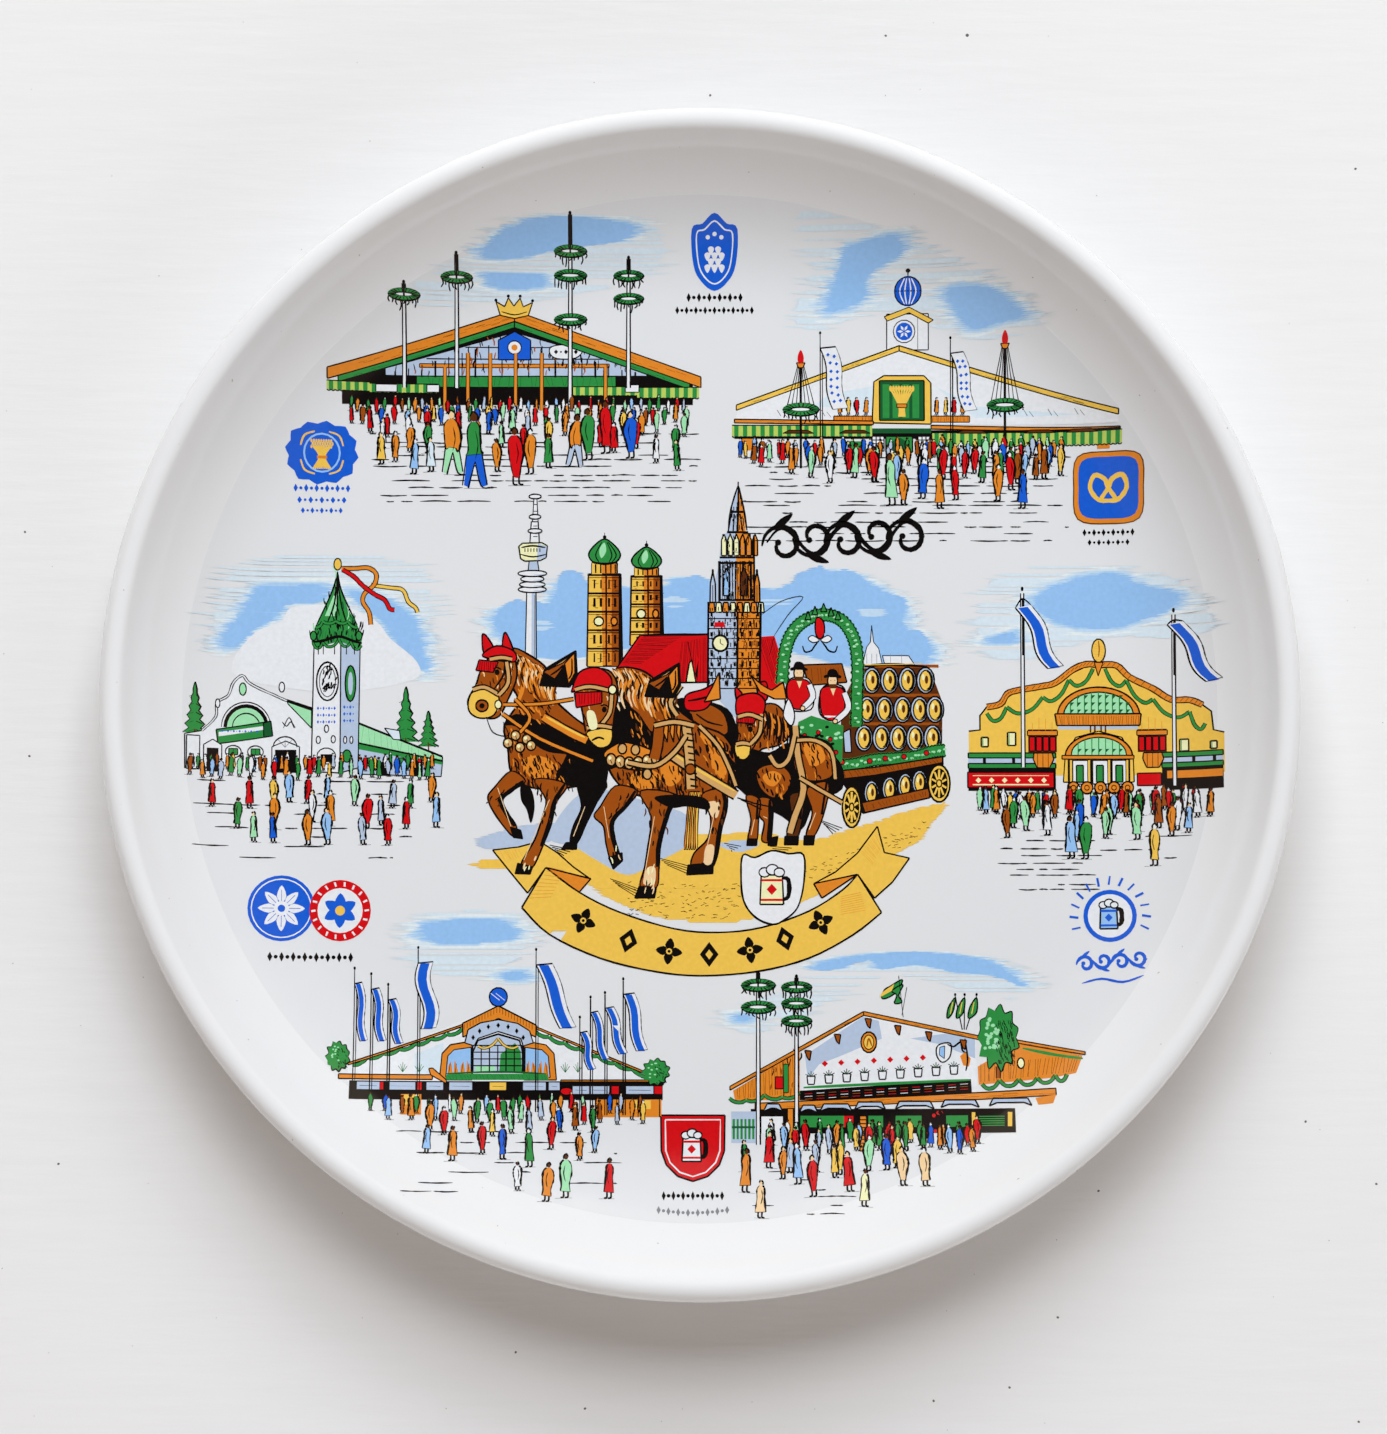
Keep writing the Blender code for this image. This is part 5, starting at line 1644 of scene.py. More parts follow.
    for x, y, height, coat in ((6.7, -76.7, 7.0, "ochre"), (12.8, -74.6, 5.2, "ochre"),
            (15.3, -75.4, 6.6, "sky"), (17.7, -77.4, 6.6, "red"), (23.3, -76.6, 6.4, "red"),
            (25.5, -79, 6.0, "cream"), (29.3, -73.2, 5.8, "blue"), (31.7, -75.7, 6.2, "peach"),
            (35.2, -75.8, 6.2, "peach"), (9.1, -80.8, 6.0, "peach"), (21, -74.4, 5.4, "yellow")):
        person(pen, x, y, height, coat)
    return pen


# The picture in the middle -----------------------------------------------------------------------


def slim_tower(pen):
    """A tall broadcasting tower with a round cabin and four rings, on the left."""
    pen.shape("white", [(-28.4, 8.4), (-28.2, 19.3), (-26.7, 19.3), (-26.6, 7.6)], 0.2)
    pen.fill("grey_blue", [(-27.4, 8.1), (-27.4, 19.3), (-26.8, 19.3), (-26.7, 7.7)])
    pen.shape("grey_blue", [(-28, 22.6), (-27.8, 24.6), (-26.5, 24.6), (-26.2, 22.6)], 0.2)
    for y, rx in ((19.8, 2.3), (20.6, 2.1), (21.5, 1.9), (22.4, 2.35)):
        pen.disc("white", -27.3, y, rx, 0.5, 0.24)
        pen.line([(-27.3 + rx * 0.1, y - 0.25), (-27.3 + rx * 0.85, y - 0.1)], 0.28, "grey_blue")
    pen.shape("cream", [(-29.2, 24.8), (-29.5, 26.8), (-28.9, 27.3), (-25.8, 27.4), (-24.9, 26.9),
            (-25.1, 25), (-26, 24.5), (-28.5, 24.4)], 0.26)
    pen.fill("grey_blue", [(-26.6, 24.5), (-26.4, 27.3), (-25, 26.8), (-25.2, 25)])
    pen.line([(-29.1, 26.6), (-27.3, 26.9), (-25.2, 26.6)], 0.3)
    for k in range(6):
        pen.line([(-28.5 + k * 0.48, 26.5), (-28.5 + k * 0.48, 25.9)], 0.34)
    pen.line([(-29.2, 25.5), (-27.2, 25.1), (-25.1, 25.5)], 0.24)
    pen.shape("white", [(-27.7, 27.4), (-27.5, 30.8), (-26.4, 30.8), (-26.2, 27.4)], 0.22)
    pen.shape("white", [(-27.3, 30.8), (-27.1, 34.5), (-26.6, 34.5), (-26.4, 30.8)], 0.18)
    for y, rx in ((29.3, 1.15), (31.6, 0.95), (34.9, 1.0)):
        pen.disc("white", -26.9, y, rx, 0.38, 0.24)
    for y in (28.4, 30.1, 32.5, 33.6):
        pen.line([(-27.2, y), (-26.5, y)], 0.3)
    pen.line([(-26.9, 8.4), (-26.9, 18.9)], 0.15, "grey", 0.9)


def domed_tower(pen, left, right, base, shoulder, dome_base, top):
    """A square brick tower under a green onion dome."""
    middle, half = (left + right) / 2, (right - left) / 2
    pen.shape("ochre", [(left - 0.2, base), (left, shoulder), (right, shoulder),
            (right + 0.3, base)], 0.3)
    pen.fill("yellow", [(left, base), (left + 0.15, shoulder), (middle - half * 0.2, shoulder),
            (middle - half * 0.1, base)])
    pen.fill("brown", [(middle + half * 0.45, base), (middle + half * 0.45, shoulder),
            (right, shoulder), (right, base)])
    for k in range(60):
        share = pen.chance.uniform(0.05, 0.95)
        x = left + share * (right - left)
        y = base + pen.chance.uniform(0.02, 0.97) * (shoulder - base)
        pen.line([(x, y), (x + pen.chance.uniform(0.3, 0.8), y)], 0.22,
                "ink" if share > 0.5 or k % 3 == 0 else "brown", 0.4)
    levels = 5
    for k in range(levels):
        y = base + (shoulder - base) * (k + 0.95) / levels
        pen.line([(left - 0.15, y), (right + 0.15, y)], 0.36, ends=0.9)
        pen.line([(left, y - 0.42), (right, y - 0.42)], 0.16, ends=0.9, rough=0.4)
        low = base + (shoulder - base) * (k + 0.15) / levels
        if k == 2:
            pen.disc("cream", middle - half * 0.35, y - 1.55, half * 0.3, 0.75, 0.3, 10)
            pen.disc("ochre", middle + half * 0.6, y - 1.55, half * 0.2, 0.7, 0.3, 10)
            continue
        for share in (-0.62, -0.22, 0.28, 0.66):
            x = middle + half * share
            pen.line([(x, low + 0.2), (x, y - 0.75)], 0.42 if k % 2 else 0.28, ends=0.9)
    pen.line([(middle + half * 0.12, base), (middle + half * 0.1, shoulder)], 0.3, ends=0.9)
    pen.line([(right - 0.1, base), (right - 0.1, shoulder)], 0.5, ends=0.9)
    drum = half * 0.78
    pen.shape("ochre", [(middle - drum, shoulder), (middle - drum, dome_base),
            (middle + drum, dome_base), (middle + drum, shoulder)], 0.26)
    pen.fill("yellow", [(middle - drum, shoulder), (middle - drum, dome_base),
            (middle - drum * 0.2, dome_base), (middle - drum * 0.2, shoulder)])
    for share in (-0.7, -0.3, 0.1, 0.5, 0.85):
        pen.line([(middle + drum * share, shoulder + 0.15),
                (middle + drum * share, dome_base - 0.2)], 0.26, ends=0.9)
    height = top - dome_base
    dome = [(middle - half * 0.55, dome_base), (middle - half * 0.98, dome_base + height * 0.3),
            (middle - half * 0.72, dome_base + height * 0.66), (middle, top),
            (middle + half * 0.72, dome_base + height * 0.66), (middle + half * 0.98,
            dome_base + height * 0.3), (middle + half * 0.55, dome_base)]
    pen.shape("green", dome, 0.28, curved=True)
    pen.blob("light_green", [(middle - half * 0.2, dome_base + height * 0.2),
            (middle - half * 0.32, dome_base + height * 0.55), (middle - half * 0.02,
            dome_base + height * 0.85), (middle + half * 0.1, dome_base + height * 0.5)])
    for share in (-0.55, 0.45, 0.72):
        pen.line([(middle + half * share * 0.6, dome_base + 0.1), (middle + half * share,
                dome_base + height * 0.35), (middle + half * share * 0.3, top - height * 0.12)],
                0.2)
    pen.line([(middle - half * 0.8, dome_base + 0.15), (middle, dome_base - 0.15),
            (middle + half * 0.8, dome_base + 0.15)], 0.42)
    pen.oval("ink", middle, top + 0.3, 0.3, 0.34, 8)
    pen.line([(middle, top), (middle, top + 1.0)], 0.26)


def pointed_tower(pen):
    """A tall town-hall tower, pale on its left face and ochre on its right."""
    pen.fill("grey_blue", [(5.8, 36.7), (4.5, 32.7), (4.2, 29.2), (3.1, 28.4), (2.7, 23.8),
            (1.1, 17.8), (0.9, 3.8), (6, -1.6), (5.7, 17.8), (5.9, 29.2)])
    pen.fill("ochre", [(5.8, 36.7), (6.7, 32.7), (7, 29.2), (8.2, 27.8), (8.3, 17.8), (9.5, 16.7),
            (9.4, 4.8), (6, -1.6), (5.4, 17.8), (5.5, 29.2)])
    for k in range(9):
        y = 3.8 + (16.7 - 3.8) * k / 8
        pen.box("ink", 0.9, y - 0.1, 9.4, y + 0.1)
        for j in range(7):
            x = 1.5 + j * 1.24
            low = y + 0.35
            if k < 8 and (j + k) % 4:
                pen.line([(x, low), (x, low + pen.chance.uniform(0.6, 1.05))], 0.44, ends=0.9)
    for j in range(8):
        x = 1 + j * 1.13
        pen.shape("cream" if j % 2 else "ochre", [(x, 16.1), (x + 0.15, 17.7), (x + 0.9, 17.7),
                (x + 1.05, 16.1)], 0.28)
    for j in range(14):
        x = 2.8 + j * 0.42
        pen.line([(x, 18.1), (x + pen.chance.uniform(-0.1, 0.1), 24.4)], 0.16 + 0.2 * (j % 3 == 0),
                ends=0.9, rough=0.5)
    for x, width in ((3.9, 1.0), (6.7, 1.15)):
        pen.shape("sky" if width < 1.1 else "dark_brown", [(x - width / 2, 18.8),
                (x - width / 2, 22.1), (x, 23.3), (x + width / 2, 22.1), (x + width / 2, 18.8)],
                0.3)
    for y, left, right in ((18.1, 2.6, 8.5), (24.1, 2.6, 8.4), (25, 2.8, 8.4), (29.1, 4, 7.4),
            (32.4, 4.5, 6.8)):
        pen.line([(left, y), (right, y)], 0.4, ends=0.9)
    for j in range(6):
        x = 3.1 + j * 1.0
        pen.shape("cream" if j < 3 else "ochre", [(x, 25.3), (x, 27.8), (x + 0.4, 28.8),
                (x + 0.8, 27.8), (x + 0.8, 25.3)], 0.26)
    for j in range(4):
        x = 4.2 + j * 0.78
        pen.line([(x, 29.3), (x + (0.5 - j * 0.33), 32.1)], 0.26, ends=0.9)
    for low, high, left, right, count in ((4, 16.5, 1, 5.7, 170), (4, 16.5, 5.8, 9.2, 130),
            (18.1, 24, 2.8, 5.6, 60), (18.1, 24, 5.7, 8.3, 60), (25.3, 28.6, 3.3, 8, 26),
            (29.4, 34.6, 4.7, 6.7, 30)):
        for k in range(count):
            x, y = pen.chance.uniform(left, right), pen.chance.uniform(low, high)
            if k % 4:
                pen.line([(x, y), (x, y + pen.chance.uniform(0.4, 1.0))], 0.26, ends=0.6)
            else:
                pen.line([(x, y), (x + 0.5, y)], 0.24, "dark_brown" if left > 5.6 else "grey")
    pen.line([(5.8, 36.8), (4.6, 32.8), (4.2, 29.4)], 0.3)
    pen.line([(5.8, 36.8), (6.7, 32.8), (7.2, 29.4)], 0.34)
    pen.line([(5.8, 36.2), (5.8, 32.4), (5.6, 29.2)], 0.36)
    pen.line([(5.8, 37.3), (5.8, 35.7)], 0.5)
    pen.line([(5.5, 36.2), (6.1, 36.2)], 0.3)
    pen.disc("cream", 2.9, 11.1, 1.25, 1.3, 0.4)
    pen.line([(2.9, 11.1), (2.9, 11.8)], 0.3)
    pen.line([(2.9, 11.1), (3.4, 10.8)], 0.3)
    for x in (1.7, 8.8):
        pen.shape("grey_blue" if x < 5 else "ochre", [(x - 0.45, 17.7), (x - 0.4, 20.8), (x, 22.7),
                (x + 0.4, 20.8), (x + 0.45, 17.7)], 0.3)
        pen.oval("ink", x, 22.8, 0.2, 0.35, 8)
        pen.line([(x, 17.8), (x, 20.5)], 0.3)
    pen.line([(1, 17.8), (0.9, 4)], 0.36, ends=0.9)
    pen.line([(9.4, 17.5), (9.2, 4.3)], 0.42, ends=0.9)
    pen.line([(5.7, 16.2), (5.6, 4)], 0.4, ends=0.9)
    pen.line([(2.8, 24), (2.7, 17.8)], 0.3, ends=0.9)
    pen.line([(8.3, 28.6), (8.4, 17.8)], 0.4, ends=0.9)
    pen.fill("red", [(2, 14.5), (3.5, 14.5), (3.7, 13.7), (1.9, 13.7)])
    for k in range(20):
        x, y = 6.2 + pen.chance.uniform(0, 2.7), 4.8 + pen.chance.uniform(0, 10)
        pen.line([(x, y), (x, y + 0.7)], 0.34, "brown")


def town(pen):
    """Sky, towers and red roofs behind the wagon."""
    cloud = [(-34.1, 14.8), (-32.7, 16.7), (-29.2, 17.2), (-24.9, 17.8), (-23.6, 20.4),
            (-20.9, 21.5), (-18, 20.8), (-12, 20.1), (-6.1, 20.1), (-4.5, 21.6), (0.3, 21.3),
            (2.5, 20.5), (11.6, 19.9), (14.3, 20.8), (18.1, 22.7), (23.4, 22.3), (29.9, 19.3),
            (32.8, 16.2), (33.1, 13.5), (36.4, 11.2), (36.9, 8.4), (33.1, 7), (25, 7), (11.6, 10.3),
            (-4.5, 11.3), (-19, 8.9), (-23.3, 8.6), (-28.7, 9.2), (-31.1, 10.8), (-33.3, 13)]
    sky(pen, cloud, 1.6)
    for x, y, rx, ry in ((-28.7, 16.5, 3.2, 1.7), (-20.9, 20.8, 2.6, 1.8), (-14.2, 19.3, 2.8, 1.4),
            (-1.3, 20.8, 2.4, 1.2), (18.1, 21.6, 3.4, 1.8), (22.9, 21.3, 3.0, 1.6),
            (30.4, 17.3, 2.6, 2.0), (34.2, 11.3, 2.4, 1.9)):
        lump = ellipse_points(x, y, rx, ry, 9)
        brushed(pen,
                "sky",
                [(px + pen.chance.uniform(-0.6, 0.6),
                py + pen.chance.uniform(-0.4, 0.4)) for px, py in lump], 0.7, 0.3)
    for x, y, rx, ry in ((-26, 14, 2.2, 0.8), (-4.5, 17.8, 2.0, 0.9), (11.6, 17.8, 2.6, 0.8),
            (27.2, 16.2, 2.2, 0.8)):
        brushed(pen, "pale_sky", ellipse_points(x, y, rx, ry, 9), 1.4, 0.3, 0.7)
    slim_tower(pen)
    domed_tower(pen, -18.3, -13.1, 7.4, 22.3, 24.1, 28)
    domed_tower(pen, -11.4, -6.5, 10.8, 22, 23.3, 26.7)
    pen.shape("red", [(-14.2, 6.4), (-10, 12.4), (1.1, 12.6), (1.1, 4.8), (-12, 4.6)], 0.3)
    pen.fill("red", [(8.7, 12.1), (11.6, 12.3), (13.2, 7), (12.1, 2.1), (8.7, 4.8)])
    hatch(pen, ((-12.8, 7.8), (-9.4, 12.3)), ((-9.9, 7.7), (-3.4, 12.1)), 22, 0.28)
    hatch(pen, ((-3.4, 11.3), (0.9, 12.1)), ((-4.2, 4.8), (0.9, 4.8)), 18, 0.24)
    hatch(pen, ((8.9, 11.6), (11.6, 11.9)), ((11.1, 4.8), (12.8, 7)), 10, 0.26)
    pen.line([(-9.9, 12.4), (-4.5, 12.5), (1.1, 12.5)], 0.4)
    pen.shape("cream", [(-2.6, 4.8), (-2.1, 7.8), (-1.7, 8.4), (-1, 4.8)], 0.28)
    pen.line([(-1.7, 8.4), (-2.3, 11.3)], 0.3)
    pen.shape("white", [(25.7, 7.6), (26.4, 10.5), (27, 11.3), (27.2, 14), (27.5, 11.3),
            (28.3, 10.3), (28.9, 7.6)], 0.17)
    pen.shape("white", [(29.3, 7.6), (28.9, 9.1), (33.1, 9.1), (34.1, 7.6)], 0.17)
    for x in (26.4, 27.2, 28, 30.2, 32):
        pen.line([(x, 7.8), (x, 9.4)], 0.16, "grey")
    pointed_tower(pen)


def barrel(pen, x, y, rx, ry):
    """A barrel seen end on, with a pale hoop, a cream lid and shade round its right."""
    pen.disc("grey_blue", x, y, rx, ry, 0.3)
    pen.disc("yellow", x + rx * 0.06, y - ry * 0.02, rx * 0.74, ry * 0.8, 0.24)
    pen.line(ellipse_points(x + rx * 0.1, y, rx * 0.55, ry * 0.68, 8, -1.5, 1.5), 0.26)
    pen.oval("dark_brown", x + rx * 0.12, y + ry * 0.05, rx * 0.2, ry * 0.32, 8)
    pen.oval("cream", x - rx * 0.25, y + ry * 0.25, rx * 0.16, ry * 0.26, 8)


def wheel(pen, x, y, rx, ry):
    pen.disc("yellow", x, y, rx, ry, 0.34, 18)
    pen.disc("ink", x + 0.05, y, rx * 0.72, ry * 0.78, 0.2, 18)
    for k in range(5):
        angle = math.pi * k / 5 + 0.3
        c, s = math.cos(angle), math.sin(angle)
        pen.line([(x - rx * 0.7 * c, y - ry * 0.74 * s), (x + rx * 0.7 * c, y + ry * 0.74 * s)],
                0.36, "yellow", 0.9)
    pen.disc("yellow", x, y, rx * 0.24, ry * 0.2, 0.24, 10)


def driver(pen, x, y, vest, arm):
    """A seated driver with a dark hat and a red vest; the figure is a plain generic one."""
    own = pen.at(x, y)
    own.shape("white", [(-1.3, -0.6), (-2.2, -3.2), (-1.6, -5.6), (1.9, -5.6), (2.3, -3.0),
            (1.5, -0.6)], 0.26, curved=True)
    own.shape("red", vest, 0.26, curved=True)
    own.fill("peach", [(-0.35, -1.0), (0.5, -1.0), (0.1, -2.2)])
    own.disc("peach", 0, 0.25, 0.8, 1.15, 0.28)
    own.fill("dark_brown", [(-0.7, -0.3), (0.75, -0.3), (0.5, -1.0), (-0.4, -1.0)])
    own.line([(-0.35, 0.3), (-0.2, 0.3)], 0.2)
    own.line([(0.3, 0.3), (0.45, 0.3)], 0.2)
    own.line([(-1.4, 0.85), (0, 1.15), (1.4, 0.8)], 0.55, ends=0.6)
    own.blob("ink", [(-0.8, 0.9), (-0.65, 1.9), (0, 2.15), (0.7, 1.85), (0.85, 0.9)], 3)
    strap(own, arm, 0.8, "white", 0.17)
    own.disc("peach", arm[-1][0], arm[-1][1], 0.4, 0.4, 0.2, 8)


def leafy(pen, points, width):
    """A thick garland: green with ink scallops on both sides and pale flecks."""
    strap(pen, points, width, "green", 0.24)
    path = smooth(points, steps=5)
    for (ax, ay), (bx, by) in zip(path, path[1:]):
        length = math.dist((ax, ay), (bx, by)) or 1.0
        nx, ny = -(by - ay) / length, (bx - ax) / length
        for side in (-1, 1):
            x, y = ax + nx * side * width * 0.52, ay + ny * side * width * 0.52
            pen.oval("green", x, y, width * 0.24, width * 0.24, 8)
            pen.line([(x - ny * 0.3, y + nx * 0.3), (x + nx * side * 0.2, y + ny * side * 0.2),
                    (x + ny * 0.3, y - nx * 0.3)], 0.2)
        x, y = ax + pen.chance.uniform(-0.2, 0.2) * width, ay + pen.chance.uniform(-0.2, 0.2) * width
        pen.oval("light_green", x, y, width * 0.2, width * 0.13, 6)
        pen.line([(ax - nx * width * 0.3, ay - ny * width * 0.3), (ax + nx * width * 0.1, ay)],
                0.17)


def wagon(pen):
    """The barrel wagon, with its leafy arch, two drivers, garlands and two wheels."""
    pen.fill("dark_brown", [(25, 7), (36.3, 7.6), (38.5, 1.6), (38.4, -6.5), (21.8, -9.2),
            (22.4, 1.6)])
    pen.shape("ink", [(22.1, -10.6), (38.5, -7.6), (38.5, -9.5), (36.4, -13.8), (25.7, -16.3),
            (24.2, -14.1)], 0.3)
    for x in (27.1, 30, 32.5, 34.8):
        barrel(pen, x, -12.2 + (x - 31) * 0.22, 1.2, 2.0)
    pen.shape("brown", [(25.5, -14.6), (36.4, -12.2), (36.4, -13.8), (26, -16.2)], 0.3)
    hatch(pen, ((25.9, -15), (36.1, -12.7)), ((26.2, -15.8), (36.3, -13.4)), 16, 0.24)
    for y, xs in ((-4.2, (25.9, 28.7, 31.4, 34.1, 36.9)), (0.4, (26.4, 29.2, 32.1, 34.8, 37.3)),
            (5.1, (27.2, 30, 32.9, 35.8))):
        pen.line([(25.3, y + 2.3), (37.9, y + 2.3)], 0.5, "brown", 0.9)
        for x in xs:
            barrel(pen, x, y, 1.42, 2.12)
    pen.line([(25.7, 7.3), (29.9, 7.7), (36.1, 7.3)], 0.5)
    pen.line([(26.1, 7.6), (35.3, 7.8)], 0.3, "yellow")
    leafy(pen, [(21.8, -8.7), (24.5, -8.4), (27.7, -7.7), (31, -7.5), (34.2, -7.2), (36.9, -6.4),
            (38.9, -6.2)], 1.5)
    for x, y in ((26.8, -7.9), (29.3, -7.5), (32.3, -7.2), (35.9, -6.6), (22.4, -8.1)):
        pen.disc("red", x, y, 0.42, 0.42, 0.16, 8)
    pen.shape("brown", [(21.6, -9.5), (27.7, -8.9), (38.5, -7.2), (38.5, -8.2), (27.7, -10.2),
            (21.6, -10.9)], 0.3)
    hatch(pen, ((22.4, -9.6), (37.9, -7.5)), ((22.9, -10.6), (38.3, -8.1)), 22, 0.26)
    wheel(pen, 37.9, -11.5, 1.75, 3.0)
    wheel(pen, 23.9, -15.3, 1.5, 3.3)
    pen.shape("grey_blue", [(22.6, -3.3), (23.7, -2.7), (23.9, -6.5), (22.8, -6.5)], 0.24)
    pen.fill("green", [(15.1, -3.8), (15.4, -1.6), (17.5, -0.6), (22.6, -2.2), (22.4, -8.1),
            (21.3, -8.7), (20.2, -4.9)])
    for k in range(24):
        x, y = 15.6 + pen.chance.uniform(0, 7), -5.4 + pen.chance.uniform(0, 3.4)
        pen.oval("light_green" if k % 3 else "ink", x, y, 0.34, 0.24, 7)
    for x, y in ((16.4, -3.8), (18.6, -3.3), (20.5, -4.4), (21.4, -6.5), (17.5, -4.9)):
        pen.disc("red", x, y, 0.36, 0.36, 0.16, 8)
    leafy(pen, [(12.8, 4.8), (13.2, 9.2), (14.2, 12.4), (16.2, 14.6), (19.1, 15.7), (22.1, 15),
            (24.1, 12.4), (24.9, 8.6), (24.8, 2.7), (24.7, -2.4)], 1.55)
    for x, y in ((17, 15.7), (18.1, 16.5), (19.5, 17), (20.7, 16.3), (21.8, 15.7)):
        pen.shape("green", [(x - 0.5, y - 0.8), (x, y + 0.6), (x + 0.5, y - 0.8)], 0.24)
    pen.shape("red", [(18.2, 14.8), (18.7, 15.3), (19.5, 14.5), (19.6, 12.7), (18.9, 11.8),
            (18.2, 12.7)], 0.26, curved=True)
    for side in (-1, 1):
        bow = pen.at(18.9, 11.6, 1.0, side)
        bow.shape("white", [(0.1, 0), (1.2, 0.75), (1.9, 0.2), (1.1, -0.4)], 0.2, curved=True)
        bow.line([(0.1, 0), (0.9, -1.0), (1.4, -1.7), (2.4, -1.9), (2.8, -0.9)], 0.3)
    pen.shape("brown", [(16.2, 7.6), (22.4, 7.8), (23.2, 4.8), (17, 4.3)], 0.26)
    hatch(pen, ((16.4, 7), (22.4, 7.2)), ((16.7, 4.8), (22.6, 5.3)), 8, 0.24)
    driver(pen, 15.5, 6, [(-1.5, -0.9), (-1.9, -3.3), (-0.9, -5.4), (1.4, -5.2), (1.9, -2.6),
            (1.3, -0.9)], [(1.7, -1.6), (2.2, -3.6), (0.6, -5.4)])
    driver(pen, 20.9, 4.8, [(-1.6, -0.9), (-2.0, -3.4), (-1.3, -5.8), (1.4, -6.0), (2.0, -3.0),
            (1.4, -0.9)], [(1.9, -1.7), (2.5, -4.2), (0.4, -6.3)])
    pen.line([(11.6, 12.4), (13.8, 15.7), (16.2, 18.6), (12.7, 17.9), (9.5, 15.7)], 0.18)
    pen.line([(11.6, 12.4), (10.8, 9.2)], 0.2)


def paving(pen):
    """The yellow ground with its specks, and the blue-grey shadow under the horses."""
    brushed(pen, "yellow", [(-37.3, -24.4), (-31.4, -23.5), (-25.5, -22.7), (-16.9, -21.4),
            (6.2, -19.5), (17, -20.6), (24, -18.7), (38.5, -14.6), (36.9, -17.9), (34.2, -21.1),
            (27.7, -24.3), (19.7, -28.7), (13.8, -31.4), (6.2, -33.5), (-1.3, -33.6), (-7.7, -32.7),
            (-14.2, -30.3), (-18.5, -27.6), (-24.4, -24.9), (-32.5, -25.4)], 0.8, 0.45)
    pen.blob("grey_blue", [(-24.4, -20.3), (-21.7, -15.2), (-17.4, -12.4), (-9.9, -14.1),
            (-2.1, -16.8), (-2.1, -21.1), (-7.7, -24.3), (-12, -26.2), (-16.9, -23.8),
            (-20.6, -21.6)])
    brushed(pen, "grey_blue", [(-36.2, -21.1), (-32.5, -19.2), (-24.4, -17.9), (-22.8, -20),
            (-27.1, -21.6), (-34.1, -21.9)], 1.5)
    brushed(pen, "grey_blue", [(2.5, -21.4), (6.2, -20.6), (9.5, -21.1), (6.2, -22.4)], 0.8)
    for k in range(240):
        t = pen.chance.random()
        x = -12 + t * 24 if k % 3 else 14.3 + t * 22
        y = -27.3 - pen.chance.uniform(0, 6) if k % 3 else -26 + t * 9 - pen.chance.uniform(0, 3)
        if k % 3 and x > 5.7:
            continue
        pen.line([(x, y), (x + pen.chance.uniform(0.3, 0.7), y + pen.chance.uniform(-0.2, 0.3))],
                0.2)
    for a, b in (((-14.7, -26.8), (-8.8, -28.9)), ((-6.9, -23.5), (-0.8, -25.1)),
            ((-24.4, -21.4), (-20.6, -22.2)), ((10.8, -21.6), (14.3, -21.9)),
            ((18.6, -17.3), (22.4, -18.7)), ((3.5, -21.1), (6.2, -21.6))):
        for j in range(4):
            pen.line([(a[0] + j * 0.4, a[1] - j * 0.35), (b[0] - j * 0.5, b[1] - j * 0.3)], 0.3)


def leg(pen, colour, points, hoof, width=0.28):
    """A horse's leg with a dark hoof and a pale streak down its shin."""
    pen.shape(colour, points, width, curved=True)
    pen.shape("ink", hoof, 0.2)
    middle = len(points) // 2
    upper, lower = points[1], points[middle - 1]
    pen.line([(x - 0.3, y) for x, y in points[middle + 1:]], 0.75, ends=0.5)
    pen.line([(upper[0] + 0.55, upper[1]), (lower[0] + 0.5, lower[1] + 0.8)], 0.4, "peach", 0.3)


def horse_head(pen, skull, muzzle, cap, ears, fringe, eye, straps):
    """A horse's head with a red cap and fringe and a pale bridle."""
    for ear in ears:
        pen.shape("red", ear, 0.3, curved=True)
    pen.shape("brown", skull, 0.32, curved=True)
    fur(pen, skull, 46, -80, 1.3, ("ink", "ochre", "dark_brown", "peach"), 0.26)
    pen.shape("yellow", muzzle, 0.28, curved=True)
    pen.shape("red", cap, 0.3, curved=True)
    if fringe:
        pen.shape("red", fringe, 0.26)
        (ax, ay), (bx, by) = fringe[0], fringe[1]
        for k in range(9):
            t = (k + 0.5) / 9
            x, y = ax + (bx - ax) * t, ay + (by - ay) * t
            pen.line([(x, y - 0.2), (x + pen.chance.uniform(-0.2, 0.2), y - 1.9)], 0.2)
    pen.oval("ink", *eye, 0.42, 0.5, 8)
    pen.line([(eye[0] - 0.6, eye[1] + 0.6), (eye[0] + 0.1, eye[1] + 0.75),
            (eye[0] + 0.7, eye[1] + 0.4)], 0.26)
    for points in straps:
        strap(pen, points, 0.5, "tan", 0.24)


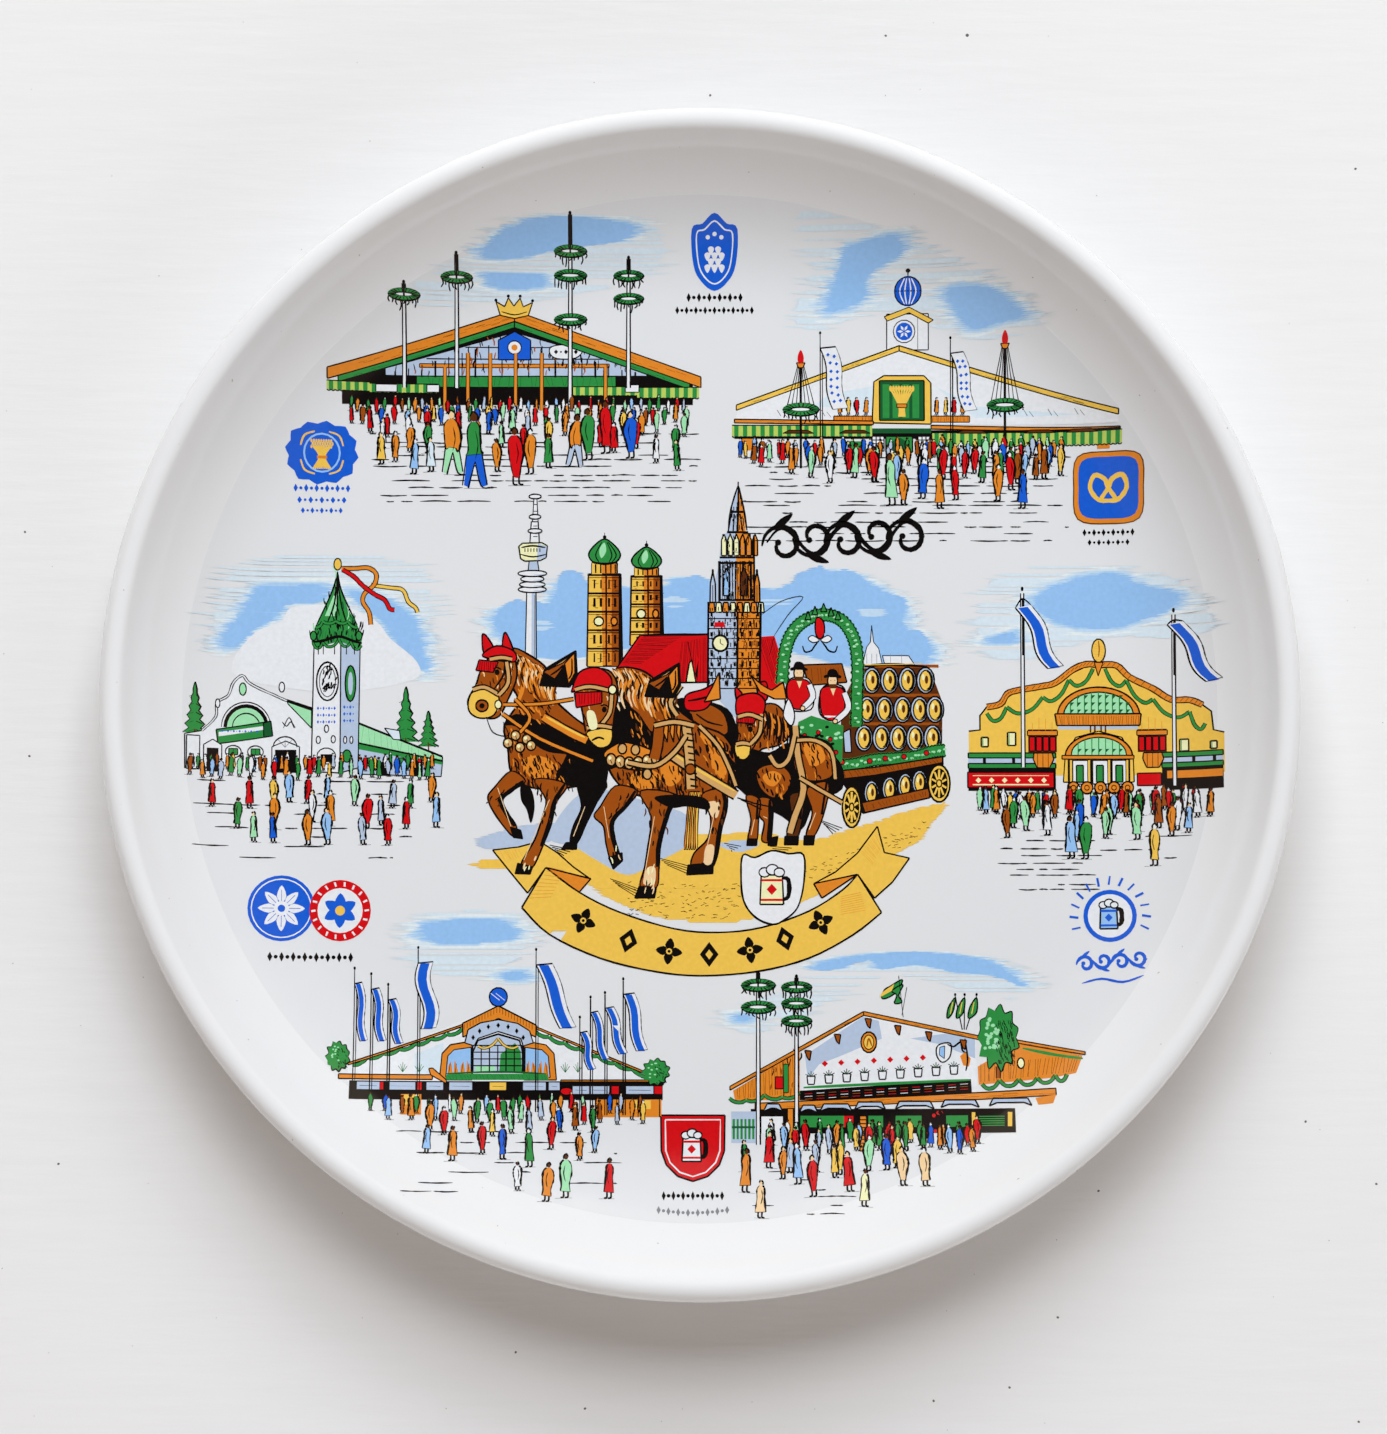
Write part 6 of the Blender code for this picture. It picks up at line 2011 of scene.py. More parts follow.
def rear_horses(pen):
    """The second pair, mostly hidden behind the first one."""
    pen.blob("ink", [(-4.5, 1.6), (-1.3, 2.1), (4.1, 0.5), (6.2, -3.8), (9.5, -6.5), (13.8, -6.5),
            (18.1, -5.4), (22.1, -8.1), (22.4, -12.4), (18.1, -14.6), (15.9, -18.9), (12.7, -16.8),
            (8.4, -14.6), (5.2, -11.9), (0.9, -9.2), (-2.9, -3.8)])
    pen.shape("brown", [(-2.1, 0.5), (0.9, 1.3), (3.5, -0.3), (4.1, -3.3), (1.9, -3.8),
            (-1.3, -2.2)], 0.3, curved=True)
    pen.shape("red", [(-2.6, 2.7), (0.3, 3.7), (2.5, 4.8), (1.7, 2.1), (0.3, 0.4), (-2.6, 0.4)],
            0.3, curved=True)
    pen.line([(-2.3, 1.8), (-0.5, 2.1), (1.7, 2.7)], 0.34)
    pen.shape("ochre", [(0.3, 1.6), (1.5, 3.8), (2.7, 6.4), (2.9, 2.1)], 0.3)
    pen.line([(-1, -0.3), (0.9, -1.6), (3.3, -2.2)], 0.3)
    pen.shape("brown", [(14.8, -4.4), (17.5, -4.1), (20.5, -5.2), (21.2, -8.1), (20.5, -10.6),
            (17, -11.1), (14.8, -9.2)], 0.34, curved=True)
    pen.blob("ochre", [(16.2, -5.4), (18.6, -5.2), (19.7, -7.6), (17.5, -8.7)])
    pen.shape("brown", [(8.9, 0.5), (11.6, 1.3), (13.5, -0.8), (13.9, -3.8), (12.1, -5.4),
            (9.5, -6), (7.8, -7.6), (7.6, -3.8)], 0.3, curved=True)
    for k in range(12):
        x, y = 9.9 + k * 0.36, 0.3 - k * 0.14
        pen.line([(x, y), (x + 0.3, y - 1.7), (x + 0.1, y - 3.6 - (k % 3) * 0.5)],
                0.34 if k % 3 else 0.26, "ink" if k % 3 else "ochre")
    pen.blob("ink", [(7.8, -6), (10.8, -6.5), (13.8, -4.9), (13.2, -7.6), (9.5, -9.2), (7.6, -8.1)])
    pen.shape("brown", [(8.7, -9.5), (10.8, -8.4), (13.2, -8.9), (14.3, -10.8), (13.2, -13.3),
            (11.1, -13.8), (9.2, -12.2)], 0.32, curved=True)
    pen.blob("ochre", [(9.7, -10.3), (11.3, -9.5), (12.7, -10.3), (11.6, -11.9), (10.3, -11.6)])
    fur(pen, [(14.8, -4.4), (17.5, -4.1), (20.5, -5.2), (21.2, -8.1), (20.5, -10.6), (17, -11.1),
            (14.8, -9.2)], 46, -70, 1.5)
    fur(pen, [(8.9, 0.5), (11.6, 1.3), (13.5, -0.8), (13.9, -3.8), (12.1, -5.4), (9.5, -6),
            (7.8, -7)], 40, -80, 1.6)
    fur(pen, [(8.7, -9.5), (10.8, -8.4), (13.2, -8.9), (14.3, -10.8), (13.2, -13.3), (11.1, -13.8),
            (9.2, -12.2)], 40, -75, 1.3)
    leg(pen, "brown", [(8.4, -14.1), (9.2, -16.8), (9.9, -17.9), (9.5, -20.6), (10.8, -20.8),
            (11.2, -17.9), (11.1, -14.1)], [(10.5, -20.3), (12.1, -20), (11.9, -21.5),
            (10.5, -21.5)])
    leg(pen, "dark_brown", [(14, -13.5), (14.3, -17.3), (13.5, -20), (15.1, -20.3), (16, -17.3),
            (16.2, -13.3)], [(13.2, -20), (15.4, -20), (15.3, -21.4), (13.1, -21.4)])
    leg(pen, "brown", [(16.7, -12.4), (17.6, -16.2), (16.6, -19.7), (17.8, -20.1), (19.4, -16.5),
            (20.2, -11.4)], [(16.3, -19.9), (18, -19.9), (17.8, -21.4), (16.2, -21.4)])
    leg(pen, "brown", [(7, -13.5), (7.8, -17.3), (7.3, -20.6), (8.7, -20.8), (9, -17.3),
            (9.2, -14.1)], [(7.2, -20.4), (8.8, -20.4), (8.7, -21.5), (7.1, -21.5)])
    horse_head(pen, [(5.6, -1.4), (6.5, 0.4), (8.7, 1), (10.3, -0.3), (10, -2.7), (8.4, -5.4),
            (7, -7.6), (5.8, -7.7), (5.2, -6), (5.7, -3.8)], [(5.2, -5.4), (6.1, -4.8), (7.6, -5),
            (7.6, -6.8), (6.7, -7.7), (5.5, -7.2)], [(5.4, 1.6), (6.2, 2.7), (8.7, 3), (10.1, 1.6),
            (9.5, -0.8), (7.8, -0.3), (5.7, -0.7)], ([(5.6, 1.6), (5.3, 4), (6.5, 2.7)],
            [(9.2, 2.1), (8.8, 4.3), (10.3, 4.8), (10.4, 2.1)]), [(5.6, -0.4), (8.7, -0.7),
            (8.3, -1.9), (5.5, -1.7)], (7.7, -2.8), ([(5.4, -5.2), (6.5, -5), (7.7, -5.2)],
            [(9.5, -0.3), (9.2, -3.3), (7.7, -5.2)], [(5.7, -0.8), (7.6, -0.4), (9.7, -1.2)]))
    for points, width in (([(14.9, -2.2), (15.3, -7), (16.2, -12.4), (14.8, -16.8), (14, -19.5)],
            0.9), ([(14.8, -4.6), (18.1, -4.6), (20.7, -6.5), (21.3, -10.8)], 0.5),
            ([(10.8, -7), (12.1, -8.7), (13.8, -7.6), (14.8, -3.8)], 0.6),
            ([(15.6, -10.6), (18.6, -12.4), (22.4, -14.6)], 0.5)):
        strap(pen, points, width, "tan", 0.26)
    pen.shape("ochre", [(7.8, 5.9), (9.7, 4.3), (11.1, 3.5), (13, 4.8), (13.5, 2.1), (11.6, 2.1),
            (9.2, 3.3)], 0.28)
    pen.shape("white", [(13, -0.6), (13.8, 2.1), (14.8, -0.3), (14.3, -2.2)], 0.24, curved=True)


def left_horse(pen):
    """The near-side leader: head to the left, one foreleg raised."""
    leg(pen, "ink", [(-19.8, -11.4), (-19.3, -15.2), (-20.6, -18.4), (-21.1, -20.8), (-20, -21.1),
            (-18.5, -17.9), (-16.9, -14.6), (-15.3, -11.4)], [(-21.8, -21), (-20, -20.9),
            (-20.1, -22.1), (-22.5, -22.1)])
    pen.shape("brown", [(-30.6, 10), (-28.1, 9.4), (-24.7, 6.7), (-24.1, 2.7), (-20.9, -0.6),
            (-16.9, -3.8), (-15.3, -8.1), (-16.3, -11.4), (-19.6, -11.9), (-23.9, -12.4),
            (-28.2, -11.9), (-30.6, -9.7), (-31.1, -6), (-31.7, -2.2), (-29.5, 1.6), (-30.6, 4.8)],
            0.34, curved=True)
    pen.blob("ink", [(-23.6, -10.8), (-22.3, -8.1), (-20.9, -5.4), (-18.5, -3.8), (-15.3, -5.4),
            (-15.3, -11.4), (-17.4, -14.6), (-19.3, -12.4), (-21.4, -11.9)])
    pen.blob("ink", [(-31.9, -2.1), (-29.8, -2.4), (-26.6, -5.4), (-24.4, -6.5), (-21.2, -7),
            (-18, -8.7), (-18.5, -6.5), (-21.7, -3.8), (-26, -1.6), (-29.8, -0.3)])
    for a, b, c in (((-30, 0.5), (-28.7, 4.3), (-29.3, 7.6)), ((-26, 4.3), (-24.9, 2.1),
            (-24.4, 4.8))):
        pen.line([a, b, c], 0.6, "ochre")
    pen.blob("ochre", [(-29, -8.1), (-26.6, -7), (-23.9, -8.1), (-24.4, -10.3), (-27.1, -10.8)])
    fur(pen, [(-30.2, 4.8), (-29, 4.8), (-24.9, 2.1), (-24.4, -0.8), (-26, -3.3), (-29.2, -0.3),
            (-31.1, -1.6)], 60, -60, 1.8)
    fur(pen, [(-30.6, -6), (-28.2, -6), (-20.6, -7.6), (-20.6, -11.6), (-23.9, -12.2),
            (-28.2, -11.8), (-30.3, -9.5)], 110, -75, 1.6)
    fur(pen, [(-31.1, -2.2), (-29.5, -3.3), (-29.2, -9.2), (-30.7, -8.7)], 24, -80, 1.5)
    for k in range(64):
        t = k / 63
        x = -30.6 + t * 6.4 + pen.chance.uniform(-0.2, 0.2)
        y = 9.7 - t * 3.4 + pen.chance.uniform(-0.2, 0.3)
        fall = pen.chance.uniform(2.0, 5.6)
        pen.line([(x, y), (x + 0.9, y - fall * 0.35), (x + 0.6, y - fall * 0.7),
                (x + 1.0, y - fall)], 0.36, ("ink", "ochre", "dark_brown", "peach", "ochre")[k % 5],
                0.25)
    for k in range(18):
        x, y = -29.2 + pen.chance.uniform(0, 9), -11.9 + pen.chance.uniform(0, 3.5)
        pen.line([(x, y), (x + 0.2, y - pen.chance.uniform(0.7, 1.4))], 0.26)
    leg(pen, "brown", [(-30.6, -9.5), (-33.3, -12.2), (-34.3, -13.8), (-33.3, -16.2),
            (-31.1, -19.2), (-30, -20), (-29.7, -18.4), (-31.1, -16.2), (-31.9, -14.1),
            (-30, -12.4), (-28.3, -11.1)], [(-30.7, -18.5), (-29, -19), (-28.7, -20.4),
            (-30.2, -20.2)])
    leg(pen, "brown", [(-26.8, -10.8), (-25, -14.1), (-25.7, -17.3), (-26.8, -20.6), (-29, -24.6),
            (-27.2, -25.1), (-25.5, -21.6), (-24.1, -17.9), (-23.4, -14.6), (-21.7, -11.6)],
            [(-29.5, -24.3), (-27.1, -24.9), (-27.5, -26.1), (-29.9, -26)])
    pen.blob("ink", [(-29, -11.6), (-27.4, -12.4), (-26.8, -15.2), (-27.4, -17.9), (-28.1, -15.7),
            (-29, -14.1)])
    fur(pen, [(-26.8, -11.1), (-22, -11.9), (-24.1, -17.9), (-25.7, -17.9)], 26, -85, 1.4,
            ("ink", "dark_brown"))
    fur(pen, [(-28.7, -23.8), (-26, -21.6), (-27, -25.1), (-29.2, -24.9)], 14, -100, 1.4,
            ("cream", "ink", "peach"))
    fur(pen, [(-32.5, -11.9), (-28.7, -11.4), (-31.9, -15.2), (-34.1, -14.1)], 16, -130, 1.2,
            ("ink", "dark_brown"))
    horse_head(pen, [(-35.4, 7), (-33.5, 9.3), (-30.6, 9.6), (-29.7, 5.9), (-31.1, 2.1),
            (-32.7, -0.8), (-35.2, -0.8), (-37.2, 0.5), (-37.5, 2.1), (-36.3, 4.3)],
            [(-37.5, 1.6), (-36.7, 3.3), (-34.1, 3.6), (-32.6, 2.3), (-33.3, -0.4), (-35.5, -1),
            (-37.2, -0.1)], [(-35.3, 9.2), (-33, 10.7), (-30.2, 9.8), (-30.1, 8.1), (-33.5, 8.5)],
            ([(-35, 9.4), (-35.3, 12.4), (-34.5, 12.1), (-33.4, 10)],
            [(-32, 10), (-31.8, 12.7), (-31.1, 12.1), (-30.2, 9.2)]),
            [(-35.8, 8.4), (-32.7, 8.1), (-33.5, 6.4), (-36.3, 6.7)], (-32.9, 6.4),
            ([(-36.8, 3.6), (-34.9, 4), (-32.6, 2.8)], [(-31.4, 8.1), (-31.1, 4.8), (-32.6, 2.7)],
            [(-34.1, 8.5), (-32.2, 8.8), (-30.5, 8.5)]))
    pen.disc("brown", -35.3, 1, 1.0, 0.95, 0.3)
    pen.oval("ink", -35.3, 1, 0.45, 0.45, 8)
    pen.line([(-33.3, 3.8), (-31.9, 5.9), (-31.7, 7.6)], 0.36)
    pen.line([(-34.6, -0.8), (-33.5, -3.3), (-31.1, -3.8), (-31.9, -1.6)], 0.2)
    pen.disc("cream", -32.7, 1.2, 0.55, 0.7, 0.24)
    for points, width in (([(-31.9, 1.2), (-26, 1.3), (-20.6, 2.1)], 0.4),
            ([(-32, -0.3), (-26, -4.3), (-17.5, -7.9)], 0.45), ([(-30, 2.1), (-27.6, -0.8),
            (-29.2, -3.3)], 0.45)):
        strap(pen, points, width, "ochre", 0.18)
    for x, y in ((-31.1, -5), (-29.9, -3.8), (-28.1, -4.4), (-29.2, -5.7), (-27.4, -5.4)):
        pen.disc("tan", x, y, 0.75, 0.8, 0.3)
        pen.oval("cream", x - 0.2, y + 0.2, 0.3, 0.3, 8)
        pen.line([(x, y), (x + 0.2, y - 0.6)], 0.24)


def collar(pen, x, y, size, flip):
    """The tall pointed top of a harness collar, ochre inside and dark outside."""
    own = pen.at(x, y, size, flip)
    own.shape("ink", [(-3.2, -3.2), (-2.4, -0.6), (2.3, 2.2), (2.5, -1.5), (1.4, -3.4)], 0.28)
    own.shape("brown", [(-2.7, -1.1), (2.1, 1.9), (0.9, 0.4), (-0.9, -2.2)], 0.26)
    own.shape("tan", [(-2.0, -0.8), (1.9, 1.7), (0.3, 0.3)], 0.22)
    own.shape("ochre", [(2.1, 1.9), (2.2, -1.2), (1.2, -3.0), (0.6, 0.2)], 0.26)
    own.line([(1.7, 1.0), (1.7, -1.2), (1.2, -2.2)], 0.3)
    own.line([(-1.6, -1.6), (-0.4, -0.8), (0.4, 0.0)], 0.3)


def front_horse(pen):
    """The off-side leader, nearest the viewer, with a long pale harness strap."""
    pen.blob("ink", [(-16.3, -1.6), (-12, 1.6), (-7.7, 0.5), (-4.5, 1.6), (-1.3, -1.6),
            (-4.5, -9.2), (-8.8, -12.4), (-13.1, -10.8), (-15.8, -8.1)])
    pen.shape("brown", [(-13.7, 7), (-9.9, 6.8), (-7.2, 4.8), (-5.1, 1.6), (-0.8, -1.9),
            (3.5, -3.8), (5.4, -7.6), (4.9, -11.9), (2.5, -14.6), (-1.3, -13.8), (-7.7, -13.8),
            (-12, -12.7), (-14.7, -9.7), (-15.3, -6), (-12.8, -2.7), (-11.5, 0.5), (-13.7, 3.8)],
            0.36, curved=True)
    pen.blob("ink", [(-13.7, 1.6), (-10.4, 0), (-7.7, -3.3), (-5.1, 0.5), (-4.5, -1.6),
            (-7.7, -6.5), (-12, -8.1), (-15.3, -9.2), (-15.3, -5.4), (-13.7, -2.7)])
    pen.blob("ochre", [(-0.5, -3.3), (2.5, -4.1), (4.2, -7), (3.5, -10.8), (1.9, -9.2), (0.9, -6)])
    pen.blob("ochre", [(-11.5, -10.3), (-8.8, -9.2), (-6.7, -10.3), (-7.7, -12.2), (-10.4, -12.2)])
    pen.blob("ochre", [(-6.7, -8.7), (-4, -8.1), (-3.4, -10.8), (-5.6, -11.9)])
    pen.blob("peach", [(-12.8, 4.8), (-9.9, 4.8), (-8.8, 3.8), (-11, 3.5)])
    fur(pen, [(-4.5, -2.2), (-0.8, -2.4), (3.5, -4.3), (5.4, -7.6), (4.9, -11.9), (2.5, -14.3),
            (-1.3, -13.5), (-2.6, -8.1)], 150, -70, 1.9, ("ink", "ink", "ochre", "ink", "brown"))
    fur(pen, [(3.3, -3.8), (5.7, -7), (5.4, -11.9), (3.5, -14.1), (4.2, -9.2)], 60, -80, 1.8,
            ("ink",), 0.4)
    fur(pen, [(-14.7, -9.2), (-8.8, -8.1), (-3.4, -7.6), (-2.4, -12.4), (-4.5, -13.8),
            (-12, -12.6)], 120, -72, 1.7)
    fur(pen, [(-12, 0.5), (-7.7, -0.3), (-5.1, 1.6), (-4.5, -3.3), (-7.7, -7), (-11.5, -5.4)], 60,
            -70, 1.8, ("ochre", "brown", "dark_brown"))
    for k in range(84):
        t = k / 83
        x = -14.8 + t * 9.8 + pen.chance.uniform(-0.2, 0.2)
        y = 6.8 - 4.4 * max(0.0, t - 0.35) + pen.chance.uniform(-0.3, 0.3)
        fall = pen.chance.uniform(2.6, 6.6)
        pen.line([(x, y), (x + 1.0, y - fall * 0.35), (x + 0.6, y - fall * 0.7),
                (x + 1.2, y - fall)], 0.4, ("ink", "ochre", "peach", "dark_brown", "ochre")[k % 5],
                0.25)
    for k in range(34):
        x, y = -12 + pen.chance.uniform(0, 12), -13.8 + pen.chance.uniform(0, 4)
        pen.line([(x, y), (x + 0.15, y - pen.chance.uniform(0.7, 1.5))], 0.28)
    leg(pen, "brown", [(-13.9, -11.9), (-16.3, -15.2), (-17.3, -16.8), (-15.8, -18.4),
            (-15.4, -21.1), (-14.5, -24.1), (-13.1, -23.5), (-13.9, -20.6), (-14.1, -17.6),
            (-12, -15.2), (-10.4, -12.7)], [(-15, -23.4), (-12.8, -22.6), (-12.7, -23.9),
            (-14.2, -25.3)])
    leg(pen, "brown", [(-9.9, -12.7), (-8.2, -16.8), (-8.7, -21.6), (-9.2, -24.9), (-9.9, -28.1),
            (-7.3, -28.2), (-6.9, -24.9), (-6.6, -21.1), (-5.2, -16.2), (-4.2, -13.3)],
            [(-10.1, -28), (-7.3, -28.2), (-7.6, -29.9), (-10.8, -29.9)])
    leg(pen, "brown", [(-0.1, -13.3), (1.3, -16.8), (0.9, -20.3), (-1.3, -22.7), (-1.8, -24.9),
            (-0.3, -25.1), (0.9, -24.6), (1.7, -24.9), (2.5, -22.7), (3.1, -18.9), (4, -15.2),
            (3.5, -12.4)], [(-2.3, -24.6), (-0.3, -24.4), (-0.4, -26.1), (-2.5, -26.2)])
    pen.shape("ink", [(-0.1, -24.3), (1.8, -24.3), (1.7, -26), (-0.4, -26.1)], 0.2)
    pen.blob("peach", [(0.6, -21.6), (1.9, -21.6), (1.5, -24.3), (0.3, -24.3)])
    pen.blob("peach", [(0.9, -14.6), (2.7, -14.6), (2.5, -16.8), (1.5, -16.8)])
    pen.blob("peach", [(-8.8, -25.1), (-7.5, -25.1), (-7.7, -27.6), (-9.4, -27.6)])
    horse_head(pen, [(-20.4, 4.3), (-18.5, 6.7), (-15, 6.7), (-13.5, 3.8), (-14.1, -0.6),
            (-14.8, -4.6), (-16.6, -5.5), (-18.4, -4.1), (-19.3, 0.5)],
            [(-18.6, -3.5), (-16.6, -2.7), (-14.5, -2.8), (-14.8, -5.2), (-16.8, -5.7)],
            [(-20.9, 3.5), (-19.7, 6.4), (-16.9, 7.2), (-14.7, 5.7), (-14.9, 3.8), (-18, 4.3),
            (-20.6, 3.3)], ([(-21.5, 6.4), (-20.6, 6.2), (-18.9, 5.3), (-19.7, 3.7), (-20.5, 4)],),
            [(-20.5, 3.1), (-16.1, 3.3), (-16.1, 1.4), (-20.2, 0.7)], (-15.7, 0.4),
            ([(-20.4, 3.6), (-18, 4.1), (-14.6, 3.4)], [(-14.5, 3.5), (-14.8, 0), (-16.3, -2.2)],
            [(-18.5, -2.6), (-16.6, -2.2), (-14.5, -2.5)]))
    pen.blob("cream", [(-18.5, 0), (-17.3, 0), (-16.8, -2.4), (-18, -2.7)])
    pen.disc("cream", -14.4, 3.6, 0.65, 0.75, 0.28)
    pen.line([(-17.7, -4.6), (-16.6, -4.1), (-15.7, -4.4)], 0.34)
    pen.line([(-19, -0.3), (-18.2, -2.4)], 0.4)
    pen.shape("ochre", [(-15.8, -7), (-14.2, -5.4), (-12, -4.9), (-7.7, -6.5), (-8.8, -9.2),
            (-13.1, -8.9)], 0.3, curved=True)
    for k in range(6):
        bx, by = -14.6 + k * 1.45, -7.7 - 0.55 * math.sin(k * 0.7)
        pen.disc("tan", bx, by, 0.8, 1.0, 0.32)
        pen.oval("cream", bx - 0.2, by + 0.3, 0.28, 0.3, 8)
        pen.line([(bx - 0.1, by), (bx + 0.15, by - 0.6)], 0.3)
    for x, y in ((-8.8, -10), (-10.7, -6.1), (-12.8, -5.9)):
        pen.disc("tan", x, y, 0.7, 0.85, 0.3)
    strap(pen, [(-5.1, -6.8), (-0.2, -10), (5.4, -13.4)], 1.3, "tan", 0.3)
    pen.line([(-4.5, -6.8), (-0.2, -9.6), (5.2, -12.7)], 0.4, "yellow")
    strap(pen, [(-25.5, -0.8), (-21.2, -3.3), (-18.5, -4.6)], 1.15, "ochre", 0.26)
    pen.line([(-25, -0.8), (-21.2, -2.9), (-18.8, -4.1)], 0.4, "yellow")
    strap(pen, [(-6.9, -2.2), (-7.2, -5.4), (-7.7, -7.6)], 1.5, "brown", 0.24)
    for k in range(3):
        pen.shape("ochre", [(-6.2 + k * 1.05, -3.3), (-6 + k * 1.0, -1.6), (-5.4 + k * 1.0, -1.7),
                (-5.6 + k * 1.0, -4.9)], 0.26)
    for points, width in (([(-0.5, -2.2), (2.5, -5.4), (4.4, -9.2), (5.4, -11.9)], 0.5),
            ([(-2.6, -1.6), (-2.1, -6.5), (-1.8, -12.4)], 1.35), ([(-4, -0.6), (-5.1, 1.6),
            (-3.4, 4.3)], 0.6), ([(-12, -8.1), (-7.7, -8.7), (-4.5, -6.5), (-2.6, -3.8)], 0.6),
            ([(-7.7, -2.2), (-4.5, -1.6), (-1.3, -2.2)], 0.6)):
        strap(pen, points, width, "tan", 0.28)
    for k in range(10):
        y = -2.4 - k * 1.05
        pen.line([(-2.6 + k * 0.08, y), (-1.4 + k * 0.08, y - 0.2)], 0.34, ends=0.9)
    pen.disc("brown", -1.9, -9.2, 0.8, 0.85, 0.28)
    for k in range(6):
        x = -2.5 + k * 0.28
        pen.line([(x + 0.6, -12.7), (x + 0.2, -17.3), (x - 0.3 + k * 0.1, -22.2)], 0.62)
        pen.line([(x + 0.6, -12.9), (x + 0.2, -17.3), (x - 0.3 + k * 0.1, -22)], 0.28,
                "yellow" if k % 2 else "ochre")
    for a, b in (((5.6, -13.8), (8.1, -14.6)), ((6.2, -14.1), (9.5, -15.7)),
            ((7.8, -14.6), (11.6, -15.4))):
        pen.line([a, b], 0.5)
    fur(pen, [(-9.9, -12.6), (-4.2, -13.3), (-6.2, -20.6), (-8.4, -21.1)], 26, -85, 1.5,
            ("ink", "dark_brown"))
    fur(pen, [(-13.9, -12.4), (-10.4, -12.7), (-13.7, -16.8), (-16.3, -16.2)], 22, -110, 1.4,
            ("ink", "dark_brown"))
    fur(pen, [(-0.1, -13.3), (4, -13.3), (3.1, -18.9), (0.9, -18.9)], 22, -85, 1.4,
            ("ink", "dark_brown"))
    fur(pen, [(-9.6, -24.3), (-6.9, -24.3), (-7.2, -28.1), (-9.9, -28.1)], 16, -95, 1.6,
            ("cream", "ink", "peach"))
    fur(pen, [(-15.3, -21.1), (-13.8, -20.6), (-13.1, -23.5), (-14.5, -24.1)], 12, -80, 1.3,
            ("cream", "ink", "peach"))
    pen.blob("ink", [(-7.7, -13.8), (-4.5, -13.3), (0.3, -13.8), (1.1, -15.7), (-2.4, -15.2),
            (-5.1, -15.4)])
    collar(pen, -6, 5.7, 1.0, 1)
    collar(pen, -22.7, 7.6, 1.05, 1)


def scene_centre():
    """A barrel wagon drawn by four horses before old towers."""
    pen = Pen(17)
    town(pen)
    paving(pen)
    tail = [(-33.5, -22.2), (-29.3, -21.7), (-26, -20.8), (-23.2, -22.6), (-20.6, -24.9),
            (-17.8, -26.9), (-25, -25), (-27.9, -29.1), (-31.1, -25.2)]
    pen.shape("yellow", tail, 0.28)
    hatch(pen, ((-32.5, -22.3), (-29.2, -22.1)), ((-31.5, -23.9), (-28.4, -23.3)), 7, 0.16, "ochre")
    wagon(pen)
    rear_horses(pen)
    left_horse(pen)
    front_horse(pen)
    return pen


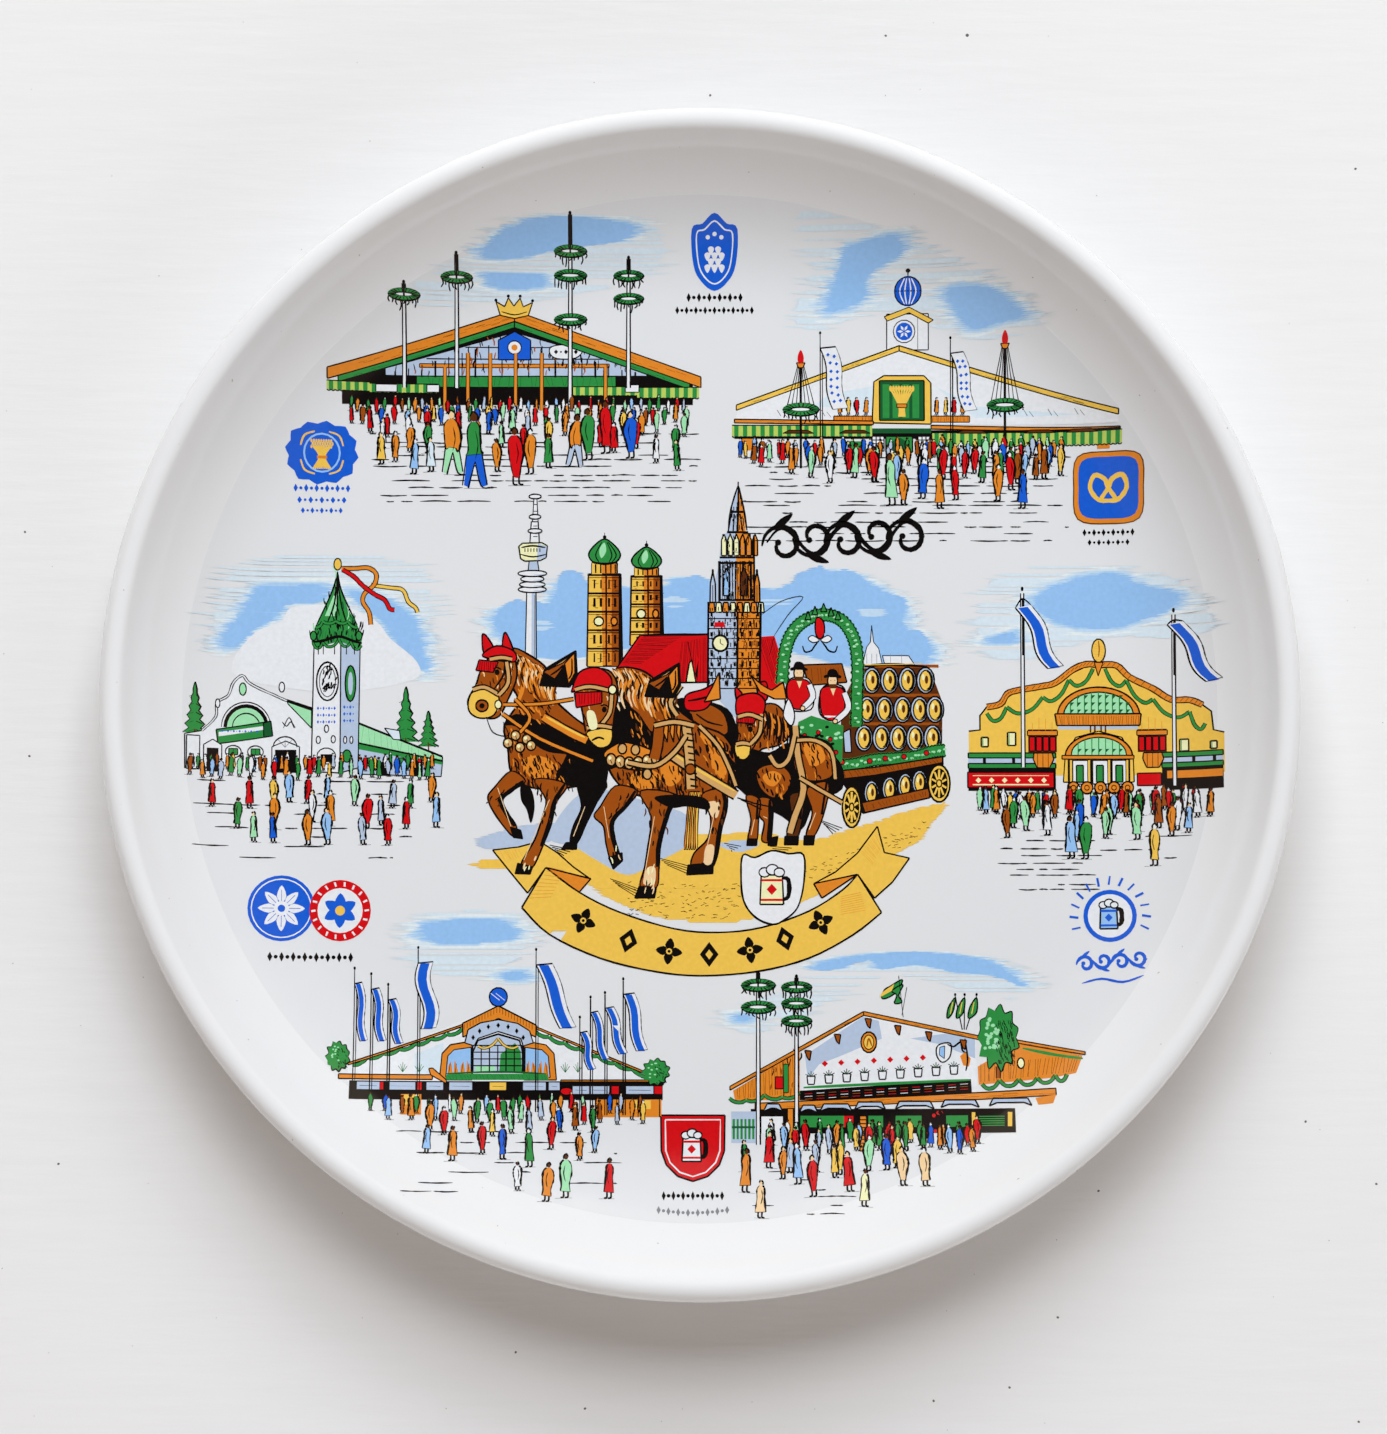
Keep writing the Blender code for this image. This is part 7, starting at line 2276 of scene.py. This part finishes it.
def banner():
    """The yellow ribbon under the picture, with plain ornaments, and a white shield on it."""
    pen = Pen(18)
    pen.shape("yellow", [(17.8, -27.6), (21.3, -25.7), (24.8, -22.7), (28, -18.4), (29.1, -22.6),
            (33.1, -23.5), (30.4, -27.3), (27.5, -29.9), (24.8, -26.1), (19.1, -29.9)], 0.28)
    hatch(pen, ((25.3, -22.7), (27.7, -19.7)), ((27.2, -24.6), (28.7, -21.6)), 11, 0.17, "ochre")
    hatch(pen, ((19.1, -26.9), (21.3, -25.9)), ((19.7, -27.6), (21.8, -26.4)), 5, 0.17, "ochre")
    pen.shape("ochre", [(-25, -25), (-17.8, -26.8), (-19.7, -29)], 0.28)
    pen.shape("ochre", [(17.8, -27.6), (24.8, -26.1), (19.1, -29.9)], 0.28)
    upper = [(-25, -25), (-19.6, -29), (-13.1, -32.2), (-4.5, -34.8), (2.5, -35.4), (9.5, -34.6),
            (17, -32), (22.4, -28.6), (24.8, -26.1)]
    lower = [(28.6, -32.2), (24, -35.8), (17, -39.5), (8.9, -41.6), (-0.2, -42.3), (-7.7, -41.6),
            (-16.3, -39.5), (-24.4, -35.7), (-28.8, -31.4)]
    top, bottom = smooth(upper), smooth(lower)[::-1]
    for (a, b), (c, d) in zip(zip(top, top[1:]), zip(bottom, bottom[1:])):
        pen.fill("yellow", [a, b, d, c])
    pen.line(upper, 0.28, ends=0.95)
    pen.line(lower, 0.3, ends=0.95)
    pen.line([upper[0], lower[-1]], 0.3, ends=0.95)
    pen.line([upper[-1], lower[0]], 0.3, ends=0.95)
    for k in range(9):
        x, y = -27.7 + k * 0.4, -29.9 + k * 0.62
        pen.line([(x, y), (x + 3.6 - k * 0.15, y + 0.2 - 0.1 * k)], 0.16, "ochre")
        x, y = 25.3 - k * 0.2, -28.1 - k * 0.35
        pen.line([(x - 3.2 + k * 0.2, y - 1.6), (x + k * 0.3, y - 0.9)], 0.16, "ochre")
    for k in range(7):
        x, y = ((-19, -33.5), (-11.8, -36.7), (-5.3, -38.4), (1.1, -38.9), (7.6, -38.2),
                (13.2, -36.4), (18.9, -33.8))[k]
        own = pen.at(x, y, 1.0, 1, (-0.42, -0.28, -0.13, 0.0, 0.14, 0.28, 0.43)[k])
        if k % 2:
            own.fill("ink", [(-1.5, 0), (0, -2.0), (1.5, 0), (0, 2.0)])
            own.fill("yellow", [(-0.6, 0), (0, -0.8), (0.6, 0), (0, 0.8)])
        else:
            for turn in range(4):
                petal = own.at(0, 0, 1.0, 1, math.tau * turn / 4)
                petal.blob("ink", [(0.2, 0), (0.95, 0.75), (2.15, 0), (0.95, -0.75)], 3)
            own.oval("yellow", 0, 0, 0.5, 0.5, 10)
            own.oval("ink", 0, 0, 0.25, 0.25, 8)
    shield = [(6.5, -23), (8.4, -23.4), (11.1, -22.3), (13.8, -22.8), (16.2, -23), (16.2, -27.6),
            (15.2, -31.4), (13.2, -33.3), (11.2, -34.1), (8.4, -32.9), (6.6, -30.3), (6.2, -26.5)]
    pen.shape("white", shield, 0.32, curved=True)
    mug(pen.at(11.1, -28.4, 1.05), "cream", "red")
    return pen


def mug(pen, body, mark):
    """A generic stoneware mug with a lid of froth."""
    pen.line([(1.2, 1.6), (2.5, 1.4), (2.5, -1.2), (1.2, -1.7)], 0.75)
    pen.shape(body, [(-1.6, 2.1), (-1.8, -2.4), (1.8, -2.4), (1.6, 2.1)], 0.3)
    pen.line([(-1.65, -1.7), (1.65, -1.7)], 0.4, mark, 0.9)
    pen.line([(-1.6, 1.3), (1.6, 1.3)], 0.4, mark, 0.9)
    pen.fill(mark, [(-0.8, -0.1), (0, -0.95), (0.8, -0.1), (0, 0.75)])
    for x, y, r in ((-1.1, 2.5, 0.85), (0.1, 2.9, 0.95), (1.15, 2.5, 0.8)):
        pen.disc("white", x, y, r, r * 0.85, 0.24, 12)


def flourish():
    """A curling vine in pen strokes, on the right above the picture."""
    pen = Pen(19)
    vine(pen, "ink", (10.4, 27.4), (35.4, 28.7), 5, 8.6, 0.86)
    return pen


# The badges --------------------------------------------------------------------------------------


def sheaf(pen, colour, tie):
    """A bound sheaf of barley about 6 mm high."""
    for k in range(-4, 5):
        pen.line([(k * 0.42, -2.7), (k * 0.12, -0.4), (k * 0.42, 1.6)], 0.3, colour, 0.8)
        for j in range(3):
            pen.oval(colour, k * 0.46 + (0.12 if j % 2 else -0.12), 1.5 + j * 0.55, 0.2, 0.36, 8)
    pen.line([(-0.95, -0.45), (0.95, -0.45)], 0.55, tie, 0.9)


def badge_north():
    """A blue badge with a white hop sprig under three dots."""
    pen = Pen(21).at(2.0, 0.0)
    pen.blob("blue", [(-3.6, 78.2), (-1.9, 79.0), (0, 80.6), (1.9, 79.0), (3.6, 78.2), (3.3, 72.6),
            (2.0, 70.0), (0, 68.6), (-2.0, 70.0), (-3.3, 72.6)])
    pen.rim([(-3.6, 78.2), (-1.9, 79.0), (0, 80.6), (1.9, 79.0), (3.6, 78.2), (3.3, 72.6),
            (2.0, 70.0), (0, 68.6), (-2.0, 70.0), (-3.3, 72.6)], 0.24, "blue")
    pen.rim([(-2.9, 77.5), (-1.6, 78.2), (0, 79.5), (1.6, 78.2), (2.9, 77.5), (2.6, 72.9),
            (1.6, 70.7), (0, 69.6), (-1.6, 70.7), (-2.6, 72.9)], 0.24, "white")
    for x in (-1.1, 0.0, 1.1):
        pen.oval("white", x, 77.0 + (0.5 if x == 0 else 0), 0.36, 0.36, 10)
    for row in range(4):
        for k in range(row % 2 + 2):
            x = (k - (row % 2 + 1) / 2) * 1.15
            pen.blob("white", [(x - 0.5, 75.2 - row * 0.95), (x, 75.6 - row * 0.95),
                    (x + 0.5, 75.2 - row * 0.95), (x, 74.2 - row * 0.95)], 3)
    beads(pen, "ink", -4.6, 4.6, 67.4, 1.5, 11)
    beads(pen, "ink", -6.4, 6.4, 65.3, 1.3, 17)
    return pen


def scalloped(pen, colour, half_width, half_height, bumps):
    """A square with bulging sides, as a label has."""
    edge = []
    for k in range(4 * bumps):
        angle = math.tau * (k + 0.5) / (4 * bumps)
        c, s = math.cos(angle), math.sin(angle)
        square = 1 / max(abs(c), abs(s))
        swell = (1.0 if k % 2 else 0.9) * (0.82 + 0.18 * square)
        edge.append((half_width * c * swell * 1.05, half_height * s * swell * 1.05))
    pen.blob(colour, edge, 2)


def badge_north_west():
    """A blue scalloped label with a golden sheaf, over three rows of beads."""
    pen = Pen(22).at(-61.2, 0.0)
    scalloped(pen.at(0, 41.9), "blue", 5.6, 4.9, 6)
    for angle in range(4):
        own = pen.at(0, 41.9, 1.0, 1, math.tau * angle / 4 + 0.785)
        own.line([(3.2, -1.6), (3.9, 0), (3.2, 1.6)], 0.3, "yellow", 0.7)
    pen.oval("sky", 0, 41.9, 3.0, 3.2, 20)
    pen.oval("blue", 0, 41.9, 2.7, 2.9, 20)
    sheaf(pen.at(0, 41.6, 0.85), "yellow", "ochre")
    beads(pen, "blue", -4.6, 4.6, 36.2, 1.3, 11)
    beads(pen, "blue", -4.0, 4.0, 34.3, 1.1, 9)
    beads(pen, "blue", -3.4, 3.4, 32.6, 1.0, 9)
    return pen


def badge_north_east():
    """A blue label with a golden border and a pretzel, over two rows of beads."""
    pen = Pen(23).at(65.3, 0.0)
    corners = [(-4.9, 41.2), (0, 41.9), (4.9, 41.2), (5.5, 36.2), (4.9, 31.2), (0, 30.4),
            (-4.9, 31.2), (-5.5, 36.2)]
    pen.blob("ochre", corners)
    pen.rim(corners, 0.2, "dark_brown")
    pen.blob("blue", [(x * 0.86, 36.2 + (y - 36.2) * 0.86) for x, y in corners])
    for side in (-1, 1):
        own = pen.at(0, 36.0, 1.0, side)
        own.line([(0, -1.9), (1.6, -1.7), (2.9, 0.2), (2.2, 2.2), (0.6, 1.6), (0, 0.2),
                (-1.2, -1.6)], 0.75, "yellow", 0.8)
    beads(pen, "ink", -4.2, 4.2, 29.0, 1.2, 11)
    beads(pen, "ink", -3.4, 3.4, 27.4, 1.0, 9)
    return pen


def badge_south_west():
    """A blue disc with a white rosette beside a red ring with a blue flower."""
    pen = Pen(24)
    pen.oval("blue", -67.1, -31.6, 5.3, 5.3, 28)
    pen.rim(ellipse_points(-67.1, -31.6, 4.7, 4.7, 28), 0.2, "white", False)
    for k in range(8):
        own = pen.at(-67.1, -31.6, 1.0, 1, math.tau * k / 8)
        own.blob("white", [(0.9, 0), (2.0, 0.75), (3.7, 0), (2.0, -0.75)], 3)
        own.line([(1.2, 0), (3.0, 0)], 0.2, "blue")
    pen.oval("white", -67.1, -31.6, 1.2, 1.2, 14)
    pen.oval("blue", -67.1, -31.6, 0.6, 0.6, 12)
    pen.oval("red", -57.8, -31.9, 4.9, 4.9, 28)
    pen.oval("white", -57.8, -31.9, 3.6, 3.6, 24)
    for k in range(18):
        own = pen.at(-57.8, -31.9, 1.0, 1, math.tau * k / 18)
        own.line([(3.9, 0), (4.6, 0.1)], 0.34, "white", 0.9)
    for k in range(6):
        own = pen.at(-57.8, -31.9, 1.0, 1, math.tau * k / 6 + 0.5)
        own.blob("blue", [(0.4, 0), (1.3, 0.9), (2.8, 0), (1.3, -0.9)], 3)
    pen.oval("yellow", -57.8, -31.9, 0.8, 0.8, 12)
    beads(pen.at(-62.4, 0.0), "ink", -6.8, 6.8, -39.4, 1.6, 15)
    return pen


def badge_south_east():
    """A blue ringed medallion with a mug, ticks above it and a flourish below."""
    pen = Pen(25).at(65.0, 0.0)
    pen.oval("blue", 0, -32.8, 4.2, 4.2, 28)
    pen.oval("white", 0, -32.8, 3.5, 3.5, 26)
    mug(pen.at(-0.2, -33.0, 0.78), "sky", "blue")
    for k in range(13):
        angle = math.radians(200 - k * 18.3)
        own = pen.at(0, -32.8, 1.0, 1, angle)
        own.line([(5.0, 0.12), (6.4, -0.1)], 0.42 if k % 2 else 0.32, "blue", 0.9)
    vine(pen, "blue", (-5.4, -40.4), (5.6, -39.8), 4, 3.6, 0.55)
    pen.line([(-4.6, -43.6), (-1.5, -42.9), (1.8, -43.5), (5.0, -42.5)], 0.4, "blue", 0.2)
    return pen


def badge_south():
    """A red flat-topped shield with a white mug, over two rows of beads."""
    pen = Pen(26).at(-1.5, 0.0)
    shield = [(-5.1, -64.5), (5.1, -64.5), (5.0, -70.2), (4.2, -72.4), (2.4, -74.2), (0, -75.0),
            (-2.4, -74.2), (-4.2, -72.4), (-5.0, -70.2)]
    pen.shape("red", shield, 0.3)
    pen.rim([(x * 0.86, -69.6 + (y + 69.6) * 0.86) for x, y in shield], 0.24, "white", False)
    mug(pen.at(-0.2, -69.8, 0.85), "white", "red")
    beads(pen, "ink", -5.0, 5.0, -77.3, 1.5, 13)
    beads(pen, "grey", -5.8, 5.8, -80.0, 1.3, 15, 0.5)
    return pen


# The scene ---------------------------------------------------------------------------------------


def camera():
    """From 84 degrees above the table, looking north, with the whole plate and its shadow."""
    target = Vector((-0.0010, -0.00323, PLATE_HEIGHT))
    tilt = math.radians(6.3)
    distance = 0.85
    seen_width = 0.21858
    lens = bpy.data.cameras.new("camera")
    lens.sensor_fit = "HORIZONTAL"
    lens.sensor_width = 36.0
    lens.lens = lens.sensor_width * distance / seen_width
    view = bpy.data.objects.new("camera", lens)
    view.location = target + distance * Vector((0.0, -math.sin(tilt), math.cos(tilt)))
    view.rotation_euler = (tilt, 0.0, 0.0)
    bpy.context.scene.collection.objects.link(view)
    bpy.context.scene.camera = view


# The room's lamps: (bearing from north, elevation, width, height, power, tint), in degrees, metres
# and watts. Those that aren't mirrored only light the plate; the low window is also seen in it.
# The ceiling is dark from CEILING_FROM, given as an upward share, and darkest from CEILING_FULL.
LIGHT_DISTANCE = 2.2
DAYLIGHT = (0.935, 1.0, 1.06)
WARM = (1.2, 1.02, 0.78)
PANES = ((0, 62, 1.35, 0.9, 24.0, DAYLIGHT), (0, 38, 1.35, 0.8, 20.2, DAYLIGHT),
         (40, 38, 1.35, 0.8, 4.9, DAYLIGHT), (-40, 20, 1.35, 0.6, 1.8, DAYLIGHT),
         (140, 25, 1.6, 1.2, 10.2, DAYLIGHT), (180, 25, 1.6, 1.2, 4.1, WARM),
         (-140, 25, 1.6, 1.2, 3.2, DAYLIGHT))
WINDOW = tuple((bearing, 17, 0.87, 1.3, 1.1, WARM) for bearing in range(-44, 45, 22))
ROOM_TINT = (1.36, 0.93, 0.72)
CEILING_TINT = (0.02, 0.02, 0.02)
CEILING_FROM = math.cos(math.radians(24))
CEILING_FULL = math.cos(math.radians(17))
ROOM_STRENGTH = 0.138


def area_light(name, bearing, elevation, width, height, power, tint, mirrored):
    """A flat light that faces the plate from a bearing and an elevation in degrees."""
    lamp = bpy.data.lights.new(name, "AREA")
    lamp.shape = "RECTANGLE"
    lamp.size = width
    lamp.size_y = height
    lamp.energy = power
    lamp.color = tint
    light = bpy.data.objects.new(name, lamp)
    turn, rise = math.radians(bearing), math.radians(elevation)
    light.location = LIGHT_DISTANCE * Vector((math.cos(rise) * math.sin(turn),
                                              math.cos(rise) * math.cos(turn), math.sin(rise)))
    light.rotation_euler = (-light.location).to_track_quat("-Z", "Y").to_euler()
    light.visible_glossy = mirrored
    bpy.context.scene.collection.objects.link(light)


def lights():
    """The lamps, and a dim warm world that is dark overhead, where the well mirrors."""
    for kind, group in (("pane", PANES), ("window", WINDOW)):
        for k, values in enumerate(group):
            area_light(f"{kind}_{k + 1}", *values, kind == "window")
    world = bpy.data.worlds.new("room")
    world.use_nodes = True
    tree = world.node_tree
    parts = tree.nodes.new("ShaderNodeSeparateXYZ")
    tree.links.new(tree.nodes.new("ShaderNodeTexCoord").outputs["Generated"],
                   parts.inputs["Vector"])
    up = ramp(tree, parts.outputs["Z"], CEILING_FROM, CEILING_FULL)
    tree.links.new(mixed(tree, up, ROOM_TINT, CEILING_TINT),
                   tree.nodes["Background"].inputs["Color"])
    tree.nodes["Background"].inputs["Strength"].default_value = ROOM_STRENGTH
    bpy.context.scene.world = world
    bpy.context.scene.view_settings.view_transform = "Standard"


def table():
    """The board that the plate lies on."""
    mesh = bpy.data.meshes.new("tabletop")
    half = 1.6
    mesh.from_pydata([(-half, -half, 0), (half, -half, 0), (half, half, 0), (-half, half, 0)], [],
                     [(0, 1, 2, 3)])
    mesh.materials.append(tabletop())
    top = bpy.data.objects.new("tabletop", mesh)
    bpy.context.scene.collection.objects.link(top)


def main():
    """Builds every piece, the stage, the view and the light, and notes their sizes."""
    porcelain_body()
    film()
    for name, draw, slot_name in (
            ("centre_picture", scene_centre, "enamel_brown"),
            ("banner", banner, "enamel_yellow"),
            ("flourish", flourish, "enamel_black"),
            ("scene_north_west", scene_north_west, "enamel_green"),
            ("scene_north_east", scene_north_east, "enamel_green"),
            ("scene_west", scene_west, "enamel_green"),
            ("scene_east", scene_east, "enamel_green"),
            ("scene_south_west", scene_south_west, "enamel_green"),
            ("scene_south_east", scene_south_east, "enamel_green"),
            ("badge_north", badge_north, "enamel_blue"),
            ("badge_north_west", badge_north_west, "enamel_blue"),
            ("badge_north_east", badge_north_east, "enamel_blue"),
            ("badge_south_east", badge_south_east, "enamel_blue"),
            ("badge_south_west", badge_south_west, "enamel_red"),
            ("badge_south", badge_south, "enamel_red")):
        printed(name, draw(), slot_name, BANNER_LIFT if name == "banner" else 0.0)
    table()
    camera()
    lights()


main()
